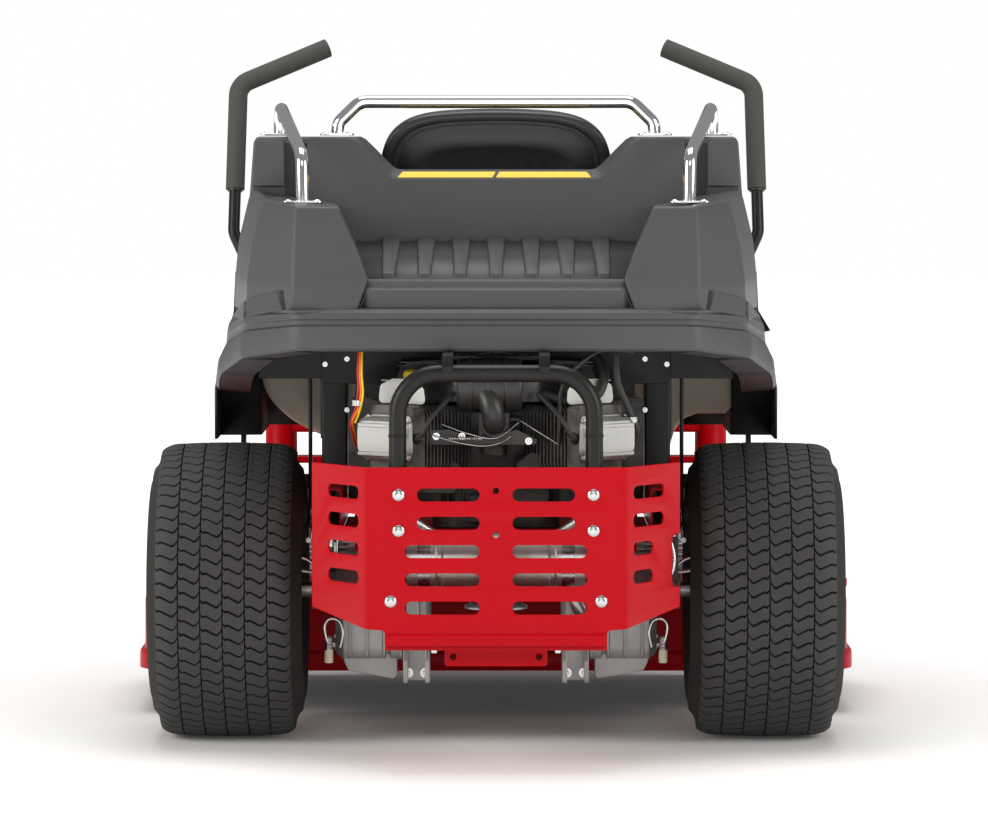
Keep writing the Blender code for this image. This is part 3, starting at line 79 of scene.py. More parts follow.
class MowerFinishes(bpy.types.PropertyGroup):
    paint: FloatVectorProperty(name='Paint', description='Powder coat of the frame, guard and deck',
        subtype='COLOR', default=(0.4, 0.0004, 0.0055), min=0.0, max=1.0)
    cowl: FloatVectorProperty(name='Cowl', description='Moulded plastic of the pods and load bed',
        subtype='COLOR', default=(0.05, 0.051, 0.0565), min=0.0, max=1.0)
    rubber: FloatVectorProperty(name='Tyre rubber', description='Worn face of the tyre blocks',
        subtype='COLOR', default=(0.06, 0.056, 0.049), min=0.0, max=1.0)
    tank: FloatVectorProperty(name='Tank', description='Moulded plastic of the fuel tanks', subtype='COLOR',
        default=(0.44, 0.37, 0.29), min=0.0, max=1.0)
    strip: FloatVectorProperty(name='Strip', description='Plain band across the seat back', subtype='COLOR',
        default=(0.8, 0.54, 0.001), min=0.0, max=1.0)
    rim: FloatVectorProperty(name='Rims', description='Paint of the wheel rims', subtype='COLOR',
        default=(0.58, 0.57, 0.55), min=0.0, max=1.0)


class MowerSizes(bpy.types.PropertyGroup):
    tread_rows: IntProperty(name='Tread rows', description='Blocks round one column of the rear tyre',
        default=66, min=20, max=90)
    tread_columns: IntProperty(name='Tread columns', description='Blocks across the rear tyre', default=6,
        min=3, max=9)
    tread_depth: FloatProperty(name='Tread depth', description='Height of a rear tyre block', default=0.007,
        min=0.003, max=0.012, unit='LENGTH')
    cowl_wall: FloatProperty(name='Cowl wall', description='Thickness of the moulded cowl', default=0.004,
        min=0.002, max=0.008, unit='LENGTH')
    rib_pitch: FloatProperty(name='Bed rib pitch', description="Spacing of the load bed's ribs",
        default=0.053, min=0.03, max=0.09, unit='LENGTH')
    rail_radius: FloatProperty(name='Rail radius', description='Radius of the chrome rails', default=0.0098,
        min=0.006, max=0.014, unit='LENGTH')
    hoop_radius: FloatProperty(name='Hoop radius', description='Radius of the black guard hoop',
        default=0.0127, min=0.008, max=0.02, unit='LENGTH')
    seat_crown: FloatProperty(name='Seat crown', description='How far the seat panels swell', default=0.012,
        min=0.0, max=0.03, unit='LENGTH')
    camera_height: FloatProperty(name='Camera height', description='Height of the camera over the floor',
        default=0.9, min=0.2, max=3.0, unit='LENGTH')
    camera_back: FloatProperty(name='Camera distance',
        description='Distance of the camera behind the rear axle', default=8.0, min=2.0, max=20.0,
        unit='LENGTH')
    camera_lens: FloatProperty(name='Lens', description='Focal length on a 36 mm sensor', default=189.5,
        min=20.0, max=300.0)


# shader building


class Value:
    """A number from a shader socket. Arithmetic on it adds its Math nodes."""

    def __init__(self, finish, socket):
        self.finish = finish
        self.socket = socket

    def maths(self, operation, first, second):
        return self.finish.node('ShaderNodeMath', {'operation': operation}, {0: first, 1: second})

    def __add__(self, other):
        return self.maths('ADD', self, other)
    __radd__ = __add__

    def __mul__(self, other):
        return self.maths('MULTIPLY', self, other)
    __rmul__ = __mul__

    def __sub__(self, other):
        return self.maths('SUBTRACT', self, other)

    def __rsub__(self, other):
        return self.maths('SUBTRACT', other, self)

    def __truediv__(self, other):
        return self.maths('DIVIDE', self, other)

    def __pow__(self, other):
        return self.maths('POWER', self, other)

    def __gt__(self, other):
        return self.maths('GREATER_THAN', self, other)

    def __lt__(self, other):
        return self.maths('LESS_THAN', self, other)


class Finish:
    """One material and the node tree behind it."""

    def __init__(self, name, colour, roughness, metallic=0.0, **constants):
        self.material = bpy.data.materials.new(name)
        self.material.use_nodes = True
        self.tree = self.material.node_tree
        self.shader = self.tree.nodes['Principled BSDF']
        self.shader.inputs['Base Color'].default_value = (*colour, 1.0)
        self.shader.inputs['Roughness'].default_value = roughness
        self.shader.inputs['Metallic'].default_value = metallic
        for socket, amount in constants.items():
            self.shader.inputs[socket.replace('_', ' ')].default_value = amount
        self.material.diffuse_color = (*colour, 1.0)

    def feed(self, socket, item):
        if isinstance(item, Value):
            self.tree.links.new(item.socket, socket)
        elif isinstance(item, (tuple, list)) and len(item) == 3 and (len(socket.default_value) == 4):
            socket.default_value = (*item, 1.0)
        else:
            socket.default_value = item

    def node(self, kind, settings=None, inputs=None, output=0):
        """Adds a node: its settings first, then the values or links of its sockets."""
        node = self.tree.nodes.new(kind)
        for key, setting in (settings or {}).items():
            if key == 'stops':
                ramp = node.color_ramp
                for element, (position, shade) in zip(ramp.elements, setting):
                    element.position, element.color = (position, (shade, shade, shade, 1.0))
                for position, shade in setting[2:]:
                    ramp.elements.new(position).color = (shade, shade, shade, 1.0)
            else:
                setattr(node, key, setting)
        for key, item in (inputs or {}).items():
            self.feed(node.inputs[key], item)
        return Value(self, node.outputs[output])

    def here(self):
        """The point on the surface, in the piece's own frame."""
        return self.node('ShaderNodeTexCoord', output='Object')

    def noise(self, scale, detail=3.0, rough=0.5, where=None):
        return self.node('ShaderNodeTexNoise', None, {'Vector': where or self.here(), 'Scale': scale,
            'Detail': detail, 'Roughness': rough})

    def cells(self, scale, feature='F1', where=None):
        return self.node('ShaderNodeTexVoronoi', {'feature': feature},
            {'Vector': where or self.here(), 'Scale': scale}, 'Distance')

    def ramp(self, value, *stops):
        return self.node('ShaderNodeValToRGB', {'stops': stops}, {'Fac': value})

    def blend(self, amount, first, second):
        """Colour first where amount is 0, second where it is 1."""
        return self.node('ShaderNodeMix', {'data_type': 'RGBA'}, {0: amount, 6: first, 7: second}, 2)

    def colour(self, value):
        self.feed(self.shader.inputs['Base Color'], value)

    def roughness(self, value):
        self.feed(self.shader.inputs['Roughness'], value)

    def relief(self, height, distance, strength=1.0):
        """Raises the surface by height, in steps of distance metres."""
        bump = self.node('ShaderNodeBump', None, {'Strength': strength, 'Distance': distance,
            'Height': height}, 'Normal')
        self.feed(self.shader.inputs['Normal'], bump)


def shade(colour, factor):
    return tuple((min(1.0, c * factor) for c in colour))


FINISHES = {}


def finish_maker(function):
    """Marks a function that makes one finish, so that it is made once and found by name."""
    FINISHES[function.__name__] = function
    return function


def finish(name):
    known = bpy.data.materials.get(name)
    if known:
        return known
    return (FINISHES[name](name) if name in FINISHES else mottled(name, **MOTTLED[name])).material


def colours():
    return bpy.context.scene.mower_finishes


@finish_maker
def powder_coat(name):
    """Glossy red powder coat with its slight orange peel."""
    red = tuple(colours().paint)
    coat = Finish(name, red, 0.38, Specular_IOR_Level=0.1)
    cloud = coat.noise(2.3, 2.0)
    coat.colour(coat.blend(cloud, shade(red, 0.92), shade(red, 1.06)))
    coat.roughness(coat.noise(24.0, 3.0) * 0.1 + 0.29)
    coat.relief(coat.noise(420.0, 2.0), 0.00012, 0.5)
    return coat


@finish_maker
def frame_black(name):
    """Satin black paint on tube and plate."""
    paint = Finish(name, (0.006, 0.0057, 0.0055), 0.36, Specular_IOR_Level=0.26)
    paint.colour(paint.blend(paint.noise(9.0), (0.004, 0.004, 0.004), (0.01, 0.0095, 0.009)))
    paint.roughness(paint.noise(35.0, 4.0) * 0.16 + 0.3)
    paint.relief(paint.noise(520.0, 2.0), 0.0001, 0.6)
    return paint


@finish_maker
def cowl_moulding(name):
    """Coarse satin moulded plastic, a little browner and greyer where dust has settled."""
    grey = tuple(colours().cowl)
    skin = Finish(name, grey, 0.52, Specular_IOR_Level=0.42)
    cloud = skin.noise(3.1, 4.0, 0.55)
    dust = skin.ramp(skin.noise(46.0, 5.0, 0.65), (0.52, 0.0), (0.86, 1.0))
    worn = skin.blend(cloud, shade(grey, 0.92), (grey[0] * 1.12, grey[1] * 1.1, grey[2] * 1.04))
    skin.colour(skin.blend(dust * 0.16, worn, shade(grey, 1.7)))
    skin.roughness(skin.noise(18.0, 4.0) * 0.14 + 0.44)
    grain = skin.cells(900.0) * 0.6 + skin.noise(1400.0, 2.0) * 0.4
    skin.relief(grain, 0.00016, 0.55)
    return skin


@finish_maker
def rail_chrome(name):
    plate = Finish(name, (0.83, 0.83, 0.85), 0.05, 1.0)
    plate.roughness(plate.ramp(plate.noise(5.0, 3.0), (0.35, 0.06), (0.8, 0.13)))
    return plate


@finish_maker
def heated_steel(name):
    """The silencer's aluminised sheet, browned where it runs hot."""
    metal = Finish(name, (0.62, 0.58, 0.54), 0.34, 0.9)
    stain = metal.ramp(metal.noise(7.0, 6.0, 0.62), (0.36, 0.0), (0.72, 1.0))
    fleck = metal.ramp(metal.noise(120.0, 4.0, 0.7), (0.6, 0.0), (0.8, 1.0))
    base = metal.blend(stain, (0.74, 0.72, 0.69), (0.4, 0.32, 0.26))
    metal.colour(metal.blend(fleck * 0.5, base, (0.2, 0.14, 0.1)))
    metal.roughness(stain * 0.25 + 0.27)
    return metal


@finish_maker
def tyre_rubber(name):
    """Tyre rubber of the blocks: dusty brown on the worn faces. The darker rubber down between the blocks is
    the carcass's finish, painted shade.
    """
    face = tuple(colours().rubber)
    rubber = Finish(name, face, 0.82, Specular_IOR_Level=0.35)
    dust = rubber.ramp(rubber.noise(11.0, 6.0, 0.6), (0.3, 0.0), (0.75, 1.0))
    fleck = rubber.ramp(rubber.noise(240.0, 4.0, 0.7), (0.55, 0.0), (0.82, 1.0))
    base = rubber.blend(dust, shade(face, 0.78), shade(face, 1.18))
    rubber.colour(rubber.blend(fleck * 0.35, base, shade(face, 2.1)))
    rubber.roughness(dust * 0.12 + 0.74)
    grain = rubber.noise(650.0, 4.0) * 0.6 + rubber.noise(120.0, 3.0) * 0.4
    rubber.relief(grain, 0.0005, 0.6)
    return rubber


def mottled(name, colour, roughness, metallic=0.0, tone=(70.0, 3.0), stops=None, tint=None, amount=1.0,
        shine=None, grain=((500.0, 2.0, 0.5, 1.0),), pores=(0.0, 0.0), relief=(0.0001, 0.4), **constants):
    """A finish clouded between two tints, its roughness following the cloud, with a fine grain in relief."""
    skin = Finish(name, colour, roughness, metallic, **constants)
    cloud = skin.noise(*tone)
    if stops:
        cloud = skin.ramp(cloud, (stops[0], 0.0), (stops[1], 1.0))
    dark, light = tint or (shade(colour, 0.88), shade(colour, 1.1))
    skin.colour(skin.blend(cloud * amount if amount != 1.0 else cloud, dark, light))
    if shine:
        skin.roughness(cloud * shine[0] + shine[1])
    parts = [skin.noise(*layer[:3]) * layer[3] for layer in grain]
    if pores[0]:
        parts.append(skin.cells(pores[0]) * pores[1])
    if parts:
        height = parts[0]
        for part in parts[1:]:
            height = height + part
        skin.relief(height, *relief)
    return skin


def grey(tone):
    return (tone, tone, tone)


MOTTLED = {
    # painted shade: near black, for the unlit inner face and dark recesses of the moulding and for the inside
    # of the deck
    "cowl_inside": dict(colour=grey(0.010), roughness=0.75, tone=(12.0,),
        tint=(grey(0.007), (0.016, 0.015, 0.014)),
                        grain=((300.0, 3.0, 0.5, 1.0),), relief=(0.0002, 0.5)),
    # bright zinc on bolts, nuts, springs and clips
    "zinc_plate": dict(colour=(0.72, 0.72, 0.70), roughness=0.24, metallic=1.0, tone=(160.0, 3.0),
                       tint=((0.42, 0.43, 0.44), (0.62, 0.61, 0.58)), shine=(0.22, 0.14), grain=()),
    # turned and ground steel, with a thin film of rust starting in places
    "machined_steel": dict(colour=(0.38, 0.37, 0.36), roughness=0.33, metallic=1.0, tone=(26.0, 6.0, 0.7),
                           stops=(0.60, 0.78), tint=((0.40, 0.395, 0.39), (0.16, 0.085, 0.05)), amount=0.55,
                           shine=(0.35, 0.28), grain=((260.0, 4.0, 0.5, 1.0),), relief=(0.0001, 0.5)),
    # die cast aluminium: light grey, sandy skin, darker in patches
    "cast_metal": dict(colour=(0.50, 0.50, 0.495), roughness=0.46, metallic=0.55, tone=(15.0, 5.0, 0.6),
                       stops=(0.30, 0.75), tint=(grey(0.21), (0.38, 0.38, 0.375)), shine=(0.16, 0.38),
                       grain=((380.0, 4.0, 0.5, 0.7), (90.0, 3.0, 0.5, 0.3)), relief=(0.0004, 0.6)),
    # smooth die cast valve covers
    "cover_metal": dict(colour=(0.66, 0.66, 0.65), roughness=0.34, metallic=0.75, tone=(20.0, 4.0),
                        tint=((0.40, 0.40, 0.385), (0.54, 0.54, 0.52)), shine=(0.18, 0.26),
                        grain=((500.0, 3.0, 0.5, 1.0),), relief=(0.00015, 0.5)),
    # castings inside the engine bay, near black: their own dark colour with painted shade of the deep bay
    "dark_casting": dict(colour=(0.030, 0.028, 0.027), roughness=0.42, metallic=0.35, tone=(30.0, 5.0, 0.6),
                         stops=(0.35, 0.72), tint=((0.018, 0.017, 0.016), (0.075, 0.070, 0.066)),
                         shine=(0.25, 0.32), grain=((240.0, 4.0, 0.5, 1.0),), relief=(0.0004, 0.6)),
    # the heads and fins: dark grey-brown castings, darkened with painted shade of the deep bay, clouded at
    # random
    "bay_casting": dict(colour=(0.10, 0.095, 0.09), roughness=0.48, metallic=0.4, tone=(22.0, 5.0, 0.6),
                        stops=(0.35, 0.70), tint=((0.050, 0.045, 0.042), (0.150, 0.142, 0.135)),
                        shine=(0.2, 0.38), grain=((300.0, 4.0, 0.5, 1.0),), relief=(0.0003, 0.6)),
    # smooth black plastic: knobs, shrouds, caps and the seat's shell
    "satin_plastic": dict(colour=(0.020, 0.0195, 0.019), roughness=0.40, tone=(22.0, 3.0),
                          tint=((0.016, 0.0155, 0.015), (0.028, 0.027, 0.026)), shine=(0.14, 0.33),
                          grain=((800.0, 2.0, 0.5, 1.0),)),
    # the seat back's rear skin: black, with a pebbled grain
    "seat_shell_grain": dict(colour=(0.022, 0.022, 0.023), roughness=0.44, tone=(90.0, 4.0),
                             tint=((0.015, 0.015, 0.016), (0.036, 0.036, 0.037)), shine=(0.2, 0.34),
                             grain=(), pores=(420.0, 1.0), relief=(0.0006, 0.7)),
    # upholstery vinyl with a fine leather grain
    "seat_vinyl": dict(colour=(0.024, 0.0245, 0.026), roughness=0.46, tone=(14.0, 4.0),
                       tint=((0.018, 0.018, 0.019), (0.034, 0.034, 0.036)), shine=(0.16, 0.40),
                       grain=((900.0, 3.0, 0.5, 0.3),), pores=(620.0, 0.7), relief=(0.0005, 0.65)),
    # closed-cell foam of the lap bar grips
    "grip_foam": dict(colour=(0.055, 0.051, 0.047), roughness=0.92, tone=(60.0, 4.0),
                      tint=((0.040, 0.037, 0.034), (0.070, 0.065, 0.060)),
                      grain=((700.0, 3.0, 0.5, 0.5),), pores=(1100.0, 1.0), relief=(0.0004, 0.8)),
    # the tyre's body between and beside its blocks, near black: the rubber's own colour with painted shade
    # down between the blocks
    "carcass_rubber": dict(colour=(0.009, 0.008, 0.007), roughness=0.82, tone=(16.0, 5.0, 0.6),
                           tint=((0.006, 0.0055, 0.005), (0.014, 0.012, 0.010)),
                           grain=((380.0, 4.0, 0.5, 1.0),), relief=(0.0004, 0.5)),
    "hose_rubber": dict(colour=grey(0.014), roughness=0.55, tone=(60.0, 3.0),
        tint=(grey(0.010), (0.022, 0.021, 0.021)),
                        grain=((600.0, 3.0, 0.5, 1.0),), relief=(0.0002, 0.5)),
    # the footplate's ribbed mat, dusty from boots
    "mat_rubber": dict(colour=(0.024, 0.023, 0.022), roughness=0.80, tone=(13.0, 6.0, 0.62),
        stops=(0.42, 0.80),
                       tint=((0.020, 0.0195, 0.019), (0.075, 0.070, 0.060)), amount=0.5,
                       grain=((500.0, 4.0, 0.5, 1.0),), relief=(0.0004, 0.6)),
    "cream_plastic": dict(colour=(0.62, 0.60, 0.46), roughness=0.45),
    "cable_orange": dict(colour=(0.75, 0.16, 0.01), roughness=0.45),
    "knob_red": dict(colour=(0.55, 0.012, 0.015), roughness=0.35),
    "dial_white": dict(colour=(0.70, 0.70, 0.68), roughness=0.45),
}


@finish_maker
def strip_yellow(name):
    return mottled(name, tuple(colours().strip), 0.4)


@finish_maker
def rim_paint(name):
    coat = tuple(colours().rim)
    return mottled(name, coat, 0.36, tone=(10.0, 5.0, 0.6), stops=(0.45, 0.85),
        tint=(coat, shade(coat, 0.55)), amount=0.4, shine=(0.25, 0.3), grain=((400.0, 2.0, 0.5, 1.0),))


@finish_maker
def tank_moulding(name):
    """Rotomoulded tan fuel tank."""
    tan = tuple(colours().tank)
    return mottled(name, tan, 0.42, tone=(6.0, 4.0), tint=(shade(tan, 0.86), shade(tan, 1.12)),
        shine=(0.2, 0.34), grain=((260.0, 3.0, 0.5, 1.0),), relief=(0.0002, 0.5), Subsurface_Weight=0.05)


@finish_maker
def studio_floor(name):
    ground = Finish(name, (0.9, 0.9, 0.9), 0.85, Emission_Strength=1.0)
    away = ground.node('ShaderNodeVectorMath', {'operation': 'LENGTH'}, {0: ground.here()}, 'Value')
    # The floor glows though it is no lamp: painted light, dim near the mower so its shadow shows, full white
    # a few metres out.
    painted_floor_glow = ground.ramp(away * 0.1, (0.07, 0.03), (0.4, 1.0), (0.18, 0.5))
    ground.feed(ground.shader.inputs['Emission Color'], painted_floor_glow)
    ground.colour(ground.blend(ground.noise(0.8, 2.0), (0.88, 0.88, 0.88), (0.92, 0.92, 0.92)))
    return ground


def add_piece(name, mesh, finish_name, body='chassis', node=None, crease=32.0, inside=None):
    """Puts a mesh or curve in the scene as a finished piece riding on a body, in place of a frame node."""
    piece = bpy.data.objects.new(name, mesh)
    bpy.context.scene.collection.objects.link(piece)
    mesh.materials.append(finish(finish_name))
    if inside:
        mesh.materials.append(finish(inside))
    if isinstance(mesh, bpy.types.Mesh):
        mesh.shade_smooth()
        mesh.set_sharp_from_angle(angle=math.radians(crease))
    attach(piece, body)
    if node:
        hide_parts(node)
    return piece


def mesh_from(bm, name):
    bmesh.ops.remove_doubles(bm, verts=bm.verts, dist=1e-06)
    bmesh.ops.recalc_face_normals(bm, faces=bm.faces)
    mesh = bpy.data.meshes.new(name)
    bm.to_mesh(mesh)
    bm.free()
    return mesh


def loft(rings, caps=(True, True), ring_closed=True, rings_closed=False):
    """A bmesh skinned over rings that all have the same number of points."""
    bm = bmesh.new()
    rows = [[bm.verts.new(p) for p in ring] for ring in rings]
    count = len(rows[0])
    across = count if ring_closed else count - 1
    pairs = list(zip(rows, rows[1:])) + ([(rows[-1], rows[0])] if rings_closed else [])
    for low, high in pairs:
        for i in range(across):
            k = (i + 1) % count
            bm.faces.new((low[i], low[k], high[k], high[i]))
    if caps[0]:
        bm.faces.new(rows[0][::-1])
    if caps[1]:
        bm.faces.new(rows[-1])
    return bm


def soften(piece, width, segments=3, angle=30.0):
    """Rounds a piece's edges."""
    bevel = piece.modifiers.new('rounded edges', 'BEVEL')
    bevel.width = width
    bevel.segments = segments
    bevel.limit_method = 'ANGLE'
    bevel.angle_limit = math.radians(angle)
    bevel.use_clamp_overlap = True
    bevel.harden_normals = True
    return piece


def thicken(piece, wall, offset=-1.0, inner_slot=0):
    """Gives an open skin its wall, inwards unless offset says otherwise."""
    solid = piece.modifiers.new('wall', 'SOLIDIFY')
    solid.thickness = wall
    solid.offset = offset
    solid.material_offset = inner_slot
    solid.use_even_offset = True
    return piece


def arc(centre, radius, start, end, steps):
    """Points on a flat arc, angles in degrees."""
    turn = [math.radians(start + (end - start) * k / steps) for k in range(steps + 1)]
    return [Vector((centre[0] + radius * math.cos(a), centre[1] + radius * math.sin(a))) for a in turn]


def rounded(corners, radius, steps=6, closed=True):
    """A path with its inner corners replaced by arcs."""
    corners = [Vector(c) for c in corners]
    count = len(corners)
    radii = radius if isinstance(radius, (list, tuple)) else [radius] * count
    path = []
    for i, corner in enumerate(corners):
        if not closed and i in (0, count - 1) or radii[i] <= 0:
            path.append(corner)
            continue
        back = (corners[i - 1] - corner).normalized()
        ahead = (corners[(i + 1) % count] - corner).normalized()
        half = back.angle(ahead) / 2
        centre = corner + (back + ahead).normalized() * radii[i] / math.sin(half)
        first = (corner + back * radii[i] / math.tan(half) - centre).normalized()
        last = (corner + ahead * radii[i] / math.tan(half) - centre).normalized()
        path += [centre + first.slerp(last, k / steps) * radii[i] for k in range(steps + 1)]
    return path


def smooth_path(points, steps=8, closed=False):
    """A curve through every point, as many short runs."""
    points = [Vector(p) for p in points]
    count = len(points)
    runs = count if closed else count - 1
    path = []
    for i in range(runs):
        if closed:
            a, b, c, d = (points[(i + k - 1) % count] for k in range(4))
        else:
            a, b = (points[max(i - 1, 0)], points[i])
            c, d = (points[i + 1], points[min(i + 2, count - 1)])
        for k in range(steps):
            t = k / steps
            path.append(0.5 * (2 * b + (c - a) * t + (2 * a - 5 * b + 4 * c - d) * t ** 2
                + (3 * b - a - 3 * c + d) * t ** 3))
    return path if closed else path + [points[-1]]


def tube(name, points, radius, finish_name, body='chassis', node=None, roundness=6, closed=False):
    """A round tube, wire or hose along points in the mower's own frame."""
    curve = bpy.data.curves.new(name, 'CURVE')
    curve.dimensions = '3D'
    curve.bevel_depth = radius
    curve.bevel_resolution = roundness
    curve.use_fill_caps = True
    spline = curve.splines.new('POLY')
    spline.use_cyclic_u = closed
    spline.points.add(len(points) - 1)
    for target, point in zip(spline.points, points):
        target.co = (*point, 1.0)
    spline.use_smooth = True
    return add_piece(name, curve, finish_name, body, node)


def outline_mesh(name, outlines, thickness, placing, rim=0.0, steps=3):
    """A flat plate cut to outlines, with rounded rims, as a mesh. placing turns its flat points into 3D."""
    curve = bpy.data.curves.new(name, 'CURVE')
    curve.dimensions = '2D'
    curve.fill_mode = 'BOTH'
    curve.extrude = max(thickness / 2 - rim, 1e-05)
    curve.bevel_depth = rim
    curve.bevel_resolution = steps
    curve.offset = -rim
    for outline in outlines:
        spline = curve.splines.new('POLY')
        spline.use_cyclic_u = True
        spline.points.add(len(outline) - 1)
        for target, point in zip(spline.points, outline):
            target.co = (point[0], point[1], 0.0, 1.0)
    holder = bpy.data.objects.new(name, curve)
    bpy.context.scene.collection.objects.link(holder)
    bpy.context.view_layer.update()
    mesh = bpy.data.meshes.new_from_object(holder.evaluated_get(bpy.context.evaluated_depsgraph_get()))
    bpy.data.objects.remove(holder)
    bpy.data.curves.remove(curve)
    bm = bmesh.new()
    bm.from_mesh(mesh)
    bpy.data.meshes.remove(mesh)
    for vertex in bm.verts:
        vertex.co = placing(vertex.co)
    return mesh_from(bm, name)


def facing(axis, at):
    """A placing for outline_mesh: X takes (ahead, z), Y takes (x, z), Z takes (x, ahead), centred on at."""
    return {'X': lambda p: place(at + p.z, p.x, p.y), 'Y': lambda p: place(p.x, at + p.z, p.y),
        'Z': lambda p: place(p.x, p.y, at + p.z)}[axis]


def spun(profile, steps, axis, centre, closed=True):
    """A bmesh of (radius, distance along the axis) points turned about X, Y or Z through centre."""
    onto = {'Z': Matrix.Identity(3), 'X': Matrix.Rotation(math.pi / 2, 3, 'Y'),
        'Y': Matrix.Rotation(-math.pi / 2, 3, 'X')}[axis]
    rings = []
    for k in range(steps):
        a = 2 * math.pi * k / steps
        rings.append([centre + onto @ Vector((r * math.cos(a), r * math.sin(a), d)) for r, d in profile])
    return loft(rings, caps=(False, False), ring_closed=closed, rings_closed=True)


def add_block(bm, low, high):
    """Adds a box between two corners to a bmesh."""
    made = bmesh.ops.create_cube(bm, size=1.0)['verts']
    for vertex in made:
        vertex.co = Vector((low[i] if vertex.co[i] < 0 else high[i] for i in range(3)))
    return made


def add_drum(bm, start, end, radius, sides=24, far_radius=None):
    """Adds a cylinder or cone between two points to a bmesh."""
    start, end = (Vector(start), Vector(end))
    run = end - start
    turn = Matrix.Translation((start + end) / 2) @ run.to_track_quat('Z', 'Y').to_matrix().to_4x4()
    bmesh.ops.create_cone(bm, cap_ends=True, segments=sides, radius1=radius,
        radius2=radius if far_radius is None else far_radius, depth=run.length, matrix=turn)


def add_bolt(bm, seat, way, size=0.01, washer=True, dome=False):
    """Adds a bolt head to a bmesh: a washer, then a hexagon or a low dome, on seat and facing way."""
    seat, way = (Vector(seat), Vector(way).normalized())
    if washer:
        add_drum(bm, seat, seat + way * size * 0.14, size * 1.02, 20)
    if not dome:
        top = seat + way * size * 0.72
        add_drum(bm, seat, top, size * 0.58, 6)
        add_drum(bm, top, top + way * size * 0.1, size * 0.5, 6, size * 0.4)
        return
    turn = way.to_track_quat('Z', 'Y').to_matrix().to_4x4()
    levels = ((0.84, 0.0), (0.84, 0.1), (0.74, 0.22), (0.5, 0.33), (0.22, 0.38))
    rows = []
    for radius, lift in levels:
        ring = [Vector((radius * size * math.cos(math.tau * k / 24),
            radius * size * math.sin(math.tau * k / 24), lift * size)) for k in range(24)]
        rows.append([bm.verts.new(Matrix.Translation(seat) @ turn @ p) for p in ring])
    for lower, upper in zip(rows, rows[1:]):
        for k in range(24):
            bm.faces.new((lower[k], lower[(k + 1) % 24], upper[(k + 1) % 24], upper[k]))
    bm.faces.new(rows[-1])


def bolts(name, spots, body, size=0.01, finish_name='zinc_plate', slot='steel', **how):
    """A set of like bolts as one piece. spots holds (seat, way) pairs."""
    bm = bmesh.new()
    for seat, way in spots:
        add_bolt(bm, seat, way, size, **how)
    mesh = bpy.data.meshes.new(name)
    bm.to_mesh(mesh)
    bm.free()
    return add_piece(name, mesh, finish_name, body)


def rect(left, low, right, high, radius, steps):
    """A rectangle with rounded corners."""
    return rounded([(left, low), (right, low), (right, high), (left, high)], radius, steps)


def ringed(radius, count, phase=0.0):
    """Points spaced round a circle, as (across, along)."""
    turns = [math.tau * (k + phase) / count for k in range(count)]
    return [(radius * math.cos(a), radius * math.sin(a)) for a in turns]


def helix(count, steps, point_at):
    """A wound wire's path: point_at takes the cosine and sine of the turn and the share of the length."""
    turns = [(math.tau * k / steps, k / (count * steps)) for k in range(count * steps)]
    return [point_at(math.cos(a), math.sin(a), share) for a, share in turns]


def absorb(bm, part):
    """Moves one bmesh's shape into another."""
    mesh = bpy.data.meshes.new('part')
    part.to_mesh(mesh)
    part.free()
    bm.from_mesh(mesh)
    bpy.data.meshes.remove(mesh)


def prism(bm, near, far):
    """Adds the solid between two matching outlines to a bmesh."""
    near = [bm.verts.new(p) for p in near]
    far = [bm.verts.new(p) for p in far]
    bm.faces.new(near)
    bm.faces.new(far[::-1])
    for k in range(len(near)):
        n = (k + 1) % len(near)
        bm.faces.new((near[k], far[k], far[n], near[n]))


def add_slab(bm, outline, placing, thickness):
    """Adds a flat plate of an outline to a bmesh."""
    prism(bm, *([placing(Vector((p[0], p[1], depth))) for p in outline] for depth in (-thickness / 2,
        thickness / 2)))


def add_turned(bm, profile, axis, centre, steps=32):
    """Adds a turned solid to a bmesh."""
    part = spun(profile, steps, axis, Vector(centre), closed=False)
    bmesh.ops.recalc_face_normals(part, faces=part.faces)
    absorb(bm, part)


def merged(name, bm, finish_name, body='chassis', node=None, edge=0.0, segments=2, crease=32):
    """A bmesh of several shapes as one piece, with its edges rounded."""
    bmesh.ops.recalc_face_normals(bm, faces=bm.faces)
    mesh = bpy.data.meshes.new(name)
    bm.to_mesh(mesh)
    bm.free()
    piece = add_piece(name, mesh, finish_name, body, node, crease)
    return soften(piece, edge, segments) if edge else piece


def stuffed(name, rows, columns, point_at):
    """A padded vinyl panel. point_at places (across, along), each from -1 to 1."""
    bm = bmesh.new()
    grid = [[bm.verts.new(point_at(c / columns * 2 - 1, r / rows * 2 - 1)) for c in range(columns + 1)]
        for r in range(rows + 1)]
    for a, b in zip(grid, grid[1:]):
        for c in range(columns):
            bm.faces.new((a[c], a[c + 1], b[c + 1], b[c]))
    rim = grid[0] + [row[-1] for row in grid[1:]] + grid[-1][::-1][1:] + [row[0] for row in grid[::-1][1:-1]]
    bm.faces.new(rim[::-1])
    piece = add_piece(name, mesh_from(bm, name), 'seat_vinyl', 'seat', crease=75)
    smooth = piece.modifiers.new('upholstery', 'SUBSURF')
    smooth.levels = smooth.render_levels = 1


# rear wheels
CROWN_FLAT = 0.076
CROWN_DROP = 0.35
SHOULDER = 0.033
SHOULDER_TURN = 1.3


def crown(reach, lift):
    """(across, radius) of the tyre's face at a distance from its middle line, lift above the carcass."""
    sizes = bpy.context.scene.mower_sizes
    carcass = REAR_RADIUS - sizes.tread_depth
    way = 1 if reach >= 0 else -1
    reach = abs(reach)
    if reach <= CROWN_FLAT:
        return (way * reach, carcass - CROWN_DROP * reach ** 2 + lift)
    turn = min((reach - CROWN_FLAT) / SHOULDER, SHOULDER_TURN)
    across = CROWN_FLAT + (SHOULDER + lift) * math.sin(turn)
    drop = CROWN_DROP * CROWN_FLAT ** 2 + SHOULDER - (SHOULDER + lift) * math.cos(turn)
    return (way * across, carcass - drop)


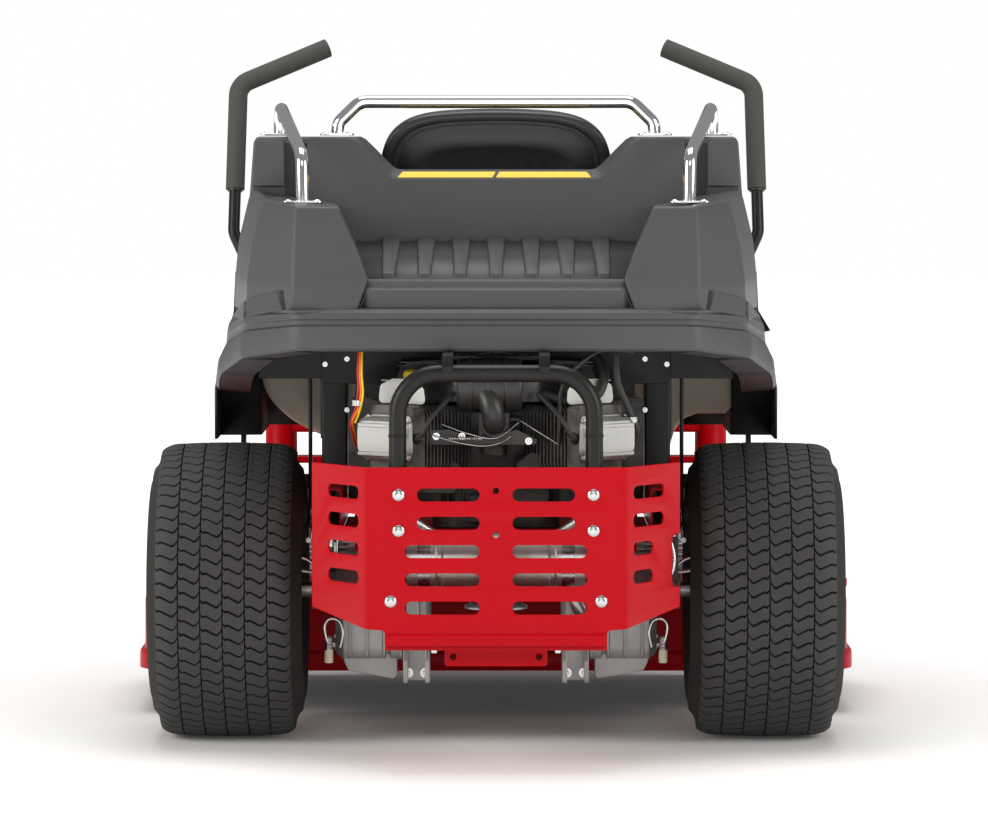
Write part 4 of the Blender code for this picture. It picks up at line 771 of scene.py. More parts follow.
def block_outline(lean):
    """One tread block in its cell: a bent band, as (across, along) shares of the column and row pitch."""
    lower = [(0.02, 0.4), (0.12, 0.16), (0.22, 0.01), (0.31, 0.02), (0.52, 0.2), (0.73, 0.38), (0.88, 0.31),
        (0.975, 0.5)]
    upper = [(x, y + 0.85) for x, y in lower]
    outline = lower + upper[::-1]
    return [(x if lean > 0 else 1 - x, y) for x, y in (outline if lean > 0 else outline[::-1])]


def rear_tread(side, centre):
    """All the tread blocks of one rear tyre, each a bent band following the crown."""
    sizes = bpy.context.scene.mower_sizes
    rows, columns = (sizes.tread_rows, sizes.tread_columns)
    half_tread = CROWN_FLAT + SHOULDER * 0.74
    width = 2 * half_tread / columns
    shape = block_outline(side)
    dice = random.Random(11)
    bm = bmesh.new()
    for column in range(columns):
        for row in range(rows):
            nudge = dice.uniform(-0.02, 0.02)
            feet, heads = ([], [])
            for x, y in shape:
                reach = -half_tread + (column + x) * width
                turn = math.tau * (row + y + nudge - 0.33 * column * side) / rows
                for store, lift in ((feet, -0.002), (heads, sizes.tread_depth * 0.97)):
                    across, radius = crown(reach, lift)
                    store.append(bm.verts.new(centre + Vector((across, -radius * math.cos(turn),
                        radius * math.sin(turn)))))
            count = len(shape)
            for k in range(count):
                n = (k + 1) % count
                bm.faces.new((feet[k], feet[n], heads[n], heads[k]))
            half = count // 2
            for k in range(half - 1):
                bm.faces.new((heads[k], heads[k + 1], heads[count - 2 - k], heads[count - 1 - k]))
    return bm


def carcass_profile():
    """The closed section of a rear tyre's body as (radius, across)."""
    steps = 12
    outer = []
    reach_end = CROWN_FLAT + SHOULDER * SHOULDER_TURN
    for k in range(-steps, steps + 1):
        across, radius = crown(reach_end * k / steps, 0.0)
        outer.append((radius, across))
    wall = [(0.187, 0.1135), (0.17, 0.116), (0.1685, 0.1176), (0.165, 0.1176), (0.1635, 0.1162),
        (0.148, 0.114), (0.13, 0.108), (0.122, 0.101), (0.117, 0.096), (0.116, 0.093), (0.11, 0.09),
        (0.105, 0.086)]
    right = wall
    left = [(r, -a) for r, a in wall[::-1]]
    inner = [(0.105, 0.07), (0.16, 0.09), (0.205, 0.07), (0.205, -0.07), (0.16, -0.09), (0.105, -0.07)]
    return outer + right + inner + left


def rear_rim_profile(side):
    """The pressed rim: rolled flanges, bead seats, drop centre and the dished disc, as (radius, across)."""
    skin = 0.003
    barrel = [(0.115, 0.0965), (0.1158, 0.0935), (0.112, 0.09), (0.103, 0.088), (0.101, 0.07), (0.09, 0.06),
        (0.087, 0.03), (0.087, -0.03), (0.09, -0.06), (0.101, -0.07), (0.103, -0.088), (0.112, -0.09),
        (0.1158, -0.0935), (0.115, -0.0965)]
    inside = [(0.1125, -0.095), (0.1105, -0.093), (0.1, -0.091), (0.098, -0.0725), (0.0868, -0.062)]
    disc = side * (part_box('right_axle_shaft')[1].x - 0.008 - REAR_X)
    lip = [(0.084, disc - 0.004), (0.07, disc - 0.001), (0.056, disc - 0.006), (0.0306, disc - 0.006)]
    back = [(0.0306, disc - 0.006 + skin), (0.056, disc - 0.006 + skin), (0.07, disc + skin),
        (0.084, disc + skin)]
    outside = [(0.0868, 0.062), (0.098, 0.0725), (0.1, 0.091), (0.1105, 0.093), (0.1125, 0.095)]
    if side < 0:
        lip = [(r, 2 * disc - a) for r, a in back[::-1]]
        back = [(0.0306, disc + 0.006), (0.056, disc + 0.006), (0.07, disc + 0.001), (0.084, disc + 0.004)]
        lip = [(r, a - skin) for r, a in back[::-1]]
    return barrel + inside + lip + back + outside


def build_rear_wheels():
    for side, word in SIDES:
        body = f'{word}_rear_wheel'
        centre = Vector((side * REAR_X, AXLE.y, AXLE.z))
        tread = merged(f'{word}_tread', rear_tread(side, centre), 'tyre_rubber', body, f'{word}_rear_tyre',
            crease=40)
        soften(tread, 0.0009, 2, 40)
        carcass = mesh_from(spun(carcass_profile(), 96, 'X', centre), 'carcass')
        # The carcass's near-black finish is painted shade down between the blocks.
        add_piece(f'{word}_carcass', carcass, 'carcass_rubber', body, crease=50)
        rim = mesh_from(spun(rear_rim_profile(side), 72, 'X', centre), 'rim')
        add_piece(f'{word}_rim', rim, 'rim_paint', body, f'{word}_rear_rim', crease=40)
        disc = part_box('right_axle_shaft')[1].x - 0.008
        spots = [((side * (disc + 0.004), AXLE.y + y, AXLE.z + z), (side, 0, 0)) for y,
            z in ringed(0.043, 5, 0.25)]
        bolts(f'{word}_wheel_nuts', spots, body, 0.0115)
        valve = spun([(0.0001, 0.0), (0.004, 0.0), (0.0035, 0.014), (0.0028, 0.016), (0.0028, 0.026),
            (0.0001, 0.026)], 12, 'X', centre + Vector((side * 0.064, 0.0, 0.091)), closed=False)
        add_piece(f'{word}_valve', mesh_from(valve, 'valve'), 'hose_rubber', body)
        section = [(0.001, 0.0), (0.0265, 0.0), (0.029, 0.003), (0.029, 0.012), (0.024, 0.022),
            (0.001, 0.025)]
        cap = spun([(r, side * d) for r, d in section], 36, 'X',
            Vector((side * (disc + 0.009), AXLE.y, AXLE.z)), closed=False)
        add_piece(f'{word}_hub_cap', mesh_from(cap, 'cap'), 'satin_plastic', body)
        low_x, high_x = sorted((side * 0.2625, side * (disc - 0.001)))
        bm = bmesh.new()
        add_drum(bm, (low_x, AXLE.y, AXLE.z), (high_x, AXLE.y, AXLE.z), 0.0125, 32)
        add_drum(bm, (side * 0.3, AXLE.y, AXLE.z), (side * 0.345, AXLE.y, AXLE.z), 0.022, 32, 0.03)
        add_drum(bm, (side * 0.345, AXLE.y, AXLE.z), (side * disc, AXLE.y, AXLE.z), 0.05, 40)
        add_drum(bm, (side * disc, AXLE.y, AXLE.z), (side * (disc + 0.012), AXLE.y, AXLE.z), 0.03, 32)
        merged(f'{word}_hub', bm, 'machined_steel', body, f'{word}_axle_shaft', edge=0.0012)


# casters


def caster_tyre_profile():
    """A small ribbed tyre as (radius, across)."""
    radius = CASTER.z
    outer = [(0.09, 0.05), (0.096, 0.054), (0.108, 0.059), (0.123, 0.06), (0.138, 0.056),
        (radius - 0.012, 0.048), (radius - 0.004, 0.041)]
    ribs = []
    for k in range(5):
        near, far = (0.038 - k * 0.0165, 0.038 - k * 0.0165 - 0.011)
        ribs += [(radius, near), (radius, far)]
        if k < 4:
            ribs += [(radius - 0.0035, far - 0.0012), (radius - 0.0035, far - 0.0043)]
    mirrored = [(r, -a) for r, a in outer[::-1]]
    inner = [(0.08, -0.045), (0.13, -0.045), (0.145, -0.03), (0.145, 0.03), (0.13, 0.045), (0.08, 0.045)]
    return outer + ribs + mirrored + inner


def caster_rim_profile():
    half = [(0.0102, 0.0705), (0.02, 0.0705), (0.021, 0.069), (0.021, 0.026), (0.028, 0.018), (0.042, 0.014),
        (0.056, 0.018), (0.066, 0.03), (0.0705, 0.044), (0.0725, 0.05), (0.085, 0.053), (0.089, 0.056),
        (0.09, 0.054), (0.088, 0.05), (0.0765, 0.047)]
    return half + [(r, -a) for r, a in half[::-1]]


def fork_leg(bm, x_inner, x_outer, axle, crown_low, pivot_y):
    """One flat leg of a caster fork, from the crown down to its rounded end round the axle."""
    foot = arc((axle.y, axle.z), 0.02, 200, 340, 8)
    outline = [Vector((pivot_y + 0.026, crown_low)), Vector((pivot_y - 0.026, crown_low))]
    outline += [Vector((pivot_y - 0.028, crown_low - 0.03))] + foot
    outline += [Vector((pivot_y + 0.026, crown_low - 0.04))]
    prism(bm, [(x_inner, *p) for p in outline], [(x_outer, *p) for p in outline])


def build_casters():
    for side, word in SIDES:
        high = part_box(f'{word}_caster_fork')[1]
        pivot_y = place(0, 1.2, 0).y
        x = side * abs(CASTER.x)
        axle = Vector((x, CASTER.y, CASTER.z))
        crown_top = 0.363
        body = f'{word}_caster'
        bm = bmesh.new()
        plan = rect(x - 0.078, pivot_y - 0.028, x + 0.078, pivot_y + 0.028, 0.01, 4)
        prism(bm, [(*p, crown_top - 0.012) for p in plan], [(*p, crown_top) for p in plan])
        for way in (-1, 1):
            fork_leg(bm, x + way * 0.072, x + way * 0.078, axle, crown_top - 0.002, pivot_y)
            add_drum(bm, (x + way * 0.0715, axle.y, axle.z), (x + way * 0.0795, axle.y, axle.z), 0.019, 28)
            gusset = [(x + way * out, crown_top - drop) for out,
                drop in ((0.071, 0.012), (0.05, 0.012), (0.071, 0.036))]
            prism(bm, *([(a, pivot_y + depth, z) for a, z in gusset] for depth in (-0.003, 0.003)))
        merged(f'{word}_fork', bm, 'powder_coat', body, f'{word}_caster_fork', edge=0.0016, segments=3)
        stem = bmesh.new()
        add_drum(stem, (x, pivot_y, crown_top - 0.001), (x, pivot_y, high.z - 0.012), 0.0125, 28)
        add_drum(stem, (x, pivot_y, crown_top), (x, pivot_y, crown_top + 0.002), 0.022, 28)
        bolt_half = 0.083
        add_drum(stem, (x - bolt_half, axle.y, axle.z), (x + bolt_half, axle.y, axle.z), 0.0095, 24)
        merged(f'{word}_stem', stem, 'machined_steel', body)
        cap = spun([(0.001, 0.0), (0.0225, 0.0), (0.023, 0.003), (0.0225, 0.008), (0.018, 0.013),
            (0.01, 0.015), (0.001, 0.0152)], 36, 'Z', Vector((x, pivot_y, high.z - 0.0155)), closed=False)
        add_piece(f'{word}_stem_cap', mesh_from(cap, 'cap'), 'satin_plastic', body)
        spots = [(Vector((x + way * 0.0795, axle.y, axle.z)), (way, 0, 0)) for way in (-1, 1)]
        bolts(f'{word}_axle_nuts', spots, body, 0.013)
        wheel = f'{word}_caster_wheel'
        tyre = mesh_from(spun(caster_tyre_profile(), 96, 'X', axle), 'tyre')
        add_piece(f'{word}_small_tyre', tyre, 'tyre_rubber', wheel, f'{word}_caster_tyre', crease=35)
        rim = mesh_from(spun(caster_rim_profile(), 64, 'X', axle), 'rim')
        add_piece(f'{word}_small_rim', rim, 'rim_paint', wheel, f'{word}_caster_rim', crease=40)
        spots = [(axle + Vector((way * 0.0152, *p)), (way, 0, 0)) for p in ringed(0.042, 4,
            0.5) for way in (-1, 1)]
        bolts(f'{word}_rim_bolts', spots, wheel, 0.008)


# frame


def square_tube(name, low, high, axis, corner, finish_name, body='chassis', node=None, wall=0.003):
    """A rectangular tube with rounded corners and open ends, lying along one axis."""
    others = [i for i in range(3) if i != axis]
    a, b = others
    outer = rect(low[a], low[b], high[a], high[b], corner, 5)
    inner = rect(low[a] + wall, low[b] + wall, high[a] - wall, high[b] - wall, corner * 0.5, 5)

    def ring(path, at):
        points = []
        for p in path:
            spot = [0.0, 0.0, 0.0]
            spot[axis], spot[a], spot[b] = (at, p.x, p.y)
            points.append(Vector(spot))
        return points
    rings = [ring(outer, low[axis]), ring(outer, high[axis]), ring(inner, high[axis]), ring(inner, low[axis])]
    bm = loft(rings, caps=(False, False), rings_closed=True)
    return add_piece(name, mesh_from(bm, name), finish_name, body, node)


def build_frame():
    for side, word in SIDES:
        low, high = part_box(f'{word}_frame_rail')
        square_tube(f'{word}_rail', low, high, 1, 0.007, 'powder_coat', node=f'{word}_frame_rail')
    beam_low, beam_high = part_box('front_axle_beam')
    half_depth = 0.025
    x = abs(CASTER.x)
    y = place(0, 1.2, 0).y
    beam_z = (RAIL_HIGH.z + 0.0003, RAIL_HIGH.z + 0.0503)
    square_tube('front_beam', (-x + 0.02, y - half_depth, beam_z[0]), (x - 0.02, y + half_depth, beam_z[1]),
        0, 0.007, 'powder_coat', node='front_axle_beam')
    for side, word in SIDES:
        ring = spun([(0.028, beam_low.z), (0.0295, beam_low.z + 0.004), (0.028, beam_low.z + 0.008),
            (0.028, beam_high.z - 0.008), (0.0295, beam_high.z - 0.004), (0.028, beam_high.z),
            (0.0132, beam_high.z), (0.0132, beam_low.z)], 40, 'Z', Vector((side * x, y, 0)))
        add_piece(f'{word}_spindle_tube', mesh_from(ring, 'tube'), 'powder_coat')
        plate = outline_mesh('gusset', [rounded([(side * (x - 0.03), 0.47), (side * (x - 0.03), 0.405),
            (side * (x - 0.085), 0.455)], 0.004, 3)], 0.006, facing('Y', 1.2), 0.0008)
        add_piece(f'{word}_beam_gusset', plate, 'powder_coat')
    build_uprights()


def build_uprights():
    """The black arch behind the seat: two legs, a cross plate with a pressed slot and its bolts."""
    low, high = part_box('rear_upright_frame')
    inner, outer = (0.2275, high.x)
    for side, word in SIDES:
        xs = sorted((side * inner, side * outer))
        post = (Vector((xs[0], place(0, -0.03, 0).y, low.z)),
            Vector((xs[1], place(0, 0.03, 0).y, high.z - 0.002)))
        square_tube(f'{word}_post', *post, 2, 0.004, 'frame_black',
            node='rear_upright_frame' if side < 0 else None)
    plate = outline_mesh('cross_plate', [rounded([(-outer, high.z), (-outer, 0.545), (-0.21, 0.545),
        (-0.19, 0.52), (0.19, 0.52), (0.21, 0.545), (outer, 0.545), (outer, high.z)], 0.006, 4),
        rect(-0.15, 0.545, 0.15, 0.585, 0.015, 6)], 0.005, facing('Y', -0.0328), 0.001)
    add_piece('cross_plate', plate, 'frame_black')
    shelf = outline_mesh('seat_shelf', [rounded([(-0.2, -0.03), (0.2, -0.03), (0.2, 0.03), (0.1, 0.03),
        (0.1, 0.17), (-0.1, 0.17), (-0.1, 0.03), (-0.2, 0.03)], 0.006, 4)], 0.004, facing('Z', 0.5697), 0.001)
    add_piece('seat_shelf', shelf, 'frame_black')
    spots = [(place(s * px, -0.0355, pz), (0, -1, 0)) for s in (-1, 1) for px,
        pz in ((0.2285, 0.583), (0.2285, 0.505), (0.262, 0.575))]
    bolts('upright_bolts', spots, 'chassis', 0.0038)
    stays = bmesh.new()
    for side in (-1, 1):
        stay = [(side * 0.2672, 0.553), (side * 0.364, 0.553), (side * 0.364, 0.57), (side * 0.33, 0.602),
            (side * 0.2672, 0.602)]
        add_slab(stays, stay, facing('Y', -0.028), 0.004)
    merged('arch_stays', stays, 'frame_black', edge=0.001)
    plan = [(-0.227, 0.345), (0.227, 0.345), (0.227, 0.525), (-0.227, 0.525)]
    plate = outline_mesh('bay', [rounded(plan, 0.012, 4)], 0.003, facing('Y', -0.029), 0.0008)
    add_piece('bay_plate', plate, 'dark_casting')


# engine guard
GUARD_SHEET = 0.003
GUARD_HALF = 0.1885


def slot_path(x, z, half_length, half_height, steps=8):
    right = arc((x + half_length - half_height, z), half_height, -90, 90, steps)
    left = arc((x - half_length + half_height, z), half_height, 90, 270, steps)
    return right + left


def guard_plan():
    """The guard's sheet seen from above, inner face first, with rounded bends."""
    low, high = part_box('engine_guard')
    back = low.y - AXLE.y
    wing_x, wing_back, wing_front = (high.x, -0.37, high.y - AXLE.y)
    corners = [(-wing_x, wing_front), (-wing_x, wing_back), (-GUARD_HALF, back), (GUARD_HALF, back),
        (wing_x, wing_back), (wing_x, wing_front)]
    return rounded(corners, [0, 0.008, 0.01, 0.01, 0.008, 0], 5, closed=False)


def flat_guard():
    """The guard's outlines on its flat sheet, measured along the bend line: edge first, then the holes."""
    low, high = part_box('engine_guard')
    back, wing_x = (low.y - AXLE.y, high.x)
    wing = math.hypot(wing_x - GUARD_HALF, -0.37 - back)
    side_run = high.y - AXLE.y + 0.37
    reach = GUARD_HALF + wing + side_run
    lip_half = 0.161
    top, bottom = (high.z, low.z + 0.002)
    notch = GUARD_HALF + wing - 0.0235
    right = [(lip_half, bottom), (lip_half, 0.2085), (GUARD_HALF - 0.002, 0.21), (GUARD_HALF + wing, 0.232),
        (reach, 0.232), (reach, 0.262), (notch, 0.262), (notch, 0.34), (reach, 0.34), (reach, top)]
    left = [(-x, z) for x, z in right if x != notch][::-1]
    left = [p for p in left if not (p[0] == -reach and p[1] in (0.262, 0.34))]
    radii = [0, 0.006, 0.004, 0.003, 0.003, 0.003, 0.01, 0.01, 0.003, 0.004]
    radii += [0.004, 0.003, 0.003, 0.004, 0.006, 0][:len(left)]
    edge = rounded(right + left, radii + [0.0] * (len(right + left) - len(radii)), 5)
    holes = []
    for row in range(5):
        z = 0.405 - row * 0.041
        outer = 0.1143 if row < 2 else 0.1317
        for side in (-1, 1):
            holes.append(slot_path(side * (0.0236 + outer) / 2, z, (outer - 0.0236) / 2, 0.0094))
    for row in range(4):
        z = 0.405 - row * 0.041
        for side in (-1, 1):
            short = side > 0 and row > 1
            length = 0.028 if short else 0.044
            holes.append(slot_path(side * (GUARD_HALF + 0.02 + length), z + 0.002, length, 0.0094))
    for z in (0.411, 0.347):
        holes.append(arc((0, z), 0.0045, 0, 345, 23))
    return [edge] + holes


def bend_onto(plan, offset):
    """Maps (distance along the sheet, height, depth) onto the bent sheet."""
    plan = [Vector(p) for p in plan]
    lengths = [0.0]
    for a, b in zip(plan, plan[1:]):
        lengths.append(lengths[-1] + (b - a).length)
    half = lengths[-1] / 2

    def mapping(p):
        run = min(max(p.x + half, 0.0), lengths[-1])
        k = next((i for i in range(len(plan) - 1) if run <= lengths[i + 1] + 1e-09))
        share = (run - lengths[k]) / (lengths[k + 1] - lengths[k])
        way = (plan[k + 1] - plan[k]).normalized()
        spot = plan[k].lerp(plan[k + 1], share) + Vector((-way.y, way.x)) * (p.z + offset)
        return place(spot.x, spot.y, p.y)
    return mapping


def gridded(mesh, cuts):
    """Cuts a flat mesh along lines of constant x so that it can be bent there."""
    bm = bmesh.new()
    bm.from_mesh(mesh)
    for x in cuts:
        bmesh.ops.bisect_plane(bm, geom=bm.verts[:] + bm.edges[:] + bm.faces[:], plane_co=(x, 0, 0),
            plane_no=(1, 0, 0), dist=1e-07)
    bm.to_mesh(mesh)
    bm.free()
    return mesh


def build_guard():
    plan = guard_plan()
    lengths, total = ([], 0.0)
    for a, b in zip(plan, plan[1:]):
        lengths.append(total)
        total += (Vector(b) - Vector(a)).length
    mesh = outline_mesh('guard', flat_guard(), GUARD_SHEET, Vector, 0.0009, 2)
    gridded(mesh, [length - total / 2 for length in lengths[1:]])
    mapping = bend_onto(plan, GUARD_SHEET / 2)
    for vertex in mesh.vertices:
        vertex.co = mapping(vertex.co)
    add_piece('guard', mesh, 'powder_coat', node='engine_guard', crease=25)
    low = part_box('engine_guard')[0]
    back = low.y - AXLE.y
    lip = [(back + 0.0002, low.z + 0.02), (back + 0.0002, low.z + 0.012), (back + 0.003, low.z + 0.0085),
        (back + 0.0008, low.z + 0.0055), (back + 0.004, low.z + 0.0012), (back + 0.012, low.z + 0.0004),
        (back + 0.045, low.z + 0.0004)]
    rings = [[place(x, u, z) for u, z in lip] for x in (-0.16, -0.158, 0.158, 0.16)]
    hem = add_piece('guard_hem', mesh_from(loft(rings, (False, False), ring_closed=False), 'hem'),
        'powder_coat', crease=20)
    thicken(hem, 0.0018, 0.0)
    heads = [(x * s, z) for s in (-1, 1) for x, z in ((0.141, 0.405), (0.141, 0.353), (0.1525, 0.2506))]
    bolts('guard_bolts', [(place(x, back, z), (0, -1, 0)) for x, z in heads], 'chassis', 0.0104, dome=True,
        washer=False)
    build_hoop(back)
    build_cradle()


def build_hoop(back):
    """The black hoop behind the guard, with its weld collars and the straps that steady the cowl."""
    radius = bpy.context.scene.mower_sizes.hoop_radius
    low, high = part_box('guard_hoop')
    ahead = back + GUARD_SHEET + 0.0005 + radius
    half, top = (0.1425, 0.58)
    corners = [(-half, low.z), (-half, top), (half, top), (half, low.z)]
    path = [place(p.x, ahead, p.y) for p in rounded(corners, 0.06, 12, closed=False)]
    tube('hoop', path, radius, 'frame_black', node='guard_hoop', roundness=8)
    for side, word in SIDES:
        ring = spun([(radius, -0.0022), (radius + 0.001, -0.001), (radius + 0.001, 0.001), (radius, 0.0022)],
            32, 'Z', place(side * half, ahead, 0.49))
        add_piece(f'{word}_hoop_collar', mesh_from(ring, 'collar'), 'frame_black')
        xs = (side * 0.062, side * 0.078)
        outline = [(ahead - 0.0145, top - 0.004), (ahead - 0.0145, top + 0.01), (ahead - 0.004, high.z),
            (-0.365, high.z), (-0.365, high.z - 0.004), (ahead, high.z - 0.005), (ahead - 0.01, top + 0.004)]
        strap = outline_mesh('strap', [rounded(outline, 0.0015, 2)], abs(xs[1] - xs[0]),
            facing('X', (xs[0] + xs[1]) / 2), 0.0008, 2)
        add_piece(f'{word}_hoop_strap', strap, 'frame_black')


def build_cradle():
    """The bracket under the engine: a floor plate, two arms, and the towing tab with its two holes."""
    low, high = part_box('rear_cradle')
    floor = high.x - 0.009
    bm = bmesh.new()
    add_block(bm, place(-floor, -0.489, 0.1782), place(floor, -0.36, 0.184))
    for side in (-1, 1):
        xs = sorted((side * floor, side * (floor - 0.005)))
        outline = [(-0.46, 0.18), (-0.36, 0.18), (-0.25, 0.3), (-0.25, high.z), (-0.365, high.z),
            (-0.46, 0.3)]
        prism(bm, *([place(x, u, z) for u, z in outline] for x in xs))
    merged('cradle', bm, 'powder_coat', node='rear_cradle', edge=0.0012)
    tab = outline_mesh('tab', [rect(-0.075, low.z, 0.075, 0.181, 0.005, 4),
        arc((-0.0625, 0.166), 0.005, 0, 342, 19), arc((0.0625, 0.166), 0.005, 0, 342, 19)], 0.006,
        facing('Y', -0.452), 0.0008, 2)
    add_piece('towing_tab', tab, 'powder_coat')
    spots = [(place(s * 0.09, -0.46, 0.1782), (0, 0, -1)) for s in (-1, 1)]
    spots += [(place(s * (floor + 0.0005), -0.3, 0.318), (s, 0, 0)) for s in (-1, 1)]
    bolts('cradle_bolts', spots, 'chassis', 0.008)


# cowl


def cowl_piece(name, bm, wall=0.004, edge=0.004, segments=4, node=None):
    """A moulding of the cowl: skinned, its edges rounded, then given its wall."""
    # The wall's inner face takes the near-black painted shade.
    piece = add_piece(name, mesh_from(bm, name), 'cowl_moulding', node=node, crease=40, inside='cowl_inside')
    if edge:
        soften(piece, edge, segments, 22)
    return thicken(piece, wall, -1.0, 1) if wall else piece


def pod_levels():
    """The right pod's outline at each height, as (x, ahead, z) from its inner front round the rear."""
    return [[(0.199, 0.22, 0.664), (0.196, -0.07, 0.664), (0.204, -0.378, 0.664), (0.299, -0.38, 0.664),
        (0.372, -0.29, 0.664), (0.3995, -0.05, 0.664), (0.4, 0.22, 0.664)],
        [(0.2, 0.22, 0.713), (0.1985, -0.07, 0.713), (0.188, -0.354, 0.713), (0.298, -0.365, 0.713),
        (0.369, -0.285, 0.713), (0.398, -0.05, 0.713), (0.3985, 0.22, 0.713)],
        [(0.214, 0.22, 0.762), (0.214, -0.07, 0.762), (0.2045, -0.345, 0.758), (0.297, -0.352, 0.76),
        (0.362, -0.279, 0.762), (0.393, -0.05, 0.765), (0.394, 0.22, 0.765)],
        [(0.235, 0.22, 0.812), (0.235, -0.07, 0.808), (0.227, -0.337, 0.805), (0.296, -0.338, 0.805),
        (0.349, -0.271, 0.814), (0.378, -0.05, 0.828), (0.379, 0.22, 0.828)],
        [(0.241, 0.22, 0.824), (0.241, -0.07, 0.821), (0.231, -0.331, 0.8195), (0.296, -0.332, 0.8195),
        (0.343, -0.266, 0.828), (0.371, -0.05, 0.846), (0.372, 0.22, 0.846)]]


def build_pods():
    for side, word in SIDES:
        rings = [[place(side * x, u, z) for x, u, z in level] for level in pod_levels()]
        bm = loft(rings, caps=(False, True), ring_closed=False)
        cowl_piece(f'{word}_pod', bm, edge=0.0042, node='rear_cowl' if side < 0 else None)
        build_pod_panels(side, word)


def quad_panel(name, corners, proud, finish_name='cowl_moulding', edge=0.003):
    """A raised panel over four or more corners on one face, proud of it by a little."""
    corners = [Vector(c) for c in corners]
    normal = (corners[1] - corners[0]).cross(corners[-1] - corners[0]).normalized()
    centre = sum(corners, Vector()) / len(corners)
    if (centre - Vector((0, AXLE.y + 0.1, 0.5))).dot(normal) < 0:
        normal = -normal
    rings = [[c - normal * 0.003 for c in corners], [c + normal * proud for c in corners]]
    piece = add_piece(name, mesh_from(loft(rings), name), finish_name, crease=35)
    return soften(piece, edge, 3)


def build_pod_panels(side, word):
    """The stepped corner panel low on each pod's rear chamfer, and the parting strip along its outer side."""

    def spot(x, u, z):
        return place(side * x, u, z)
    corners = [spot(0.312, -0.364, 0.668), spot(0.369, -0.2925, 0.656), spot(0.368, -0.29, 0.68),
        spot(0.359, -0.299, 0.686), spot(0.3215, -0.342, 0.696)]
    quad_panel(f'{word}_corner_step', corners, 0.003, edge=0.002)
    side_step = [spot(0.373, -0.286, 0.652), spot(0.4015, -0.05, 0.635), spot(0.401, -0.05, 0.65),
        spot(0.3715, -0.286, 0.679)]
    quad_panel(f'{word}_side_step', side_step, 0.003, edge=0.002)
    # Not a groove but a thin near-black strip: painted shade along the corner panel's edge.
    step_shade = [spot(0.308, -0.368, 0.668), spot(0.3135, -0.361, 0.668), spot(0.3195, -0.3465, 0.6965),
        spot(0.314, -0.353, 0.6965)]
    quad_panel(f'{word}_step_groove', step_shade, 0.0004, finish_name='cowl_inside', edge=0.0002)


def swept_skirt(name, stations, profile_at, **how):
    """A strip swept round the cowl's plan. stations holds (x, ahead, outward way, share of the run)."""
    rings = []
    for x, u, way, share in stations:
        rings.append([place(x + way.x * out, u + way.y * out, z) for out, z in profile_at(share)])
    bm = loft(rings, caps=(False, False), ring_closed=False)
    return cowl_piece(name, bm, **how)


def skirt_stations():
    """Points round the bumper's plan from the left front to the right front, with their outward ways."""
    half = [(0.295, -0.385), (0.375, -0.29), (0.4085, -0.08), (0.4235, 0.172)]
    corners = [(-x, u) for x, u in half[::-1]] + half
    path = rounded(corners, [0, 0.05, 0.05, 0.035, 0.035, 0.05, 0.05, 0], 6, closed=False)
    path = [p for a, b in zip(path, path[1:]) for p in (a.lerp(b, k / 4) for k in range(4))] + [path[-1]]
    stations = []
    for i, p in enumerate(path):
        before, after = (path[max(i - 1, 0)], path[min(i + 1, len(path) - 1)])
        along = (after - before).normalized()
        stations.append((p.x, p.y, Vector((along.y, -along.x)), max(0.0, (p.y + 0.383) / 0.383)))
    return stations


def build_skirt():
    """The bumper band across the back. Along the sides it drops and flares out into the wheel arches."""
    back = [(-0.006, 0.6095), (-0.003, 0.6085), (0.0, 0.612), (0.0015, 0.628), (0.0, 0.6445),
        (-0.0045, 0.647), (-0.0045, 0.653), (-0.0015, 0.656), (-0.002, 0.664), (-0.007, 0.669),
        (-0.026, 0.672)]
    side = [(0.006, 0.552), (0.0125, 0.551), (0.0175, 0.556), (0.0145, 0.58), (0.003, 0.6), (-0.0005, 0.604),
        (-0.0005, 0.612), (0.0008, 0.616), (-0.001, 0.632), (-0.006, 0.6415), (-0.026, 0.644)]

    def bumper(share):
        return [(a + (c - a) * min(share, 1.0), b + (d - b) * share) for (a, b), (c, d) in zip(back, side)]
    swept_skirt('skirt', skirt_stations(), bumper, wall=0.0035, edge=0.0016, segments=3)
    rings = []
    for x, u, way, share in skirt_stations():
        flare, low = (0.0125 * min(share, 1.0), 0.6085 - 0.0575 * share)
        rings.append([place(x + way.x * (flare + out), u + way.y * (flare + out), low + up) for out,
            up in ((-0.003, 0.0), (-0.05, -0.0025), (-0.05, 0.0005), (-0.003, 0.003))])
    cowl_piece('arch_flange', loft(rings), wall=0, edge=0)
    middle_half = 0.192
    profile = [(-0.379, 0.656), (-0.366, 0.66), (-0.3615, 0.664), (-0.36, 0.696), (-0.357, 0.699),
        (-0.3515, 0.7), (-0.35, 0.7025), (-0.349, 0.708), (-0.3455, 0.7122), (-0.34, 0.713), (-0.334, 0.7128)]
    xs = [-middle_half - 0.014, -middle_half, -middle_half + 0.008, middle_half - 0.008, middle_half,
        middle_half + 0.014]
    backs = [0.01, 0.003, 0.0, 0.0, 0.003, 0.01]
    rings = [[place(x, u + back, z) for u, z in profile] for x, back in zip(xs, backs)]
    bm = loft(rings, caps=(False, False), ring_closed=False)
    cowl_piece('rear_lip', bm, wall=0.0035, edge=0.0018, segments=3)
    for side, word in SIDES:
        ledge = [(0.184, -0.356, 0.699), (0.19, -0.356, 0.696), (0.201, -0.368, 0.669),
            (0.296, -0.386, 0.668), (0.306, -0.379, 0.668)]
        rings = [[place(side * x, u - 0.0015, z - 0.0035), place(side * x, u - 0.0025, z),
            place(side * x, u + 0.0135, z + 0.0015)] for x, u, z in ledge]
        bm = loft(rings, caps=(False, False), ring_closed=False)
        cowl_piece(f'{word}_pod_ledge', bm, wall=0, edge=0.0006, segments=2)


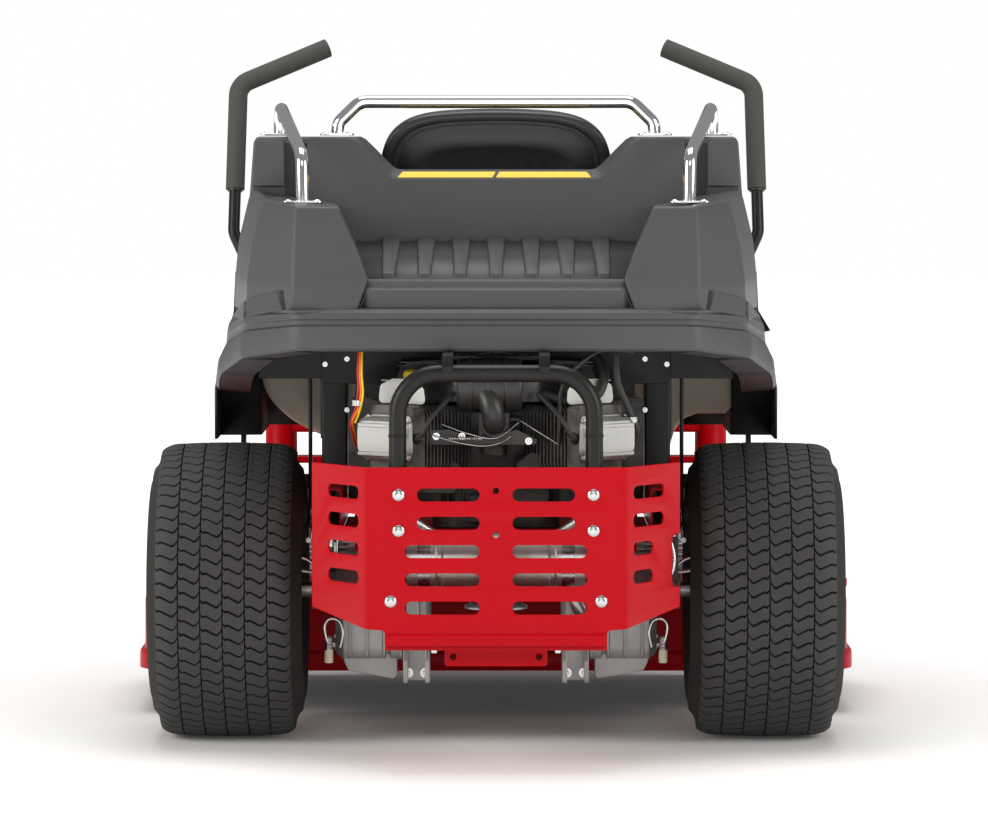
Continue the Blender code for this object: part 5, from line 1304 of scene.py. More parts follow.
def build_towers():
    """The seat wall with its notch and sloping ledge, and the two towers it joins."""
    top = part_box('rear_cowl')[1].z - 0.0015
    rear = [(0.0, 0.859), (0.148, 0.859), (0.158, 0.8602), (0.1655, 0.865), (0.178, 0.8795), (0.197, 0.901),
        (0.211, 0.916), (0.218, 0.92), (0.227, 0.921), (0.287, 0.921)]
    fore = [(0.0, 0.8735), (0.143, 0.8735), (0.151, 0.8745), (0.158, 0.879), (0.168, 0.889), (0.186, 0.9075),
        (0.1985, 0.9195), (0.206, top), (0.22, top), (0.287, top)]
    edges = [(-x, z, -a, b) for (x, z), (a, b) in list(zip(rear, fore))[::-1]]
    edges += [(x, z, a, b) for (x, z), (a, b) in list(zip(rear, fore))[1:]]
    rings = []
    for x, z, a, b in edges:
        rings.append([place(x, -0.074, 0.742), place(x, -0.074, z - 0.0015), place(x, -0.0732, z),
            place(a, -0.052, b), place(a, -0.049, b), place(a, -0.048, b - 0.002), place(a, -0.048, 0.757)])
    bm = loft(rings, caps=(False, False), ring_closed=False)
    cowl_piece('seat_wall', bm, wall=0, edge=0)
    band = bmesh.new()
    for low, high in ((-0.15, -0.006), (0.0, 0.1455)):
        slant = 0.0075 if low < -0.1 else 0.0
        outline = [(low, 0.0035), (high, 0.0035), (high + (0.0055 if slant else -0.0075), 0.0185),
            (low + (slant or 0.0055), 0.0185)]
        add_slab(band, rounded(outline, 0.0012, 3), lambda p: place(p.x,
            -0.0732 + 0.0212 * p.y / 0.0257 - p.z * 0.56, 0.859 + 0.0145 * p.y / 0.0257 + p.z * 0.83
            + 0.0003), 0.0008)
    merged('ledge_band', band, 'strip_yellow', edge=0)
    for side, word in SIDES:

        def ring(inset, u_back, u_front, z, outer, inner=0.205):
            return [place(side * (inner + inset), u_front, z), place(side * (inner + inset), u_back, z),
                place(side * (outer - inset), u_back, z), place(side * (outer - inset), u_front, z)]
        rings = [ring(0.0, -0.07, 0.13, 0.8, 0.379), ring(0.0, -0.07, 0.13, 0.845, 0.3745),
            ring(0.0, -0.07, 0.126, top - 0.01, 0.3695), ring(0.0035, -0.0665, 0.12, top, 0.369)]
        bm = loft(rings, caps=(False, True))
        cowl_piece(f'{word}_tower', bm, edge=0.006, segments=4)
        frame_corners = [place(side * 0.3225, -0.0702, 0.847), place(side * 0.3725, -0.0702, 0.847),
            place(side * 0.368, -0.0702, top - 0.006), place(side * 0.3225, -0.0702, top - 0.006)]
        quad_panel(f'{word}_tower_panel', frame_corners, 0.0045, edge=0.003)
        # Not a groove but a thin near-black strip: painted shade between the wall and the tower panel.
        dark = [place(side * 0.289, -0.0702, 0.83), place(side * 0.3206, -0.0702, 0.83),
            place(side * 0.3206, -0.0702, top - 0.01), place(side * 0.289, -0.0702, top - 0.01)]
        quad_panel(f'{word}_tower_groove', dark, 0.0006, finish_name='cowl_inside', edge=0.0003)


def build_bed():
    """The load bed: a sloping floor with rounded raised ribs."""
    slope = 0.053 / 0.273
    back, front = (-0.34, -0.069)
    half = 0.211

    def floor_z(u):
        return 0.712 + (u + 0.345) * slope
    rings = [[place(x, u, floor_z(u) - 0.0005) for u in (back, -0.2, front)] for x in (-half, -0.1, 0.0, 0.1,
        half)]
    bm = loft(rings, caps=(False, False), ring_closed=False)
    cowl_piece('bed_floor', bm, wall=0.0035, edge=0)
    pitch = bpy.context.scene.mower_sizes.rib_pitch
    count = 3
    bm = bmesh.new()
    for k in range(-count, count + 1):
        x = k * pitch
        start, end = (back + 0.012, front + 0.001)
        levels = [(0.0, -0.002), (0.0003, 0.0045), (0.0012, 0.006), (0.0026, 0.0066)]
        rows = []
        for inset, lift in levels:
            near, far = (0.0098 - inset, 0.0142 - inset)
            plan = rounded([(x - near, start + inset), (x + near, start + inset), (x + far, end),
                (x - far, end)], [0.004, 0.004, 0, 0], 4)
            rows.append([bm.verts.new(place(p.x, p.y, floor_z(p.y) + lift)) for p in plan])
        size = len(rows[0])
        for low, high in zip(rows, rows[1:]):
            for i in range(size):
                n = (i + 1) % size
                bm.faces.new((low[i], low[n], high[n], high[i]))
        bm.faces.new(rows[-1])
    add_piece('bed_ribs', mesh_from(bm, 'ribs'), 'cowl_moulding', crease=50)


def build_consoles():
    """The side consoles ahead of the pods, hollow and open underneath."""
    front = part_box('rear_cowl')[1].y - AXLE.y
    for side, word in SIDES:

        def ring(z, inner, outer, spread, fore):
            slot = 0.368 if z > 0.61 else 0.3745 if z > 0.6 else 0.377
            points = [(outer, 0.15), (outer + spread * 0.2, 0.268), (slot, 0.275), (slot, 0.532),
                (outer + spread, 0.539), (outer + spread, fore - 0.05), (outer + spread - 0.05, fore),
                (inner + 0.02, fore), (inner, fore - 0.02), (inner, 0.17)]
            return [place(side * x, u, z) for x, u in points]
        rings = [ring(0.45, 0.272, 0.4415, 0.0, front), ring(0.53, 0.272, 0.4415, 0.0, front),
            ring(0.56, 0.272, 0.436, 0.004, front), ring(0.585, 0.272, 0.424, 0.012, front),
            ring(0.603, 0.27, 0.413, 0.019, front - 0.001), ring(0.64, 0.206, 0.409, 0.018, front - 0.002),
            ring(0.7, 0.202, 0.407, 0.017, front - 0.006), ring(0.7195, 0.202, 0.403, 0.016, front - 0.012)]
        bm = loft(rings, caps=(False, True), ring_closed=False)
        cowl_piece(f'{word}_console', bm, edge=0.006, segments=4)
        panel = outline_mesh('panel', [rect(side * 0.215, 0.245, side * 0.36, 0.56, 0.014, 5)], 0.003,
            facing('Z', 0.72), 0.001)
        add_piece(f'{word}_console_panel', panel, 'satin_plastic')


# chrome rails


def foot_flange(name, spot, half_x, half_ahead, finish_name='rail_chrome'):
    """A small rectangular flange with two screws, under the foot of a chrome rail."""
    spot = Vector(spot)
    plan = rect(-half_x, -half_ahead, half_x, half_ahead, 0.008, 5)
    plate = outline_mesh('flange', [plan], 0.003, lambda p: spot + Vector((p.x, p.y, p.z + 0.0015)), 0.0007)
    add_piece(name, plate, finish_name)
    seats = [(spot + Vector((s * (half_x - 0.0085), 0, 0.003)), (0, 0, 1)) for s in (-1, 1)]
    bolts(f'{name}_screws', seats, 'chassis', 0.0062, 'rail_chrome', 'chrome', dome=True, washer=False)


def build_rails():
    radius = bpy.context.scene.mower_sizes.rail_radius
    foot_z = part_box('right_cargo_rail')[0].z
    head_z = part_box('seat_back_rail')[0].z
    for side, word in SIDES:
        corners = [(side * 0.288, -0.25, foot_z + 0.001), (side * 0.289, -0.25, 0.895),
            (side * 0.334, 0.06, 0.972), (side * 0.334, 0.06, head_z + 0.001)]
        path = [place(*p) for p in rounded(corners, 0.022, 9, closed=False)]
        tube(f'{word}_rail_tube', path, radius, 'rail_chrome', node=f'{word}_cargo_rail', roundness=8)
        foot_flange(f'{word}_rail_foot', place(side * 0.288, -0.25, foot_z), 0.03, 0.02)
        foot_flange(f'{word}_rail_head', place(side * 0.334, 0.06, head_z), 0.03, 0.02)
    corners = [(-0.243, -0.035, head_z + 0.001), (-0.2406, -0.035, 0.945), (-0.208, -0.035, 0.9766),
        (0.208, -0.035, 0.9766), (0.2406, -0.035, 0.945), (0.243, -0.035, head_z + 0.001)]
    path = [place(*p) for p in rounded(corners, [0, 0.02, 0.028, 0.028, 0.02, 0], 8, closed=False)]
    tube('cross_rail', path, radius, 'rail_chrome', node='seat_back_rail', roundness=8)
    for side, word in SIDES:
        foot_flange(f'{word}_cross_foot', place(side * 0.243, -0.035, head_z), 0.026, 0.018)


# seat


def superellipse(half_x, half_y, power, count):
    points = []
    for k in range(count):
        a = math.tau * k / count
        c, s = (math.cos(a), math.sin(a))
        points.append((half_x * math.copysign(abs(c) ** (2 / power), c),
            half_y * math.copysign(abs(s) ** (2 / power), s)))
    return points


def seat_back_frame():
    """Where the seat back stands: (ahead at foot, ahead at head, foot z, head z, half width)."""
    low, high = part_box('seat_back')
    return (0.105, 0.02, low.z, high.z, high.x)


def back_point(x, along, depth):
    """A point of the seat back: x, height along it from 0 to 1, and depth forward of its rear face."""
    foot_u, head_u, foot_z, head_z = seat_back_frame()[:4]
    lean = Vector((head_u - foot_u, head_z - foot_z))
    ahead = Vector((lean.y, -lean.x)).normalized()
    spot = Vector((foot_u, foot_z)) + lean * along + ahead * depth
    return place(x, spot.x, spot.y)


def build_seat_back():
    foot_u, head_u, foot_z, head_z, half = seat_back_frame()
    lean = math.hypot(head_u - foot_u, head_z - foot_z)
    quarter = [(0.0, 1.0), (0.3, 0.992), (0.55, 0.966), (0.74, 0.905), (0.87, 0.8), (0.95, 0.66),
        (0.992, 0.48), (1.0, 0.28)]
    foot = [(1.0, -0.6), (0.985, -0.86), (0.93, -0.96), (0.8, -1.0)]
    right = quarter + foot
    corners = [(x * (half - 0.001), y * (lean / 2 - 0.002)) for x,
        y in right + [(-x, y) for x, y in right[::-1][:-1]]]
    shape = [(p.x, p.y) for p in smooth_path(corners, 5, closed=True)]

    def ring(inset, depth):
        scale_x = 1 - inset / (half - 0.001)
        scale_y = 1 - inset / (lean / 2 - 0.002)
        return [back_point(x * scale_x, 0.5 + y * scale_y / lean, depth) for x, y in shape]
    rings = [ring(0.016, 0.0085), ring(0.0125, 0.0012), ring(0.0085, 0.0002), ring(0.003, 0.001),
        ring(0.0004, 0.004), ring(0.0, 0.01), ring(0.0, 0.019), ring(0.0025, 0.0215)]
    add_piece('seat_shell', mesh_from(loft(rings, (False, False)), 'shell'), 'satin_plastic', 'seat',
        'seat_back', crease=45)
    dish = [ring(0.016, 0.0085), ring(0.019, 0.007), ring(0.0215, 0.0085), ring(0.026, 0.007),
        ring(0.034, 0.003), ring(0.042, 0.0008), ring(0.052, 0.0), ring(0.058, 0.002), ring(0.064, 0.008),
        ring(0.1, 0.012), ring(0.15, 0.012)]
    add_piece('seat_dish', mesh_from(loft(dish, (False, True)), 'dish'), 'seat_shell_grain', 'seat',
        crease=60)
    crown = bpy.context.scene.mower_sizes.seat_crown

    def rim_share(along):
        """How wide the back is at a height, as a share of its full width."""
        if along < 0.5:
            return 1.0 - 0.16 * max(0.0, (0.12 - along) / 0.12) ** 2
        return max(0.0, 1.0 - (2 * along - 1.0) ** 4.2) ** (1 / 2.6)

    def panel(name, low, high, half_width, base, thick, swell):
        """One stuffed panel of the back: fullest in the middle, pulled in at its seams."""

        def point_at(w, v):
            along = low + (high - low) * (v + 1) / 2
            edge = (1 - abs(w) ** 5) * (1 - abs(v) ** 5)
            bolster = 0.01 * math.exp(-((abs(w) - 0.8) / 0.14) ** 2)
            lift = thick * edge ** 0.42 + swell * (1 - w * w) * math.sin(math.pi
                * (v + 1) / 2) + bolster * edge ** 0.5
            return back_point(w * half_width * rim_share(along), along, base + lift)
        stuffed(name, 14, 18, point_at)
    panel('seat_back_upper', 0.5, 0.965, half - 0.01, 0.02, 0.026, crown * 0.5)
    panel('seat_back_lower', 0.035, 0.495, half - 0.01, 0.02, 0.026, crown * 0.5)
    welt = [back_point(x * 0.985, 0.5 + y * 0.985 / lean, 0.0215) for x, y in shape]
    tube('seat_back_welt', welt, 0.0022, 'seat_vinyl', 'seat', closed=True)


def build_seat_cushion():
    low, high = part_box('seat_cushion')
    centre = (low + high) / 2
    half_x, half_y = ((high.x - low.x) / 2, (high.y - low.y) / 2)
    shape = superellipse(half_x - 0.001, half_y - 0.001, 5.0, 96)

    def ring(inset, z):
        return [Vector((centre.x + x * (half_x - inset) / half_x, centre.y + y * (half_y - inset) / half_y,
            z)) for x, y in shape]
    pan = [ring(0.02, low.z + 0.0002), ring(0.006, low.z + 0.001), ring(0.0015, low.z + 0.006),
        ring(0.0, low.z + 0.022), ring(0.0012, low.z + 0.026), ring(0.02, low.z + 0.026)]
    add_piece('seat_pan', mesh_from(loft(pan), 'pan'), 'satin_plastic', 'seat', 'seat_cushion',
        crease=40)
    crown = bpy.context.scene.mower_sizes.seat_crown
    foot_z, top = (low.z + 0.024, high.z - 0.002)

    def point_at(w, v):
        edge = (1 - abs(w) ** 6) * (1 - abs(v) ** 6)
        cross_seam = math.exp(-((v + 0.12) / 0.025) ** 2) if abs(w) < 0.66 else 0.0
        seam = 0.0045 * (math.exp(-((abs(w) - 0.66) / 0.035) ** 2) + cross_seam)
        bolster = 0.008 * math.exp(-((abs(w) - 0.83) / 0.12) ** 2)
        front = -0.01 * max(0.0, v - 0.6) / 0.4
        lift = (top - crown - 0.006 - foot_z) * edge ** 0.38 + crown * 0.4 * (1 - w * w)
        lift += (bolster + front - seam) * edge ** 0.5
        square_x, square_y = (w * math.sqrt(1 - 0.1 * v ** 4), v * math.sqrt(1 - 0.1 * w ** 4))
        return (centre.x + square_x * (half_x - 0.002), centre.y + square_y * (half_y - 0.002),
            min(foot_z + lift, top))
    stuffed('seat_cushion_cover', 26, 24, point_at)
    welt = [Vector((centre.x + x * 0.992, centre.y + y * 0.992, foot_z + 0.002)) for x, y in shape]
    tube('seat_cushion_welt', welt, 0.0022, 'seat_vinyl', 'seat', closed=True)


# engine


def cylinder_frame(side):
    """The unit ways out along one cylinder and across it."""
    out = Vector((side, -1, 0)).normalized()
    return (out, Vector((-out.y, out.x, 0)))


def on_cylinder(side, reach, across, z):
    out, sideways = cylinder_frame(side)
    return Vector((CRANK.x, CRANK.y, 0)) + out * reach + sideways * across + Vector((0, 0, z))


def build_engine():
    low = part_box('engine_block')[0]
    bm = bmesh.new()
    shape = rect(-0.095, -0.29, 0.095, -0.09, 0.03, 6)
    levels = [(1.0, low.z + 0.0003), (1.0, low.z + 0.02), (0.9, low.z + 0.026), (0.86, 0.42), (0.9, 0.432),
        (0.9, 0.52), (0.84, 0.529)]
    rings = [[place(p.x * k, -0.19 + (p.y + 0.19) * k, z) for p in shape] for k, z in levels]
    absorb(bm, loft(rings))
    for k in range(7):
        x = -0.072 + k * 0.024
        add_block(bm, place(x - 0.0022, -0.289, 0.366), place(x + 0.0022, -0.262, 0.425))
    add_turned(bm, [(0.0001, 0.0), (0.034, 0.0), (0.034, -0.018), (0.028, -0.024), (0.0001, -0.024)], 'Y',
        place(0.052, -0.272, 0.392), 28)
    add_block(bm, place(-0.04, -0.3, 0.35), place(0.006, -0.28, 0.392))
    merged('crankcase', bm, 'dark_casting', node='engine_block', edge=0.002)
    for side, word in SIDES:
        build_cylinder(side, word)
    build_blower()
    build_carburettor()
    spots = [(place(x, u, low.z + 0.02), (0, 0, 1)) for x in (-0.085, 0.085) for u in (-0.275, -0.105)]
    bolts('engine_bolts', spots, 'chassis', 0.009)


def build_cylinder(side, word):
    """One finned cylinder, its head and its ribbed valve cover."""
    barrel = bmesh.new()
    out = cylinder_frame(side)[0]
    for k in range(13):
        reach = 0.1 + k * 0.0072
        outline = rect(-0.044, 0.43, 0.044, 0.526, 0.012, 4)
        add_slab(barrel, outline, lambda p, r=reach: on_cylinder(side, r + p.z, p.x, p.y), 0.0024)
    core = rect(-0.034, 0.44, 0.034, 0.516, 0.02, 5)
    add_slab(barrel, core, lambda p: on_cylinder(side, 0.138 + p.z, p.x, p.y), 0.104)
    add_slab(barrel, rect(-0.0445, 0.428, 0.0445, 0.5275, 0.008, 4),
        lambda p: on_cylinder(side, 0.205 + p.z, p.x, p.y), 0.026)
    merged(f'{word}_cylinder', barrel, 'bay_casting', edge=0.0008)
    cover = bmesh.new()
    levels = [(0.0, 0.2203), (0.0, 0.224), (0.003, 0.2245), (0.004, 0.244), (0.0085, 0.2485)]
    shape = rect(-0.049, 0.446, 0.049, 0.514, 0.019, 6)
    rings = [[on_cylinder(side, reach, p.x * (1 - inset / 0.049),
        0.48 + (p.y - 0.48) * (1 - inset / 0.034)) for p in shape] for inset, reach in levels]
    absorb(cover, loft(rings))
    for z in (0.457, 0.499):
        slab = rect(-0.0385, z - 0.003, 0.0385, z + 0.003, 0.0025, 3)
        add_slab(cover, slab, lambda p: on_cylinder(side, 0.2485 + p.z, p.x, p.y), 0.004)
    merged(f'{word}_cover', cover, 'cover_metal', node=f'{word}_valve_cover', edge=0.0011)
    spots = [(on_cylinder(side, 0.224, across, z), out) for across in (-0.0425, 0.0425) for z in (0.453,
        0.507)]
    bolts(f'{word}_cover_bolts', spots, 'chassis', 0.0062)
    plug = [on_cylinder(side, 0.212, -side * 0.046, 0.48), on_cylinder(side, 0.216, -side * 0.062, 0.486),
        on_cylinder(side, 0.205, -side * 0.07, 0.51), on_cylinder(side, 0.15, -side * 0.062, 0.545)]
    tube(f'{word}_plug_lead', smooth_path(plug), 0.0038, 'hose_rubber')
    boot = bmesh.new()
    add_drum(boot, on_cylinder(side, 0.208, -side * 0.04, 0.478),
        on_cylinder(side, 0.215, -side * 0.06, 0.484), 0.0085, 20, 0.0065)
    merged(f'{word}_plug_boot', boot, 'hose_rubber', edge=0.001)


def build_blower():
    """The blower housing: a stamped drum with a lip, the shrouds over the cylinders and the rotating screen.
    """
    low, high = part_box('blower_housing')
    centre = Vector((CRANK.x, CRANK.y, 0))
    rim = [(0.144, low.z + 0.0005), (0.1495, low.z + 0.002), (0.15, low.z + 0.01), (0.1485, low.z + 0.036),
        (0.142, high.z - 0.006), (0.13, high.z - 0.001), (0.1, high.z), (0.09, high.z),
        (0.088, high.z - 0.004), (0.088, high.z - 0.012), (0.07, high.z - 0.014), (0.0001, high.z - 0.014)]
    drum_mesh = mesh_from(spun(rim, 96, 'Z', centre, closed=False), 'blower')
    blower = add_piece('blower', drum_mesh, 'satin_plastic', node='blower_housing', crease=30)
    thicken(blower, 0.002, -1.0)
    for side, word in SIDES:
        shroud = bmesh.new()
        outline = rounded([(-0.05, 0.529), (0.05, 0.529), (0.046, 0.556), (0.02, 0.566), (-0.03, 0.566),
            (-0.046, 0.552)], 0.008, 4)
        add_slab(shroud, outline, lambda p: on_cylinder(side, 0.196 + p.z, p.x * side, p.y), 0.0016)
        top = rounded([(0.13, -0.048), (0.197, -0.05), (0.197, 0.05), (0.13, 0.048)], 0.01, 4)
        add_slab(shroud, top, lambda p: on_cylinder(side, p.x, p.y, 0.5625 + p.z), 0.0016)
        merged(f'{word}_shroud', shroud, 'cover_metal', edge=0.0006)
    screen = bmesh.new()
    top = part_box('engine_screen')[1].z
    for spoke in ringed(1.0, 40):
        way = Vector((*spoke, 0))
        add_drum(screen, centre + way * 0.03 + Vector((0, 0, top - 0.004)),
            centre + way * 0.08 + Vector((0, 0, top - 0.006)), 0.0016, 6)
    for radius in (0.03, 0.045, 0.06, 0.08):
        profile = [(radius - 0.0022, top - 0.008), (radius + 0.0022, top - 0.008),
            (radius + 0.0022, top - 0.003), (radius - 0.0022, top - 0.003)]
        absorb(screen, spun(profile, 64, 'Z', centre))
    add_turned(screen, [(0.0001, top - 0.0005), (0.018, top - 0.0005), (0.028, top - 0.003),
        (0.03, top - 0.009), (0.0001, top - 0.009)], 'Z', centre, 40)
    merged('screen', screen, 'satin_plastic', 'crank', 'engine_screen')
    finger = bmesh.new()
    add_drum(finger, centre + Vector((0, 0, top - 0.001)), centre + Vector((0, 0, top + 0.0002)), 0.009, 6)
    merged('screen_nut', finger, 'zinc_plate', 'crank', edge=0.0004)


def build_carburettor():
    """The carburettor, its linkage, springs and brackets that show through the hoop."""
    body = bmesh.new()
    add_block(body, place(-0.026, -0.345, 0.481), place(0.02, -0.3, 0.517))
    add_drum(body, place(-0.003, -0.352, 0.499), place(-0.003, -0.285, 0.499), 0.02, 28)
    add_drum(body, place(-0.003, -0.33, 0.452), place(-0.003, -0.33, 0.482), 0.019, 28, 0.022)
    add_drum(body, place(0.02, -0.322, 0.505), place(0.036, -0.322, 0.505), 0.006, 16)
    merged('carburettor', body, 'dark_casting', edge=0.002, segments=3)
    elbow = smooth_path([place(-0.003, -0.348, 0.499), place(-0.003, -0.362, 0.508),
        place(-0.008, -0.362, 0.53), place(-0.02, -0.34, 0.552), place(-0.03, -0.3, 0.56)])
    tube('intake_elbow', elbow, 0.017, 'satin_plastic', roundness=8)
    cleaner = bmesh.new()
    add_turned(cleaner, [(0.0001, 0.0), (0.036, 0.0), (0.04, 0.004), (0.04, 0.09), (0.037, 0.096),
        (0.0001, 0.098)], 'X', place(-0.058, -0.328, 0.556), 40)
    for k in range(3):
        add_turned(cleaner, [(0.0402, 0.0), (0.0418, 0.0015), (0.0418, 0.0045), (0.0402, 0.006)], 'X',
            place(-0.04 + k * 0.026, -0.328, 0.556), 40)
    merged('air_cleaner', cleaner, 'satin_plastic', edge=0.001)
    bracket = bmesh.new()
    shape = rounded([(-0.1, 0.47), (0.06, 0.47), (0.06, 0.478), (0.03, 0.492), (-0.03, 0.478), (-0.07, 0.492),
        (-0.1, 0.492)], 0.003, 3)
    add_slab(bracket, shape, facing('Y', -0.356), 0.002)
    add_slab(bracket, rect(-0.105, -0.356, 0.06, -0.3, 0.006, 3), facing('Z', 0.47), 0.002)
    merged('governor_bracket', bracket, 'dark_casting', edge=0.0005)
    rods = {'governor_rod': [(-0.094, -0.362, 0.484), (-0.06, -0.364, 0.474), (-0.02, -0.364, 0.468),
        (0.01, -0.36, 0.474), (0.03, -0.352, 0.49)], 'choke_rod': [(-0.08, -0.36, 0.5),
        (-0.04, -0.366, 0.486), (0.0, -0.366, 0.48), (0.034, -0.356, 0.503)],
        'throttle_rod': [(0.036, -0.355, 0.505), (0.06, -0.362, 0.49), (0.092, -0.36, 0.47)]}
    for name, points in rods.items():
        tube(name, smooth_path([place(*p) for p in points]), 0.0011, 'zinc_plate', roundness=3)
    coil = helix(14, 12, lambda c, s, run: place(-0.07 + 0.05 * run, -0.368 + 0.0032 * s, 0.479 + 0.0032 * c))
    tube('governor_spring', coil, 0.0006, 'zinc_plate', roundness=2)
    spots = [(place(x, -0.3572, z), (0, -1, 0)) for x, z in ((-0.088, 0.482), (-0.05, 0.482), (0.048, 0.475))]
    bolts('bracket_bolts', spots, 'chassis', 0.0052)
    plates = bmesh.new()
    add_slab(plates, rounded([(-0.118, 0.395), (-0.06, 0.395), (-0.052, 0.44), (-0.118, 0.452)], 0.006, 4),
        facing('Y', -0.318), 0.012)
    add_slab(plates, rounded([(0.03, 0.402), (0.088, 0.402), (0.088, 0.446), (0.052, 0.458), (0.03, 0.44)],
        0.006, 4), facing('Y', -0.316), 0.012)
    merged('side_castings', plates, 'dark_casting', edge=0.002, segments=3)
    oil = bmesh.new()
    add_drum(oil, place(0.118, -0.33, 0.38), place(0.118, -0.33, 0.452), 0.033, 36)
    add_drum(oil, place(0.118, -0.33, 0.372), place(0.118, -0.33, 0.38), 0.026, 36)
    merged('oil_filter', oil, 'frame_black', edge=0.004, segments=4)
    stick = smooth_path([place(-0.118, -0.25, 0.42), place(-0.13, -0.275, 0.47), place(-0.128, -0.29, 0.53),
        place(-0.124, -0.292, 0.56)])
    tube('dipstick_tube', stick, 0.0065, 'frame_black')
    cap = bmesh.new()
    add_turned(cap, [(0.0001, 0.0), (0.013, 0.0), (0.014, 0.004), (0.013, 0.014), (0.006, 0.018),
        (0.0001, 0.018)], 'Z', place(-0.124, -0.292, 0.56), 24)
    merged('dipstick_cap', cap, 'strip_yellow', edge=0.0008)


def build_wiring():
    """Hoses, leads and cables in the engine bay."""
    runs = {'fuel_hose': ('hose_rubber', 0.0052, [(0.176, -0.33, 0.6), (0.18, -0.338, 0.56),
        (0.196, -0.336, 0.52), (0.206, -0.32, 0.482), (0.17, -0.29, 0.44), (0.12, -0.27, 0.425)]),
        'breather_hose': ('hose_rubber', 0.007, [(0.15, -0.3, 0.598), (0.16, -0.32, 0.575),
        (0.152, -0.336, 0.545), (0.12, -0.34, 0.53), (0.07, -0.33, 0.545)]),
        'starter_lead': ('cable_orange', 0.002, [(-0.2, -0.335, 0.605), (-0.2005, -0.342, 0.575),
        (-0.199, -0.34, 0.545), (-0.203, -0.33, 0.522), (-0.212, -0.315, 0.5), (-0.206, -0.28, 0.47)]),
        'lamp_lead': ('strip_yellow', 0.0016, [(-0.1975, -0.335, 0.605), (-0.1978, -0.345, 0.572),
        (-0.196, -0.343, 0.545), (-0.2, -0.333, 0.522), (-0.208, -0.318, 0.5)]),
        'stop_lead': ('knob_red', 0.0015, [(-0.203, -0.335, 0.605), (-0.204, -0.34, 0.575),
        (-0.203, -0.338, 0.548), (-0.207, -0.328, 0.522), (-0.215, -0.312, 0.497), (-0.208, -0.276, 0.462)]),
        'loom': ('hose_rubber', 0.0032, [(-0.195, -0.33, 0.605), (-0.199, -0.336, 0.58),
        (-0.1985, -0.335, 0.552)]), 'throttle_cable': ('hose_rubber', 0.0034,
        [(0.205, -0.2, 0.6), (0.15, -0.33, 0.606), (0.1, -0.356, 0.56), (0.094, -0.362, 0.5),
        (0.092, -0.361, 0.472)])}
    for name, (finish_name, radius, points) in runs.items():
        tube(name, smooth_path([place(*p) for p in points]), radius, finish_name,
            roundness=4)
    clips = bmesh.new()
    for x, u, z in ((-0.204, -0.33, 0.53), (0.2, -0.33, 0.505)):
        add_turned(clips, [(0.0062, -0.004), (0.0085, -0.004), (0.0085, 0.004), (0.0062, 0.004)], 'Z',
            place(x, u, z), 20)
    merged('lead_clips', clips, 'zinc_plate')


def build_muffler():
    """The silencer across the back of the engine, with its seams, straps, pipes and outlet."""
    low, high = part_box('muffler')
    middle_u = (low.y + high.y) / 2 - AXLE.y
    centre_z = (low.z + high.z) / 2
    radius = (high.z - low.z) / 2
    half = high.x
    profile = [(0.0001, -half), (radius - 0.012, -half), (radius - 0.004, -half + 0.004),
        (radius, -half + 0.01), (radius + 0.0004, -half + 0.012), (radius, -half + 0.016)]
    for k in (-0.5, 0.5):
        x = half * k
        profile += [(radius - 0.0005, x - 0.006), (radius - 0.0028, x - 0.003), (radius - 0.0028, x + 0.003),
            (radius - 0.0005, x + 0.006)]
    profile += [(radius, half - 0.016), (radius + 0.0004, half - 0.012), (radius, half - 0.01),
        (radius - 0.004, half - 0.004), (radius - 0.012, half), (0.0001, half)]
    mesh = mesh_from(spun(profile, 72, 'X', Vector((0, AXLE.y + middle_u, centre_z)), closed=False),
        'muffler')
    add_piece('silencer', mesh, 'heated_steel', node='muffler', crease=35)
    seam = bmesh.new()
    add_block(seam, place(-half + 0.01, middle_u - 0.003, centre_z + radius - 0.001),
        place(half - 0.01, middle_u + 0.003, centre_z + radius + 0.0005))
    merged('silencer_seam', seam, 'heated_steel', edge=0.0006)
    straps = bmesh.new()
    for x in (-0.105, 0.105):
        band = [(radius + 0.0002, x - 0.009), (radius + 0.0016, x - 0.009), (radius + 0.0016, x + 0.009),
            (radius + 0.0002, x + 0.009)]
        absorb(straps, spun(band, 56, 'X', Vector((0, AXLE.y + middle_u, centre_z))))
    merged('silencer_straps', straps, 'zinc_plate')
    for side, word in SIDES:
        points = [on_cylinder(side, 0.196, side * 0.02, 0.44), on_cylinder(side, 0.205, side * 0.03, 0.41),
            place(side * 0.15, -0.372, 0.375), place(side * 0.118, -0.395, 0.352),
            place(side * 0.096, -0.405, 0.338)]
        tube(f'{word}_exhaust_pipe', smooth_path(points), 0.0125, 'heated_steel', roundness=8)
    outlet = smooth_path([place(0.11, -0.44, 0.268), place(0.118, -0.447, 0.245), place(0.13, -0.448, 0.222),
        place(0.14, -0.44, 0.204)])
    tube('exhaust_outlet', outlet, 0.0115, 'heated_steel', roundness=8)


# transaxles and drive


def build_transaxles():
    for side, word in SIDES:
        build_transaxle(side, word)


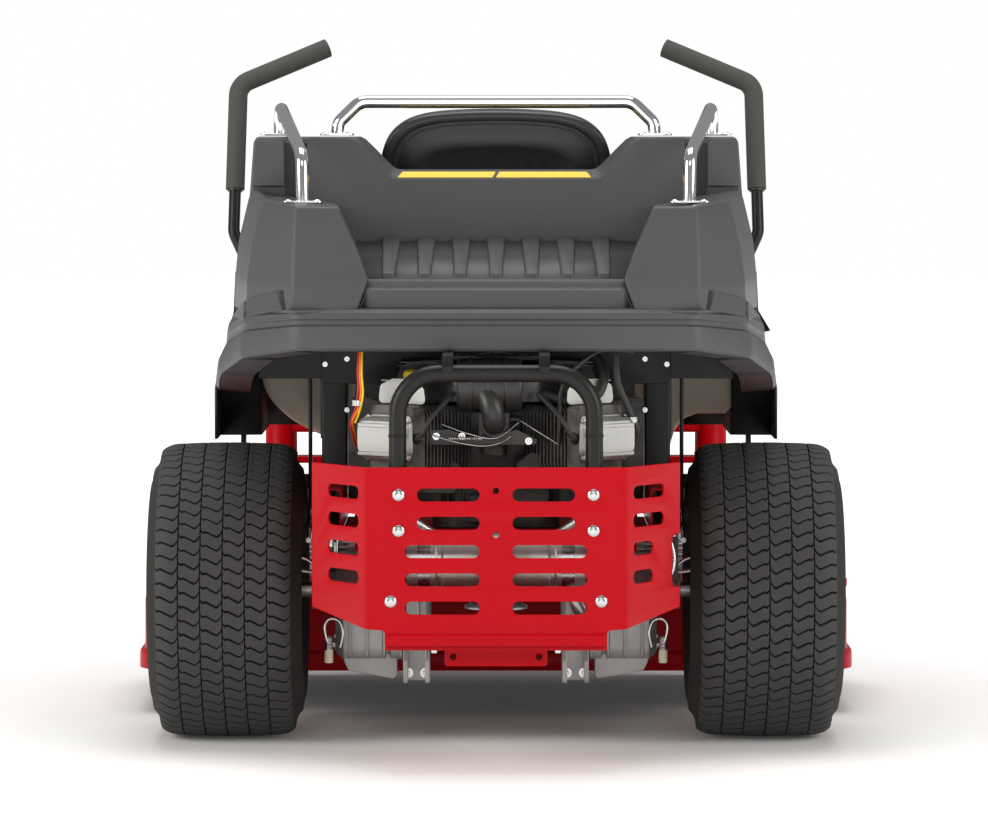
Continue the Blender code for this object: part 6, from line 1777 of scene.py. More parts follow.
def build_transaxle(side, word):
    """One cast drive case with its ribs, flange foot, axle horn, fan and bypass spring."""
    bm = bmesh.new()

    def spot(x, u, z):
        return place(side * x, u, z)
    rings = []
    for inset, x in ((0.006, 0.1003), (0.0, 0.106), (0.0, 0.16), (0.004, 0.162), (0.004, 0.17), (0.0, 0.172),
            (0.0, 0.232), (0.01, 0.2445)):
        shape = rounded([(-0.126 + inset, 0.128 + inset), (0.072 - inset, 0.128 + inset),
            (0.072 - inset, 0.225 - inset), (0.04, 0.282 - inset), (-0.06, 0.282 - inset),
            (-0.126 + inset, 0.235 - inset)], 0.02, 5)
        rings.append([spot(x, p.x, p.y) for p in shape])
    absorb(bm, loft(rings))
    for k in range(5):
        x = 0.118 + k * 0.026
        add_slab(bm, rounded([(-0.1295, 0.135), (-0.11, 0.128), (-0.11, 0.23), (-0.1295, 0.222)], 0.004, 2),
            facing('X', side * x), 0.004)
    horn = [(0.0001, 0.0), (0.0365, 0.0), (0.0365, 0.01), (0.03, 0.014), (0.028, 0.03), (0.031, 0.034),
        (0.031, 0.039), (0.0001, 0.039)]
    add_turned(bm, [(r, side * d) for r, d in horn], 'X', spot(0.2445, 0.0, AXLE.z), 36)
    foot = rounded([(-0.15, 0.0955), (-0.101, 0.0955), (-0.098, 0.125), (-0.098, 0.2), (-0.12, 0.2),
        (-0.15, 0.13)], 0.006, 4)
    add_slab(bm, foot, facing('X', side * 0.104), 0.0075)
    add_slab(bm, foot, facing('X', side * 0.137), 0.0075)
    web = rect(0.101, 0.0985, 0.14, 0.196, 0.006, 4)
    add_slab(bm, [(side * p.x, p.y) for p in web], facing('Y', -0.128), 0.006)
    lower = rounded([(0.15, 0.098), (0.225, 0.112), (0.236, 0.136), (0.15, 0.14)], 0.008, 4)
    add_slab(bm, [(side * p.x, p.y) for p in lower], facing('Y', -0.09), 0.05)
    merged(f'{word}_drive_case', bm, 'cast_metal', node=f'{word}_transaxle', edge=0.0015, segments=3)
    spots = [(spot(x, -0.1312, z), (0, -1, 0)) for x, z in ((0.1075, 0.11), (0.1335, 0.11), (0.1075, 0.184),
        (0.1335, 0.184))]
    spots += [(spot(0.245, u, z), (side, 0, 0)) for u, z in ((-0.095, 0.15), (-0.095, 0.225), (0.045, 0.15),
        (0.045, 0.215))]
    bolts(f'{word}_case_bolts', spots, 'chassis', 0.0075)
    fan = bmesh.new()
    add_turned(fan, [(0.0001, 0.0), (0.012, 0.0), (0.012, 0.009), (0.0001, 0.009)], 'Z',
        spot(0.15, 0.03, 0.288), 24)
    for spoke in ringed(1.0, 10):
        way = Vector((*spoke, 0))
        turn = way.cross(Vector((0, 0, 1)))
        near = [spot(0.15, 0.03, 0.2925) + way * out + turn * across + Vector((0, 0, lift)) for out, across,
            lift in ((0.01, -0.004, -0.003), (0.058, -0.012, -0.003), (0.058, 0.01, 0.0005),
            (0.01, 0.004, 0.0005))]
        prism(fan, near, [p + Vector((0, 0, 0.0012)) for p in near])
    merged(f'{word}_drive_fan', fan, 'satin_plastic', f'{word}_drive')
    clip = [spot(0.236, -0.14, 0.15), spot(0.232, -0.143, 0.172), spot(0.238, -0.143, 0.19),
        spot(0.252, -0.143, 0.193), spot(0.26, -0.143, 0.182), spot(0.256, -0.142, 0.16),
        spot(0.25, -0.139, 0.148)]
    tube(f'{word}_return_clip', smooth_path(clip), 0.0022, 'zinc_plate', roundness=4)
    coil = helix(9, 12, lambda c, s, run: spot(0.2535 + 0.0055 * c, -0.138 + 0.0055 * s, 0.166 - 0.02 * run))
    tube(f'{word}_return_spring', coil, 0.0011, 'zinc_plate', roundness=2)
    cup = bmesh.new()
    add_turned(cup, [(0.0001, 0.0), (0.0062, 0.0), (0.0066, 0.003), (0.0066, 0.018), (0.005, 0.022),
        (0.0001, 0.022)], 'Z', spot(0.2535, -0.138, 0.126), 24)
    merged(f'{word}_oil_port', cup, 'cream_plastic', edge=0.0006)
    loop = [spot(0.246, -0.06, 0.262), spot(0.268, -0.11, 0.262), spot(0.296, -0.128, 0.266),
        spot(0.311, -0.13, 0.274), spot(0.306, -0.13, 0.284), spot(0.29, -0.129, 0.284),
        spot(0.278, -0.126, 0.276)]
    tube(f'{word}_bypass_loop', smooth_path(loop), 0.0028, 'zinc_plate', roundness=4)
    rod = [spot(0.29, 0.025, 0.3), spot(0.292, 0.13, 0.318), spot(0.3, 0.26, 0.35), spot(0.338, 0.345, 0.372),
        spot(0.37, 0.352, 0.38)]
    tube(f'{word}_steer_link', smooth_path(rod), 0.0042, 'zinc_plate', roundness=4)
    arm = bmesh.new()
    add_slab(arm, rounded([(0.0, 0.278), (0.05, 0.284), (0.05, 0.3), (0.0, 0.306)], 0.007, 4),
        facing('X', side * 0.248), 0.005)
    merged(f'{word}_pump_arm', arm, 'zinc_plate', edge=0.0008)


def build_supports():
    """The small brackets and thin rods beside the transaxles, and the plate at the guard's notch."""
    bracket = bmesh.new()
    add_slab(bracket, rect(0.249, 0.268, 0.269, 0.334, 0.004, 3), facing('Y', -0.35), 0.004)
    add_slab(bracket, rounded([(-0.352, 0.268), (-0.3, 0.268), (-0.3, 0.282), (-0.352, 0.29)], 0.003, 3),
        facing('X', 0.251), 0.003)
    merged('notch_bracket', bracket, 'frame_black', edge=0.0008)
    hook = smooth_path([place(0.258, -0.356, 0.325), place(0.262, -0.362, 0.305), place(0.26, -0.362, 0.285),
        place(0.255, -0.358, 0.275)])
    tube('notch_hook', hook, 0.003, 'zinc_plate', roundness=4)
    for side, word in SIDES:
        rod = [place(side * 0.288, 0.06, 0.34), place(side * 0.288, 0.06, 0.596)]
        tube(f'{word}_latch_rod', rod, 0.0032, 'frame_black', roundness=4)
        link = [place(side * 0.288, 0.06, 0.345), place(side * 0.286, 0.03, 0.32),
            place(side * 0.27, 0.01, 0.312), place(side * 0.262, 0.0, 0.33)]
        tube(f'{word}_latch_hook', smooth_path(link), 0.0032, 'zinc_plate', roundness=4)
        guide = bmesh.new()
        add_slab(guide, rect(side * 0.268, 0.56, side * 0.297, 0.574, 0.003, 3), facing('Y', 0.054), 0.003)
        merged(f'{word}_rod_guide', guide, 'frame_black', edge=0.0006)


# tanks


def tank_outline(side, word):
    low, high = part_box(f'{word}_fuel_tank')
    outer, inner, foot, top = (high.x, low.x, 0.4055, 0.5995)
    if side < 0:
        outer, inner = (-low.x, -high.x)
        sweep = smooth_path([(outer, 0.548), (outer - 0.006, 0.527), (outer - 0.019, 0.504),
            (outer - 0.039, 0.484), (outer - 0.063, 0.467), (0.273, 0.449)], 4)
        return ([(outer, top)] + sweep + [(0.2675, foot), (inner, foot), (inner, top)], (outer, inner))
    sweep = [(outer, 0.495), (outer - 0.01, 0.485), (0.32, 0.485), (0.3, 0.478), (0.285, 0.462),
        (0.278, 0.44)]
    return ([(outer, top)] + sweep + [(0.2675, foot), (inner, foot), (inner, top)], (outer, inner))


def build_tanks():
    for side, word in SIDES:
        outline, (outer, inner) = tank_outline(side, word)
        low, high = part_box(f'{word}_fuel_tank')
        ends = (low.y - AXLE.y, high.y - AXLE.y)
        rings = []
        centre = Vector(((outer + inner) / 2, 0.53))
        for inset, u in ((0.01, ends[0]), (0.003, ends[0] + 0.003), (0.0, ends[0] + 0.01),
                (0.0, ends[1] - 0.01), (0.003, ends[1] - 0.003), (0.01, ends[1])):
            moved = [Vector(p) + (centre - Vector(p)).normalized() * inset for p in outline]
            rings.append([place(side * p.x, u, p.y) for p in moved])
        tank = add_piece(f'{word}_tank', mesh_from(loft(rings), 'tank'), 'tank_moulding',
            node=f'{word}_fuel_tank', crease=40)
        soften(tank, 0.007, 4, 35)
        seam = [place(side * x, (ends[0] + ends[1]) / 2, z) for x, z in outline]
        tube(f'{word}_tank_seam', seam, 0.0022, 'tank_moulding', closed=True)
        strap = bmesh.new()
        near_x, far_x = sorted((side * (outer + 0.0002), side * (outer + 0.0016)))
        for u in (ends[0] + 0.06, ends[1] - 0.06):
            add_block(strap, place(near_x, u - 0.01, 0.515), place(far_x, u + 0.01, 0.599))
        merged(f'{word}_tank_strap', strap, 'frame_black', edge=0.0004)
    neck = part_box('left_fuel_tank')[1].z
    spot = middle('fuel_cap')
    profile = [(0.0248, 0.598), (0.0248, 0.69), (0.0262, 0.692), (0.0262, neck - 0.014),
        (0.0245, neck - 0.012), (0.0245, neck), (0.02, neck), (0.02, 0.598)]
    mesh = mesh_from(spun(profile, 48, 'Z', Vector((spot.x, spot.y, 0))), 'neck')
    add_piece('filler_neck', mesh, 'tank_moulding', crease=35)
    build_fuel_cap()


def build_fuel_cap():
    low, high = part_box('fuel_cap')
    centre = Vector(((low.x + high.x) / 2, (low.y + high.y) / 2, 0))
    radius = (high.x - low.x) / 2
    rings = []
    steps = 120
    levels = ((radius - 0.002, low.z), (radius - 0.0004, low.z + 0.0015), (radius - 0.0004, high.z - 0.006),
        (radius - 0.002, high.z - 0.0025), (radius - 0.006, high.z - 0.0008))
    for reach, z in levels:
        ring = []
        for k in range(steps):
            a = math.tau * k / steps
            knurl = 0.0012 if k % 5 in (0, 1) and reach > radius - 0.0015 else 0.0
            ring.append(centre + Vector(((reach - knurl) * math.cos(a), (reach - knurl) * math.sin(a), z)))
        rings.append(ring)
    bm = loft(rings)
    bar_low, bar_high = (centre + Vector((-0.028, -0.005, high.z - 0.004)),
        centre + Vector((0.028, 0.005, high.z)))
    add_block(bm, bar_low, bar_high)
    merged('tank_cap', bm, 'satin_plastic', 'cap', 'fuel_cap', edge=0.0006)


# footplate, deck and levers


def restyle(node, finish_name):
    """Gives a carried-over frame part its finish."""
    part = bpy.data.objects[node]
    if not part.material_slots:
        part.data.materials.append(finish(finish_name))
    for slot in part.material_slots:
        slot.material = finish(finish_name)


def build_footplate():
    """The pan with its turned-up toe board, tread mat and edge trim."""
    low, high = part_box('footplate')
    half = high.x
    back, front = (low.y - AXLE.y, high.y - AXLE.y)
    path = rounded([(back, 0.461), (1.236, 0.461), (front - 0.001, high.z - 0.002)], [0, 0.03, 0], 6,
        closed=False)
    rings = [[place(x, p.x, p.y) for p in path] for x in (-half + 0.001, -half * 0.5, 0.0, half * 0.5,
        half - 0.001)]
    pan = add_piece('floor_pan', mesh_from(loft(rings, (False, False), ring_closed=False), 'pan'),
        'frame_black', node='footplate', crease=40)
    thicken(pan, 0.004, 0.0)
    sides = bmesh.new()
    for side, _ in SIDES:
        xs = sorted((side * (half - 0.004), side * half))
        add_block(sides, place(xs[0], back, RAIL_HIGH.z + 0.0004), place(xs[1], 1.15, 0.459))
        ear = rounded([(0.6, 0.461), (0.6, 0.556), (0.612, 0.5765), (0.6225, 0.566), (0.6225, 0.461)],
            [0, 0, 0.009, 0.004, 0], 4)
        add_slab(sides, ear, facing('X', side * 0.1236), 0.0062)
    add_block(sides, place(-0.19, back, 0.46), place(0.19, back + 0.004, 0.552))
    merged('pan_sides', sides, 'frame_black', edge=0.0012)
    mat = bmesh.new()
    plan = rect(-0.235, 0.645, 0.235, 1.205, 0.03, 6)
    add_slab(mat, plan, facing('Z', 0.4646), 0.0028)
    for k in range(26):
        u = 0.665 + k * 0.0208
        add_block(mat, place(-0.222, u, 0.4655), place(0.222, u + 0.009, 0.4678))
    merged('floor_mat', mat, 'mat_rubber', edge=0.0009)
    plate = outline_mesh('riser', [rect(-0.185, 0.47, 0.185, 0.548, 0.012, 4)], 0.003, facing('Y', 0.606),
        0.0008)
    add_piece('riser_cover', plate, 'satin_plastic')
    spots = [(place(s * 0.25, u, 0.4632), (0, 0, 1)) for s in (-1, 1) for u in (0.63, 0.9, 1.18)]
    bolts('pan_bolts', spots, 'chassis', 0.007)


REAR_CORNER = 0.075
FRONT_CORNER = 0.2


def deck_plan(inset):
    low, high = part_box('deck_shell')
    half = high.x - inset
    back, front = (low.y - AXLE.y + inset, high.y - AXLE.y - inset)
    return rect(-half, back, half, front, [REAR_CORNER - inset] * 2 + [FRONT_CORNER - inset] * 2, 14)


def build_deck():
    """The stamped deck: its skirt and shell, spindle bosses, blades, hangers, flap and fittings."""
    levels = [(0.01, 0.0725), (0.004, 0.0705), (0.001, 0.07), (0.0, 0.0715), (0.0, 0.094), (0.0012, 0.0985),
        (0.008, 0.101), (0.0085, 0.105), (0.0085, 0.178), (0.0105, 0.19), (0.018, 0.2), (0.03, 0.2045),
        (0.06, 0.205)]
    rings = [[place(p.x, p.y, z) for p in deck_plan(inset)] for inset, z in levels]
    # The shell's inner face takes the near-black painted shade.
    shell = add_piece('deck_cover', mesh_from(loft(rings, (False, True)), 'deck'), 'powder_coat', 'deck',
        'deck_shell', crease=35, inside='cowl_inside')
    thicken(shell, 0.003, -1.0, 1)
    # A near-black block in the flap's opening: painted shade of the deck's inside.
    mouth_shade = bmesh.new()
    door_low, door_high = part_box('discharge_door')
    add_block(mouth_shade, Vector((door_low.x - 0.006, door_low.y + 0.02, 0.104)),
        Vector((door_low.x - 0.0015, door_high.y - 0.02, 0.182)))
    merged('discharge_mouth', mouth_shade, 'cowl_inside', 'deck')
    for side, word in SIDES:
        spot = middle(f'{word}_spindle')
        bm = bmesh.new()
        centre = Vector((spot.x, spot.y, 0))
        add_turned(bm, [(0.0132, 0.2322), (0.045, 0.2322), (0.048, 0.228), (0.052, 0.212), (0.074, 0.2075),
            (0.08, 0.2045), (0.0132, 0.204)], 'Z', centre, 48)
        for spoke in ringed(1.0, 6):
            way = Vector((*spoke, 0))
            turn = way.cross(Vector((0, 0, 1))) * 0.0025
            web = [centre + way * r + Vector((0, 0, z)) for r,
                z in ((0.04, 0.2055), (0.076, 0.2055), (0.046, 0.228))]
            prism(bm, [p + turn for p in web], [p - turn for p in web])
        merged(f'{word}_spindle_boss', bm, 'cast_metal', 'deck', edge=0.0008)
        spots = [(centre + Vector((*p, 0.209)), (0, 0, 1)) for p in ringed(0.064, 6, 0.5)]
        bolts(f'{word}_boss_bolts', spots, 'deck', 0.008)
        spindle = bmesh.new()
        add_turned(spindle, [(0.0001, 0.0853), (0.026, 0.0853), (0.026, 0.0933), (0.0125, 0.0973),
            (0.0125, 0.2323), (0.065, 0.2323), (0.065, 0.2345), (0.056, 0.242), (0.056, 0.244), (0.065, 0.25),
            (0.065, 0.2523), (0.03, 0.2523), (0.024, 0.2545), (0.02, 0.2545), (0.02, 0.2623),
            (0.0001, 0.2623)], 'Z', centre, 64)
        merged(f'{word}_blade_shaft', spindle, 'machined_steel', f'{word}_blade_unit', f'{word}_spindle',
            edge=0.0006)
        build_blade(word, centre)
        hangers = bmesh.new()
        inner = RAIL_LOW.x - 0.0003
        for u in (0.35, 0.88):
            tab = rounded([(u - 0.032, 0.2045), (u + 0.032, 0.2045), (u + 0.02, 0.25), (u + 0.018, 0.385),
                (u - 0.018, 0.385), (u - 0.02, 0.25)], 0.008, 4)
            add_slab(hangers, tab, facing('X', side * (inner - 0.003)), 0.0058)
        merged(f'{word}_deck_hangers', hangers, 'powder_coat', 'deck', edge=0.001)
        pins = [(place(side * (inner - 0.006), u, 0.368), (-side, 0, 0)) for u in (0.35, 0.88)]
        bolts(f'{word}_hanger_pins', pins, 'deck', 0.009)
    build_door()
    build_deck_fittings()


def build_blade(word, centre):
    """One mulching blade: bevelled edges, twisted fins and its centre bolt."""
    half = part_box(f'{word}_blade')[1].x - centre.x
    bm = bmesh.new()
    rows = []
    for share in (-1.0, -0.97, -0.7, -0.55, -0.2, 0.2, 0.55, 0.7, 0.97, 1.0):
        x = centre.x + half * share
        way = 1 if share >= 0 else -1
        edge = abs(share) >= 0.55
        lift = 0.014 if abs(share) >= 0.7 else 0.0
        width = 0.0295 if abs(share) > 0.98 else 0.03
        cut_y = centre.y + way * width
        trail_y = centre.y - way * width
        thin = 0.0008 if edge else 0.005
        rows.append([bm.verts.new((x, cut_y, 0.0802)), bm.verts.new((x, cut_y, 0.0802 + thin)),
            bm.verts.new((x, cut_y - way * 0.012, 0.085)), bm.verts.new((x, trail_y + way * 0.01, 0.085)),
            bm.verts.new((x, trail_y, 0.085 + lift)), bm.verts.new((x, trail_y, 0.0802 + lift)),
            bm.verts.new((x, trail_y + way * 0.01, 0.0802))])
    for a, b in zip(rows, rows[1:]):
        if (a[0].co.y - centre.y) * (b[0].co.y - centre.y) < 0:
            continue
        for i in range(7):
            n = (i + 1) % 7
            bm.faces.new((a[i], a[n], b[n], b[i]))
    for row in (rows[0], rows[-1], rows[4], rows[5]):
        bm.faces.new(row)
    add_block(bm, Vector((centre.x - half * 0.2, centre.y - 0.03, 0.0802)),
        Vector((centre.x + half * 0.2, centre.y + 0.03, 0.085)))
    merged(f'{word}_mower_blade', bm, 'machined_steel', f'{word}_blade_unit', f'{word}_blade')
    nut = [(Vector((centre.x, centre.y, 0.08)), (0, 0, -1))]
    bolts(f'{word}_blade_bolt', nut, f'{word}_blade_unit', 0.0105)


def build_door():
    """The discharge flap with its curled hinge, pressed ribs and spring."""
    low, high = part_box('discharge_door')
    x = high.x - 0.0034
    bm = bmesh.new()
    shape = rounded([(low.y - AXLE.y, 0.192), (low.y - AXLE.y, low.z + 0.012), (low.y - AXLE.y + 0.02, low.z),
        (high.y - AXLE.y - 0.02, low.z), (high.y - AXLE.y, low.z + 0.012), (high.y - AXLE.y, 0.192)],
        [0, 0.006, 0.006, 0.006, 0.006, 0], 4)
    add_slab(bm, shape, facing('X', x), 0.003)
    add_drum(bm, Vector((x, low.y + 0.008, 0.196)), Vector((x, high.y - 0.008, 0.196)), 0.0034, 20)
    for k in range(3):
        u = low.y - AXLE.y + 0.055 + k * 0.065
        rib = rect(u - 0.012, 0.118, u + 0.012, 0.176, 0.01, 5)
        add_slab(bm, rib, facing('X', x + 0.0018), 0.0026)
    merged('discharge_flap', bm, 'powder_coat', 'door', 'discharge_door', edge=0.0008)
    coil = helix(10, 12, lambda c, s, run: Vector((x + 0.004 * c, high.y - 0.058 + 0.0336 * run,
        0.196 + 0.004 * s)))
    tube('flap_spring', coil, 0.0007, 'zinc_plate', 'door', roundness=2)


def build_deck_fittings():
    """Anti-scalp wheels, wash port and the ears of the flap's pin."""
    ears = bmesh.new()
    door_low, door_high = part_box('discharge_door')
    for u in (door_low.y + 0.0034, door_high.y - 0.0034):
        add_block(ears, Vector((0.566, u - 0.003, 0.19)), Vector((0.5748, u + 0.003, 0.203)))
    merged('flap_ears', ears, 'powder_coat', 'deck', edge=0.0012)
    for side, word in SIDES:
        for end, u in (('front', 0.86), ('rear', 0.38)):
            x = side * 0.48
            wheel = bmesh.new()
            centre = place(x, u, 0.1)
            add_turned(wheel, [(0.0062, -0.016), (0.03, -0.016), (0.035, -0.011), (0.036, 0.0),
                (0.035, 0.011), (0.03, 0.016), (0.0062, 0.016)], 'X', centre, 36)
            merged(f'{word}_{end}_roller', wheel, 'satin_plastic', 'deck', edge=0.0006)
            fork = bmesh.new()
            for way in (-1, 1):
                shape = rect(u - 0.01, 0.09, u + 0.01, 0.15, 0.008, 4)
                add_slab(fork, shape, facing('X', x + way * 0.019), 0.003)
            add_block(fork, place(x - 0.0205, u - 0.01, 0.144), place(x + 0.0205, u + 0.01, 0.148))
            add_drum(fork, place(x - 0.024, u, 0.1), place(x + 0.024, u, 0.1), 0.0055, 16)
            merged(f'{word}_{end}_roller_fork', fork, 'machined_steel', 'deck', edge=0.0008)
    port = bmesh.new()
    add_turned(port, [(0.006, 0.204), (0.016, 0.204), (0.016, 0.212), (0.012, 0.214), (0.012, 0.226),
        (0.006, 0.226)], 'Z', place(-0.44, 0.5, 0), 24)
    merged('wash_port', port, 'satin_plastic', 'deck', edge=0.0006)


def build_belts():
    """Pulleys of the crank and the two transaxles."""
    for word in ('left', 'right'):
        spot = middle(f'{word}_drive_pulley')
        low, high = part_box(f'{word}_drive_pulley')
        bm = bmesh.new()
        radius = high.x - spot.x
        centre = Vector((spot.x, spot.y, 0))
        add_turned(bm, [(0.0001, low.z), (0.01, low.z), (0.01, 0.2995), (radius, 0.3003), (radius, 0.3016),
            (0.0475, 0.3035), (0.0475, 0.3085), (radius, 0.3104), (radius, 0.3117), (0.022, 0.3117),
            (0.018, high.z - 0.001), (0.01, high.z), (0.0001, high.z)], 'Z', centre, 56)
        merged(f'{word}_transaxle_pulley', bm, 'machined_steel', f'{word}_drive', f'{word}_drive_pulley',
            edge=0.0005)
    restyle('engine_pulley', 'machined_steel')
    restyle('drive_belt', 'hose_rubber')
    restyle('engine_plate', 'powder_coat')
    restyle('seat_hinge_plate', 'frame_black')


def build_levers():
    """The deck lift lever and the parking brake lever with their handles."""
    tips = {'deck_lift_lever': (1, (0.745, 0.69), 0.013, 'deck_lever'),
        'parking_brake_lever': (-1, (0.725, 0.58), 0.013, 'brake_lever')}
    for node, (side, tip, radius, body) in tips.items():
        pivot = Vector((0.7, 0.37))
        end = Vector(tip)
        run = (end - pivot).normalized()
        across = Vector((-run.y, run.x))
        outline = [pivot + across * 0.011, end + across * 0.008, end - across * 0.008, pivot - across * 0.011]
        bm = bmesh.new()
        face = side * 0.2825
        add_slab(bm, rounded(outline, 0.006, 4), facing('X', face), 0.0055)
        add_drum(bm, place(side * 0.268, 0.7, 0.37), place(side * 0.2852, 0.7, 0.37), 0.0165, 32)
        merged(f'{body}_bar', bm, 'frame_black', body, node, edge=0.0012)
        spots = [(place(side * 0.2853, 0.7, 0.37), (side, 0, 0))]
        bolts(f'{body}_bolt', spots, body, 0.009)
        start = end - run * 0.044
        profile = [(0.0001, 0.0), (radius * 0.8, 0.0), (radius * 0.98, 0.004), (radius * 0.84, 0.02),
            (radius * 0.98, 0.044), (radius * 0.9, 0.066), (radius * 0.6, 0.0765), (0.0001, 0.078)]
        turn = Vector((0, run.x, run.y)).to_track_quat('Z', 'X').to_matrix()
        origin = place(face, start.x, start.y)
        grip = loft([[origin + turn @ Vector((*p, d)) for p in ringed(r, 28)] for r, d in profile],
            (False, False))
        merged(f'{body}_grip', grip, 'satin_plastic', body)


def lap_path(side):
    corners = [(side * 0.392, 0.37, 0.645), (side * 0.392, 0.37, 0.705), (side * 0.422, 0.374, 0.77),
        (side * 0.4165, 0.43, 1.008), (side * 0.2754, 0.47, 1.068)]
    return [place(*p) for p in rounded(corners, 0.03, 9, closed=False)]


def build_lap_bars():
    """The steering levers: yokes, bent bars and foam grips with their end caps."""
    for side, word in SIDES:
        path = lap_path(side)
        tube(f'{word}_bar', path, 0.0095, 'frame_black', f'{word}_lever', f'{word}_lap_bar', roundness=8)
        tongue = bmesh.new()
        x, u = (side * 0.392, 0.37)
        add_slab(tongue, rect(x - 0.0095, 0.607, x + 0.0095, 0.664, 0.006, 4), facing('Y', u), 0.0238)
        add_drum(tongue, place(x, u - 0.0183, 0.625), place(x, u + 0.0183, 0.625), 0.005, 20)
        merged(f'{word}_tongue', tongue, 'frame_black', f'{word}_lever', edge=0.001)
        arm = bmesh.new()
        blade_x = side * 0.4065
        add_slab(arm, rect(u - 0.015, 0.352, u + 0.015, 0.602, 0.01, 4), facing('X', blade_x), 0.0078)
        near_x, far_x = sorted((side * 0.382, side * 0.4105))
        add_block(arm, place(near_x, u - 0.0183, 0.59), place(far_x, u + 0.0183, 0.603))
        for way in (-1, 1):
            ear = rect(near_x, 0.6, far_x, 0.643, 0.008, 4)
            add_slab(arm, ear, facing('Y', u + way * 0.0153), 0.0058)
        add_drum(arm, place(side * 0.268, u, 0.37), place(side * 0.41, u, 0.37), 0.012, 28)
        merged(f'{word}_steer_arm', arm, 'frame_black', f'{word}_arm', f'{word}_control_arm', edge=0.0012)
        spots = [(place(side * 0.4104, u, 0.37), (side, 0, 0))]
        bolts(f'{word}_arm_nut', spots, f'{word}_arm', 0.01)
        start = next((i for i, p in enumerate(path) if p.z > 0.845))
        first = path[start - 1].lerp(path[start], (0.84 - path[start - 1].z) / (path[start].z
            - path[start - 1].z))
        tip = (path[-1] - path[-2]).normalized()
        sleeve = [first] + path[start:-1] + [path[-1] + tip * 0.002]
        dense = []
        for a, b in zip(sleeve, sleeve[1:]):
            steps = max(1, int((b - a).length / 0.008))
            dense += [a.lerp(b, k / steps) for k in range(steps)]
        dense.append(sleeve[-1])
        tube(f'{word}_foam', dense, 0.0154, 'grip_foam', f'{word}_lever', f'{word}_grip', roundness=9)
        collar = bmesh.new()
        way = (dense[1] - dense[0]).normalized()
        add_drum(collar, dense[0] - way * 0.0035, dense[0] + way * 0.001, 0.0125, 28)
        merged(f'{word}_grip_collar', collar, 'satin_plastic', f'{word}_lever', edge=0.0008)


def build_controls():
    """The blade switch, throttle lever, ignition key and their dial plates on the right console."""
    low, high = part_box('blade_switch_knob')
    centre = Vector(((low.x + high.x) / 2, (low.y + high.y) / 2, 0))
    top, base = (high.z, high.z - 0.02)
    bm = bmesh.new()
    add_turned(bm, [(0.0001, base - 0.028), (0.0069, base - 0.028), (0.0069, base), (0.011, base + 0.0002),
        (0.012, base + 0.008), (0.0155, base + 0.011), (0.0158, base + 0.017), (0.0135, top - 0.0006),
        (0.006, top), (0.0001, top)], 'Z', centre, 40)
    merged('switch_knob', bm, 'knob_red', 'blade_switch', 'blade_switch_knob', edge=0.0008)
    collar = bmesh.new()
    add_turned(collar, [(0.0165, 0.72), (0.0235, 0.72), (0.0225, 0.7232), (0.0175, 0.7232)], 'Z', centre, 40)
    merged('switch_bezel', collar, 'satin_plastic')
    low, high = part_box('throttle_lever')
    x = (low.x + high.x) / 2
    u = (low.y + high.y) / 2 - AXLE.y
    stalk = bmesh.new()
    add_slab(stalk, rounded([(u - 0.007, low.z), (u + 0.007, low.z), (u + 0.006, 0.764), (u - 0.006, 0.764)],
        0.003, 3), facing('X', x), 0.005)
    merged('throttle_stalk', stalk, 'zinc_plate', 'throttle', 'throttle_lever',
        edge=0.0006)
    knob = bmesh.new()
    add_turned(knob, [(0.0001, -0.014), (0.005, -0.014), (0.0086, -0.011), (0.009, 0.0), (0.0086, 0.011),
        (0.005, 0.014), (0.0001, 0.014)], 'X', place(x, u, 0.765), 32)
    merged('throttle_knob', knob, 'satin_plastic', 'throttle', edge=0.0006)
    plate = outline_mesh('dial', [rect(x - 0.02, u - 0.06, x + 0.02, u + 0.06, 0.006, 4),
        rect(x - 0.0035, u - 0.045, x + 0.0035, u + 0.045, 0.002, 3)], 0.001, facing('Z', 0.722), 0.0003, 1)
    add_piece('throttle_plate', plate, 'cover_metal')
    marks = bmesh.new()
    for k in range(7):
        add_block(marks, place(x + 0.008, u - 0.042 + k * 0.014, 0.7222),
            place(x + 0.008 + 0.004 + 0.0012 * k, u - 0.0405 + k * 0.014, 0.7229))
    merged('throttle_marks', marks, 'dial_white')
    low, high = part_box('ignition_key')
    centre = Vector(((low.x + high.x) / 2, (low.y + high.y) / 2, 0))
    base = low.z
    barrel = bmesh.new()
    add_turned(barrel, [(0.0001, base), (0.0118, base), (0.0118, base + 0.0045), (0.01, base + 0.006),
        (0.0001, base + 0.006)], 'Z', centre, 36)
    add_block(barrel, centre + Vector((-0.0012, -0.004, base + 0.005)),
        centre + Vector((0.0012, 0.004, base + 0.018)))
    merged('key_barrel', barrel, 'zinc_plate', 'key', 'ignition_key', edge=0.0005)
    bow = outline_mesh('bow', [arc((centre.y - AXLE.y, base + 0.0205), 0.0114, 0, 350, 35),
        arc((centre.y - AXLE.y, base + 0.0255), 0.0026, 0, 342, 19)], 0.0038, facing('X', centre.x), 0.0007)
    add_piece('key_bow', bow, 'satin_plastic', 'key')
    bezel = bmesh.new()
    add_turned(bezel, [(0.0125, 0.72), (0.0185, 0.72), (0.0175, 0.7228), (0.013, 0.7228)], 'Z', centre, 40)
    merged('key_bezel', bezel, 'zinc_plate')


# stage


def area_light(name, spot, aim, size, power, size_y=None, warm=False):
    lamp = bpy.data.lights.new(name, 'AREA')
    lamp.color = (1.0, 0.96, 0.89) if warm else (1.0, 1.0, 1.0)
    lamp.energy = power
    lamp.size = size
    if size_y:
        lamp.shape = 'RECTANGLE'
        lamp.size_y = size_y
    holder = bpy.data.objects.new(name, lamp)
    bpy.context.scene.collection.objects.link(holder)
    holder.location = spot
    holder.rotation_euler = (Vector(aim) - Vector(spot)).to_track_quat('-Z', 'Y').to_euler()
    return holder


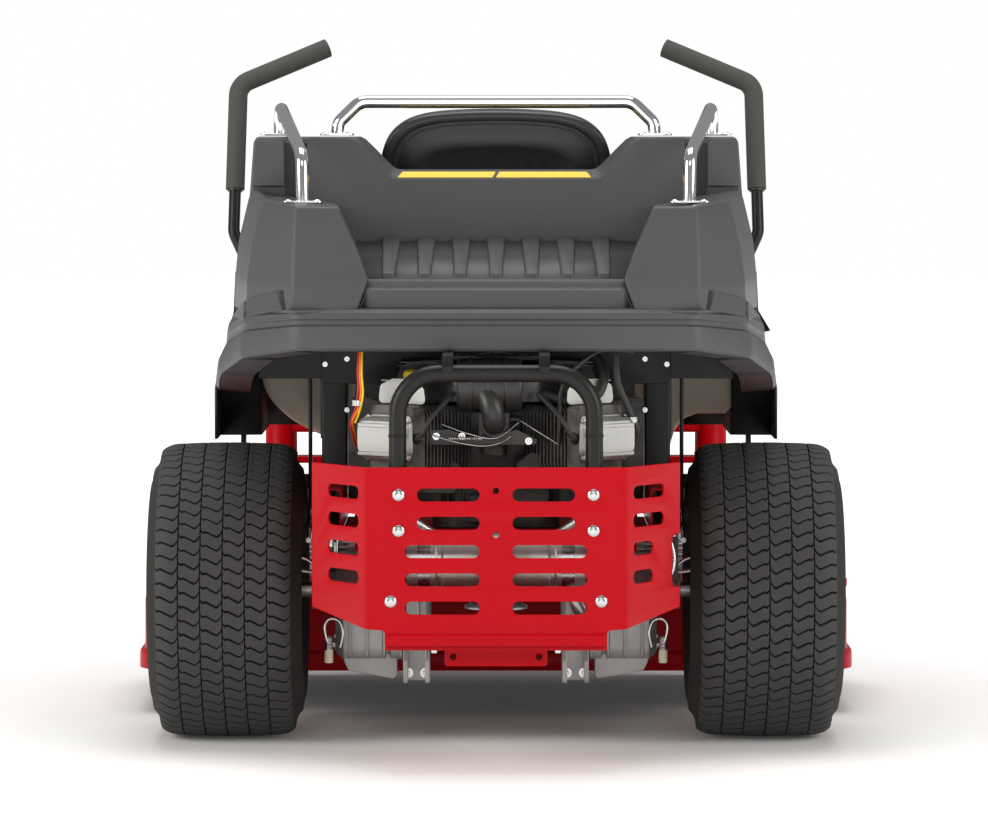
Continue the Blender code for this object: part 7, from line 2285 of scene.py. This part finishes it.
def build_stage():
    """A pale floor, soft light and the camera behind the mower."""
    scene = bpy.context.scene
    bm = bmesh.new()
    add_block(bm, (-30, -30, -0.02), (30, 30, -0.0005))
    mesh = mesh_from(bm, 'floor')
    floor = bpy.data.objects.new('floor', mesh)
    mesh.materials.append(finish('studio_floor'))
    scene.collection.objects.link(floor)
    world = bpy.data.worlds.new('studio')
    world.use_nodes = True
    tree = world.node_tree
    soft = tree.nodes['Background']
    soft.inputs['Color'].default_value = (1.0, 1.0, 1.0, 1.0)
    soft.inputs['Strength'].default_value = 0.27
    backdrop = tree.nodes.new('ShaderNodeBackground')
    backdrop.inputs['Color'].default_value = (1.0, 1.0, 1.0, 1.0)
    backdrop.inputs['Strength'].default_value = 1.0
    seen = tree.nodes.new('ShaderNodeLightPath')
    both_ways = tree.nodes.new('ShaderNodeMixShader')
    tree.links.new(seen.outputs['Is Camera Ray'], both_ways.inputs[0])
    tree.links.new(soft.outputs[0], both_ways.inputs[1])
    tree.links.new(backdrop.outputs[0], both_ways.inputs[2])
    tree.links.new(both_ways.outputs[0], tree.nodes['World Output'].inputs[0])
    scene.world = world
    scene.view_settings.view_transform = 'Standard'
    area_light('left_softbox', (-3.6, -2.6, 1.9), (0, -0.5, 0.5), 2.2, 120, warm=True)
    area_light('right_softbox', (3.6, -2.6, 1.9), (0, -0.5, 0.5), 2.2, 100, warm=True)
    area_light('rear_softbox', (0.0, -6.0, 3.0), (0, -0.6, 0.5), 2.4, 34)
    area_light('top_light', (0.0, 0.2, 4.2), (0, -0.3, 0.4), 3.0, 110)
    area_light('low_light', (0.0, -4.6, 0.5), (0, -0.8, 0.4), 1.6, 7, 0.6)
    sizes = scene.mower_sizes
    camera = bpy.data.cameras.new('camera')
    camera.lens = sizes.camera_lens
    camera.sensor_width = 36
    camera.clip_end = 100
    holder = bpy.data.objects.new('camera', camera)
    scene.collection.objects.link(holder)
    holder.location = (0.0, AXLE.y - sizes.camera_back, sizes.camera_height)
    pitch = math.atan(0.05)
    holder.rotation_euler = Euler((math.pi / 2 - pitch, 0.0, 0.0))
    camera.shift_x = -0.002024
    scene.camera = holder


# operators and panel


class MOWER_OT_frame(bpy.types.Operator):
    """Build the rails, front beam and rear uprights"""
    bl_idname = 'mower.frame'
    bl_label = 'Frame'

    def execute(self, context):
        build_frame()
        return {'FINISHED'}


class MOWER_OT_guard(bpy.types.Operator):
    """Build the slotted engine guard, its hoop and the cradle"""
    bl_idname = 'mower.guard'
    bl_label = 'Engine guard'

    def execute(self, context):
        build_guard()
        return {'FINISHED'}


class MOWER_OT_rear_wheels(bpy.types.Operator):
    """Build both rear wheels with their tread"""
    bl_idname = 'mower.rear_wheels'
    bl_label = 'Rear wheels'

    def execute(self, context):
        build_rear_wheels()
        return {'FINISHED'}


class MOWER_OT_casters(bpy.types.Operator):
    """Build both front casters"""
    bl_idname = 'mower.casters'
    bl_label = 'Casters'

    def execute(self, context):
        build_casters()
        return {'FINISHED'}


class MOWER_OT_cowl(bpy.types.Operator):
    """Build the pods, skirt, towers, load bed and consoles"""
    bl_idname = 'mower.cowl'
    bl_label = 'Cowl'

    def execute(self, context):
        build_pods()
        build_skirt()
        build_towers()
        build_bed()
        build_consoles()
        return {'FINISHED'}


class MOWER_OT_rails(bpy.types.Operator):
    """Build the chrome cargo rails and the rail behind the seat"""
    bl_idname = 'mower.rails'
    bl_label = 'Chrome rails'

    def execute(self, context):
        build_rails()
        return {'FINISHED'}


class MOWER_OT_seat(bpy.types.Operator):
    """Build the seat's back, cushion and shells"""
    bl_idname = 'mower.seat'
    bl_label = 'Seat'

    def execute(self, context):
        build_seat_back()
        build_seat_cushion()
        return {'FINISHED'}


class MOWER_OT_engine(bpy.types.Operator):
    """Build the engine, its wiring and the silencer"""
    bl_idname = 'mower.engine'
    bl_label = 'Engine'

    def execute(self, context):
        build_engine()
        build_wiring()
        build_muffler()
        return {'FINISHED'}


class MOWER_OT_drive(bpy.types.Operator):
    """Build the transaxles, pulleys and the small brackets beside them"""
    bl_idname = 'mower.drive'
    bl_label = 'Drive'

    def execute(self, context):
        build_transaxles()
        build_belts()
        build_supports()
        return {'FINISHED'}


class MOWER_OT_tanks(bpy.types.Operator):
    """Build the fuel tanks, filler neck and cap"""
    bl_idname = 'mower.tanks'
    bl_label = 'Fuel tanks'

    def execute(self, context):
        build_tanks()
        return {'FINISHED'}


class MOWER_OT_footplate(bpy.types.Operator):
    """Build the floor pan and its mat"""
    bl_idname = 'mower.footplate'
    bl_label = 'Footplate'

    def execute(self, context):
        build_footplate()
        return {'FINISHED'}


class MOWER_OT_deck(bpy.types.Operator):
    """Build the cutting deck, its blades and the discharge flap"""
    bl_idname = 'mower.deck'
    bl_label = 'Cutting deck'

    def execute(self, context):
        build_deck()
        return {'FINISHED'}


class MOWER_OT_controls(bpy.types.Operator):
    """Build the hand levers, lap bars and console controls"""
    bl_idname = 'mower.controls'
    bl_label = 'Controls'

    def execute(self, context):
        build_levers()
        build_lap_bars()
        build_controls()
        return {'FINISHED'}


class MOWER_OT_stage(bpy.types.Operator):
    """Set the floor, the lights and the camera"""
    bl_idname = 'mower.stage'
    bl_label = 'Stage'

    def execute(self, context):
        build_stage()
        return {'FINISHED'}


STEPS = (MOWER_OT_stage, MOWER_OT_frame, MOWER_OT_guard, MOWER_OT_rear_wheels, MOWER_OT_casters,
    MOWER_OT_cowl, MOWER_OT_rails, MOWER_OT_seat, MOWER_OT_engine, MOWER_OT_drive, MOWER_OT_tanks,
    MOWER_OT_footplate, MOWER_OT_deck, MOWER_OT_controls)


class MOWER_PT_panel(bpy.types.Panel):
    """The mower's sizes, colours and build steps"""
    bl_idname = 'MOWER_PT_panel'
    bl_label = 'Zero Turn Mower'
    bl_space_type = 'VIEW_3D'
    bl_region_type = 'UI'
    bl_category = 'Mower'

    def draw(self, context):
        layout = self.layout
        for group in (context.scene.mower_finishes, context.scene.mower_sizes):
            box = layout.box()
            for key in group.__annotations__:
                box.prop(group, key)
        for step in STEPS:
            layout.operator(step.bl_idname)


CLASSES = (MowerFinishes, MowerSizes) + STEPS + (MOWER_PT_panel,)


def register():
    for item in CLASSES:
        bpy.utils.register_class(item)
    bpy.types.Scene.mower_finishes = bpy.props.PointerProperty(type=MowerFinishes)
    bpy.types.Scene.mower_sizes = bpy.props.PointerProperty(type=MowerSizes)


def unregister():
    del bpy.types.Scene.mower_sizes
    del bpy.types.Scene.mower_finishes
    for item in reversed(CLASSES):
        bpy.utils.unregister_class(item)


def main():
    register()
    for step in STEPS:
        group, name = step.bl_idname.split('.')
        getattr(getattr(bpy.ops, group), name)()


if __name__ == '__main__':
    main()
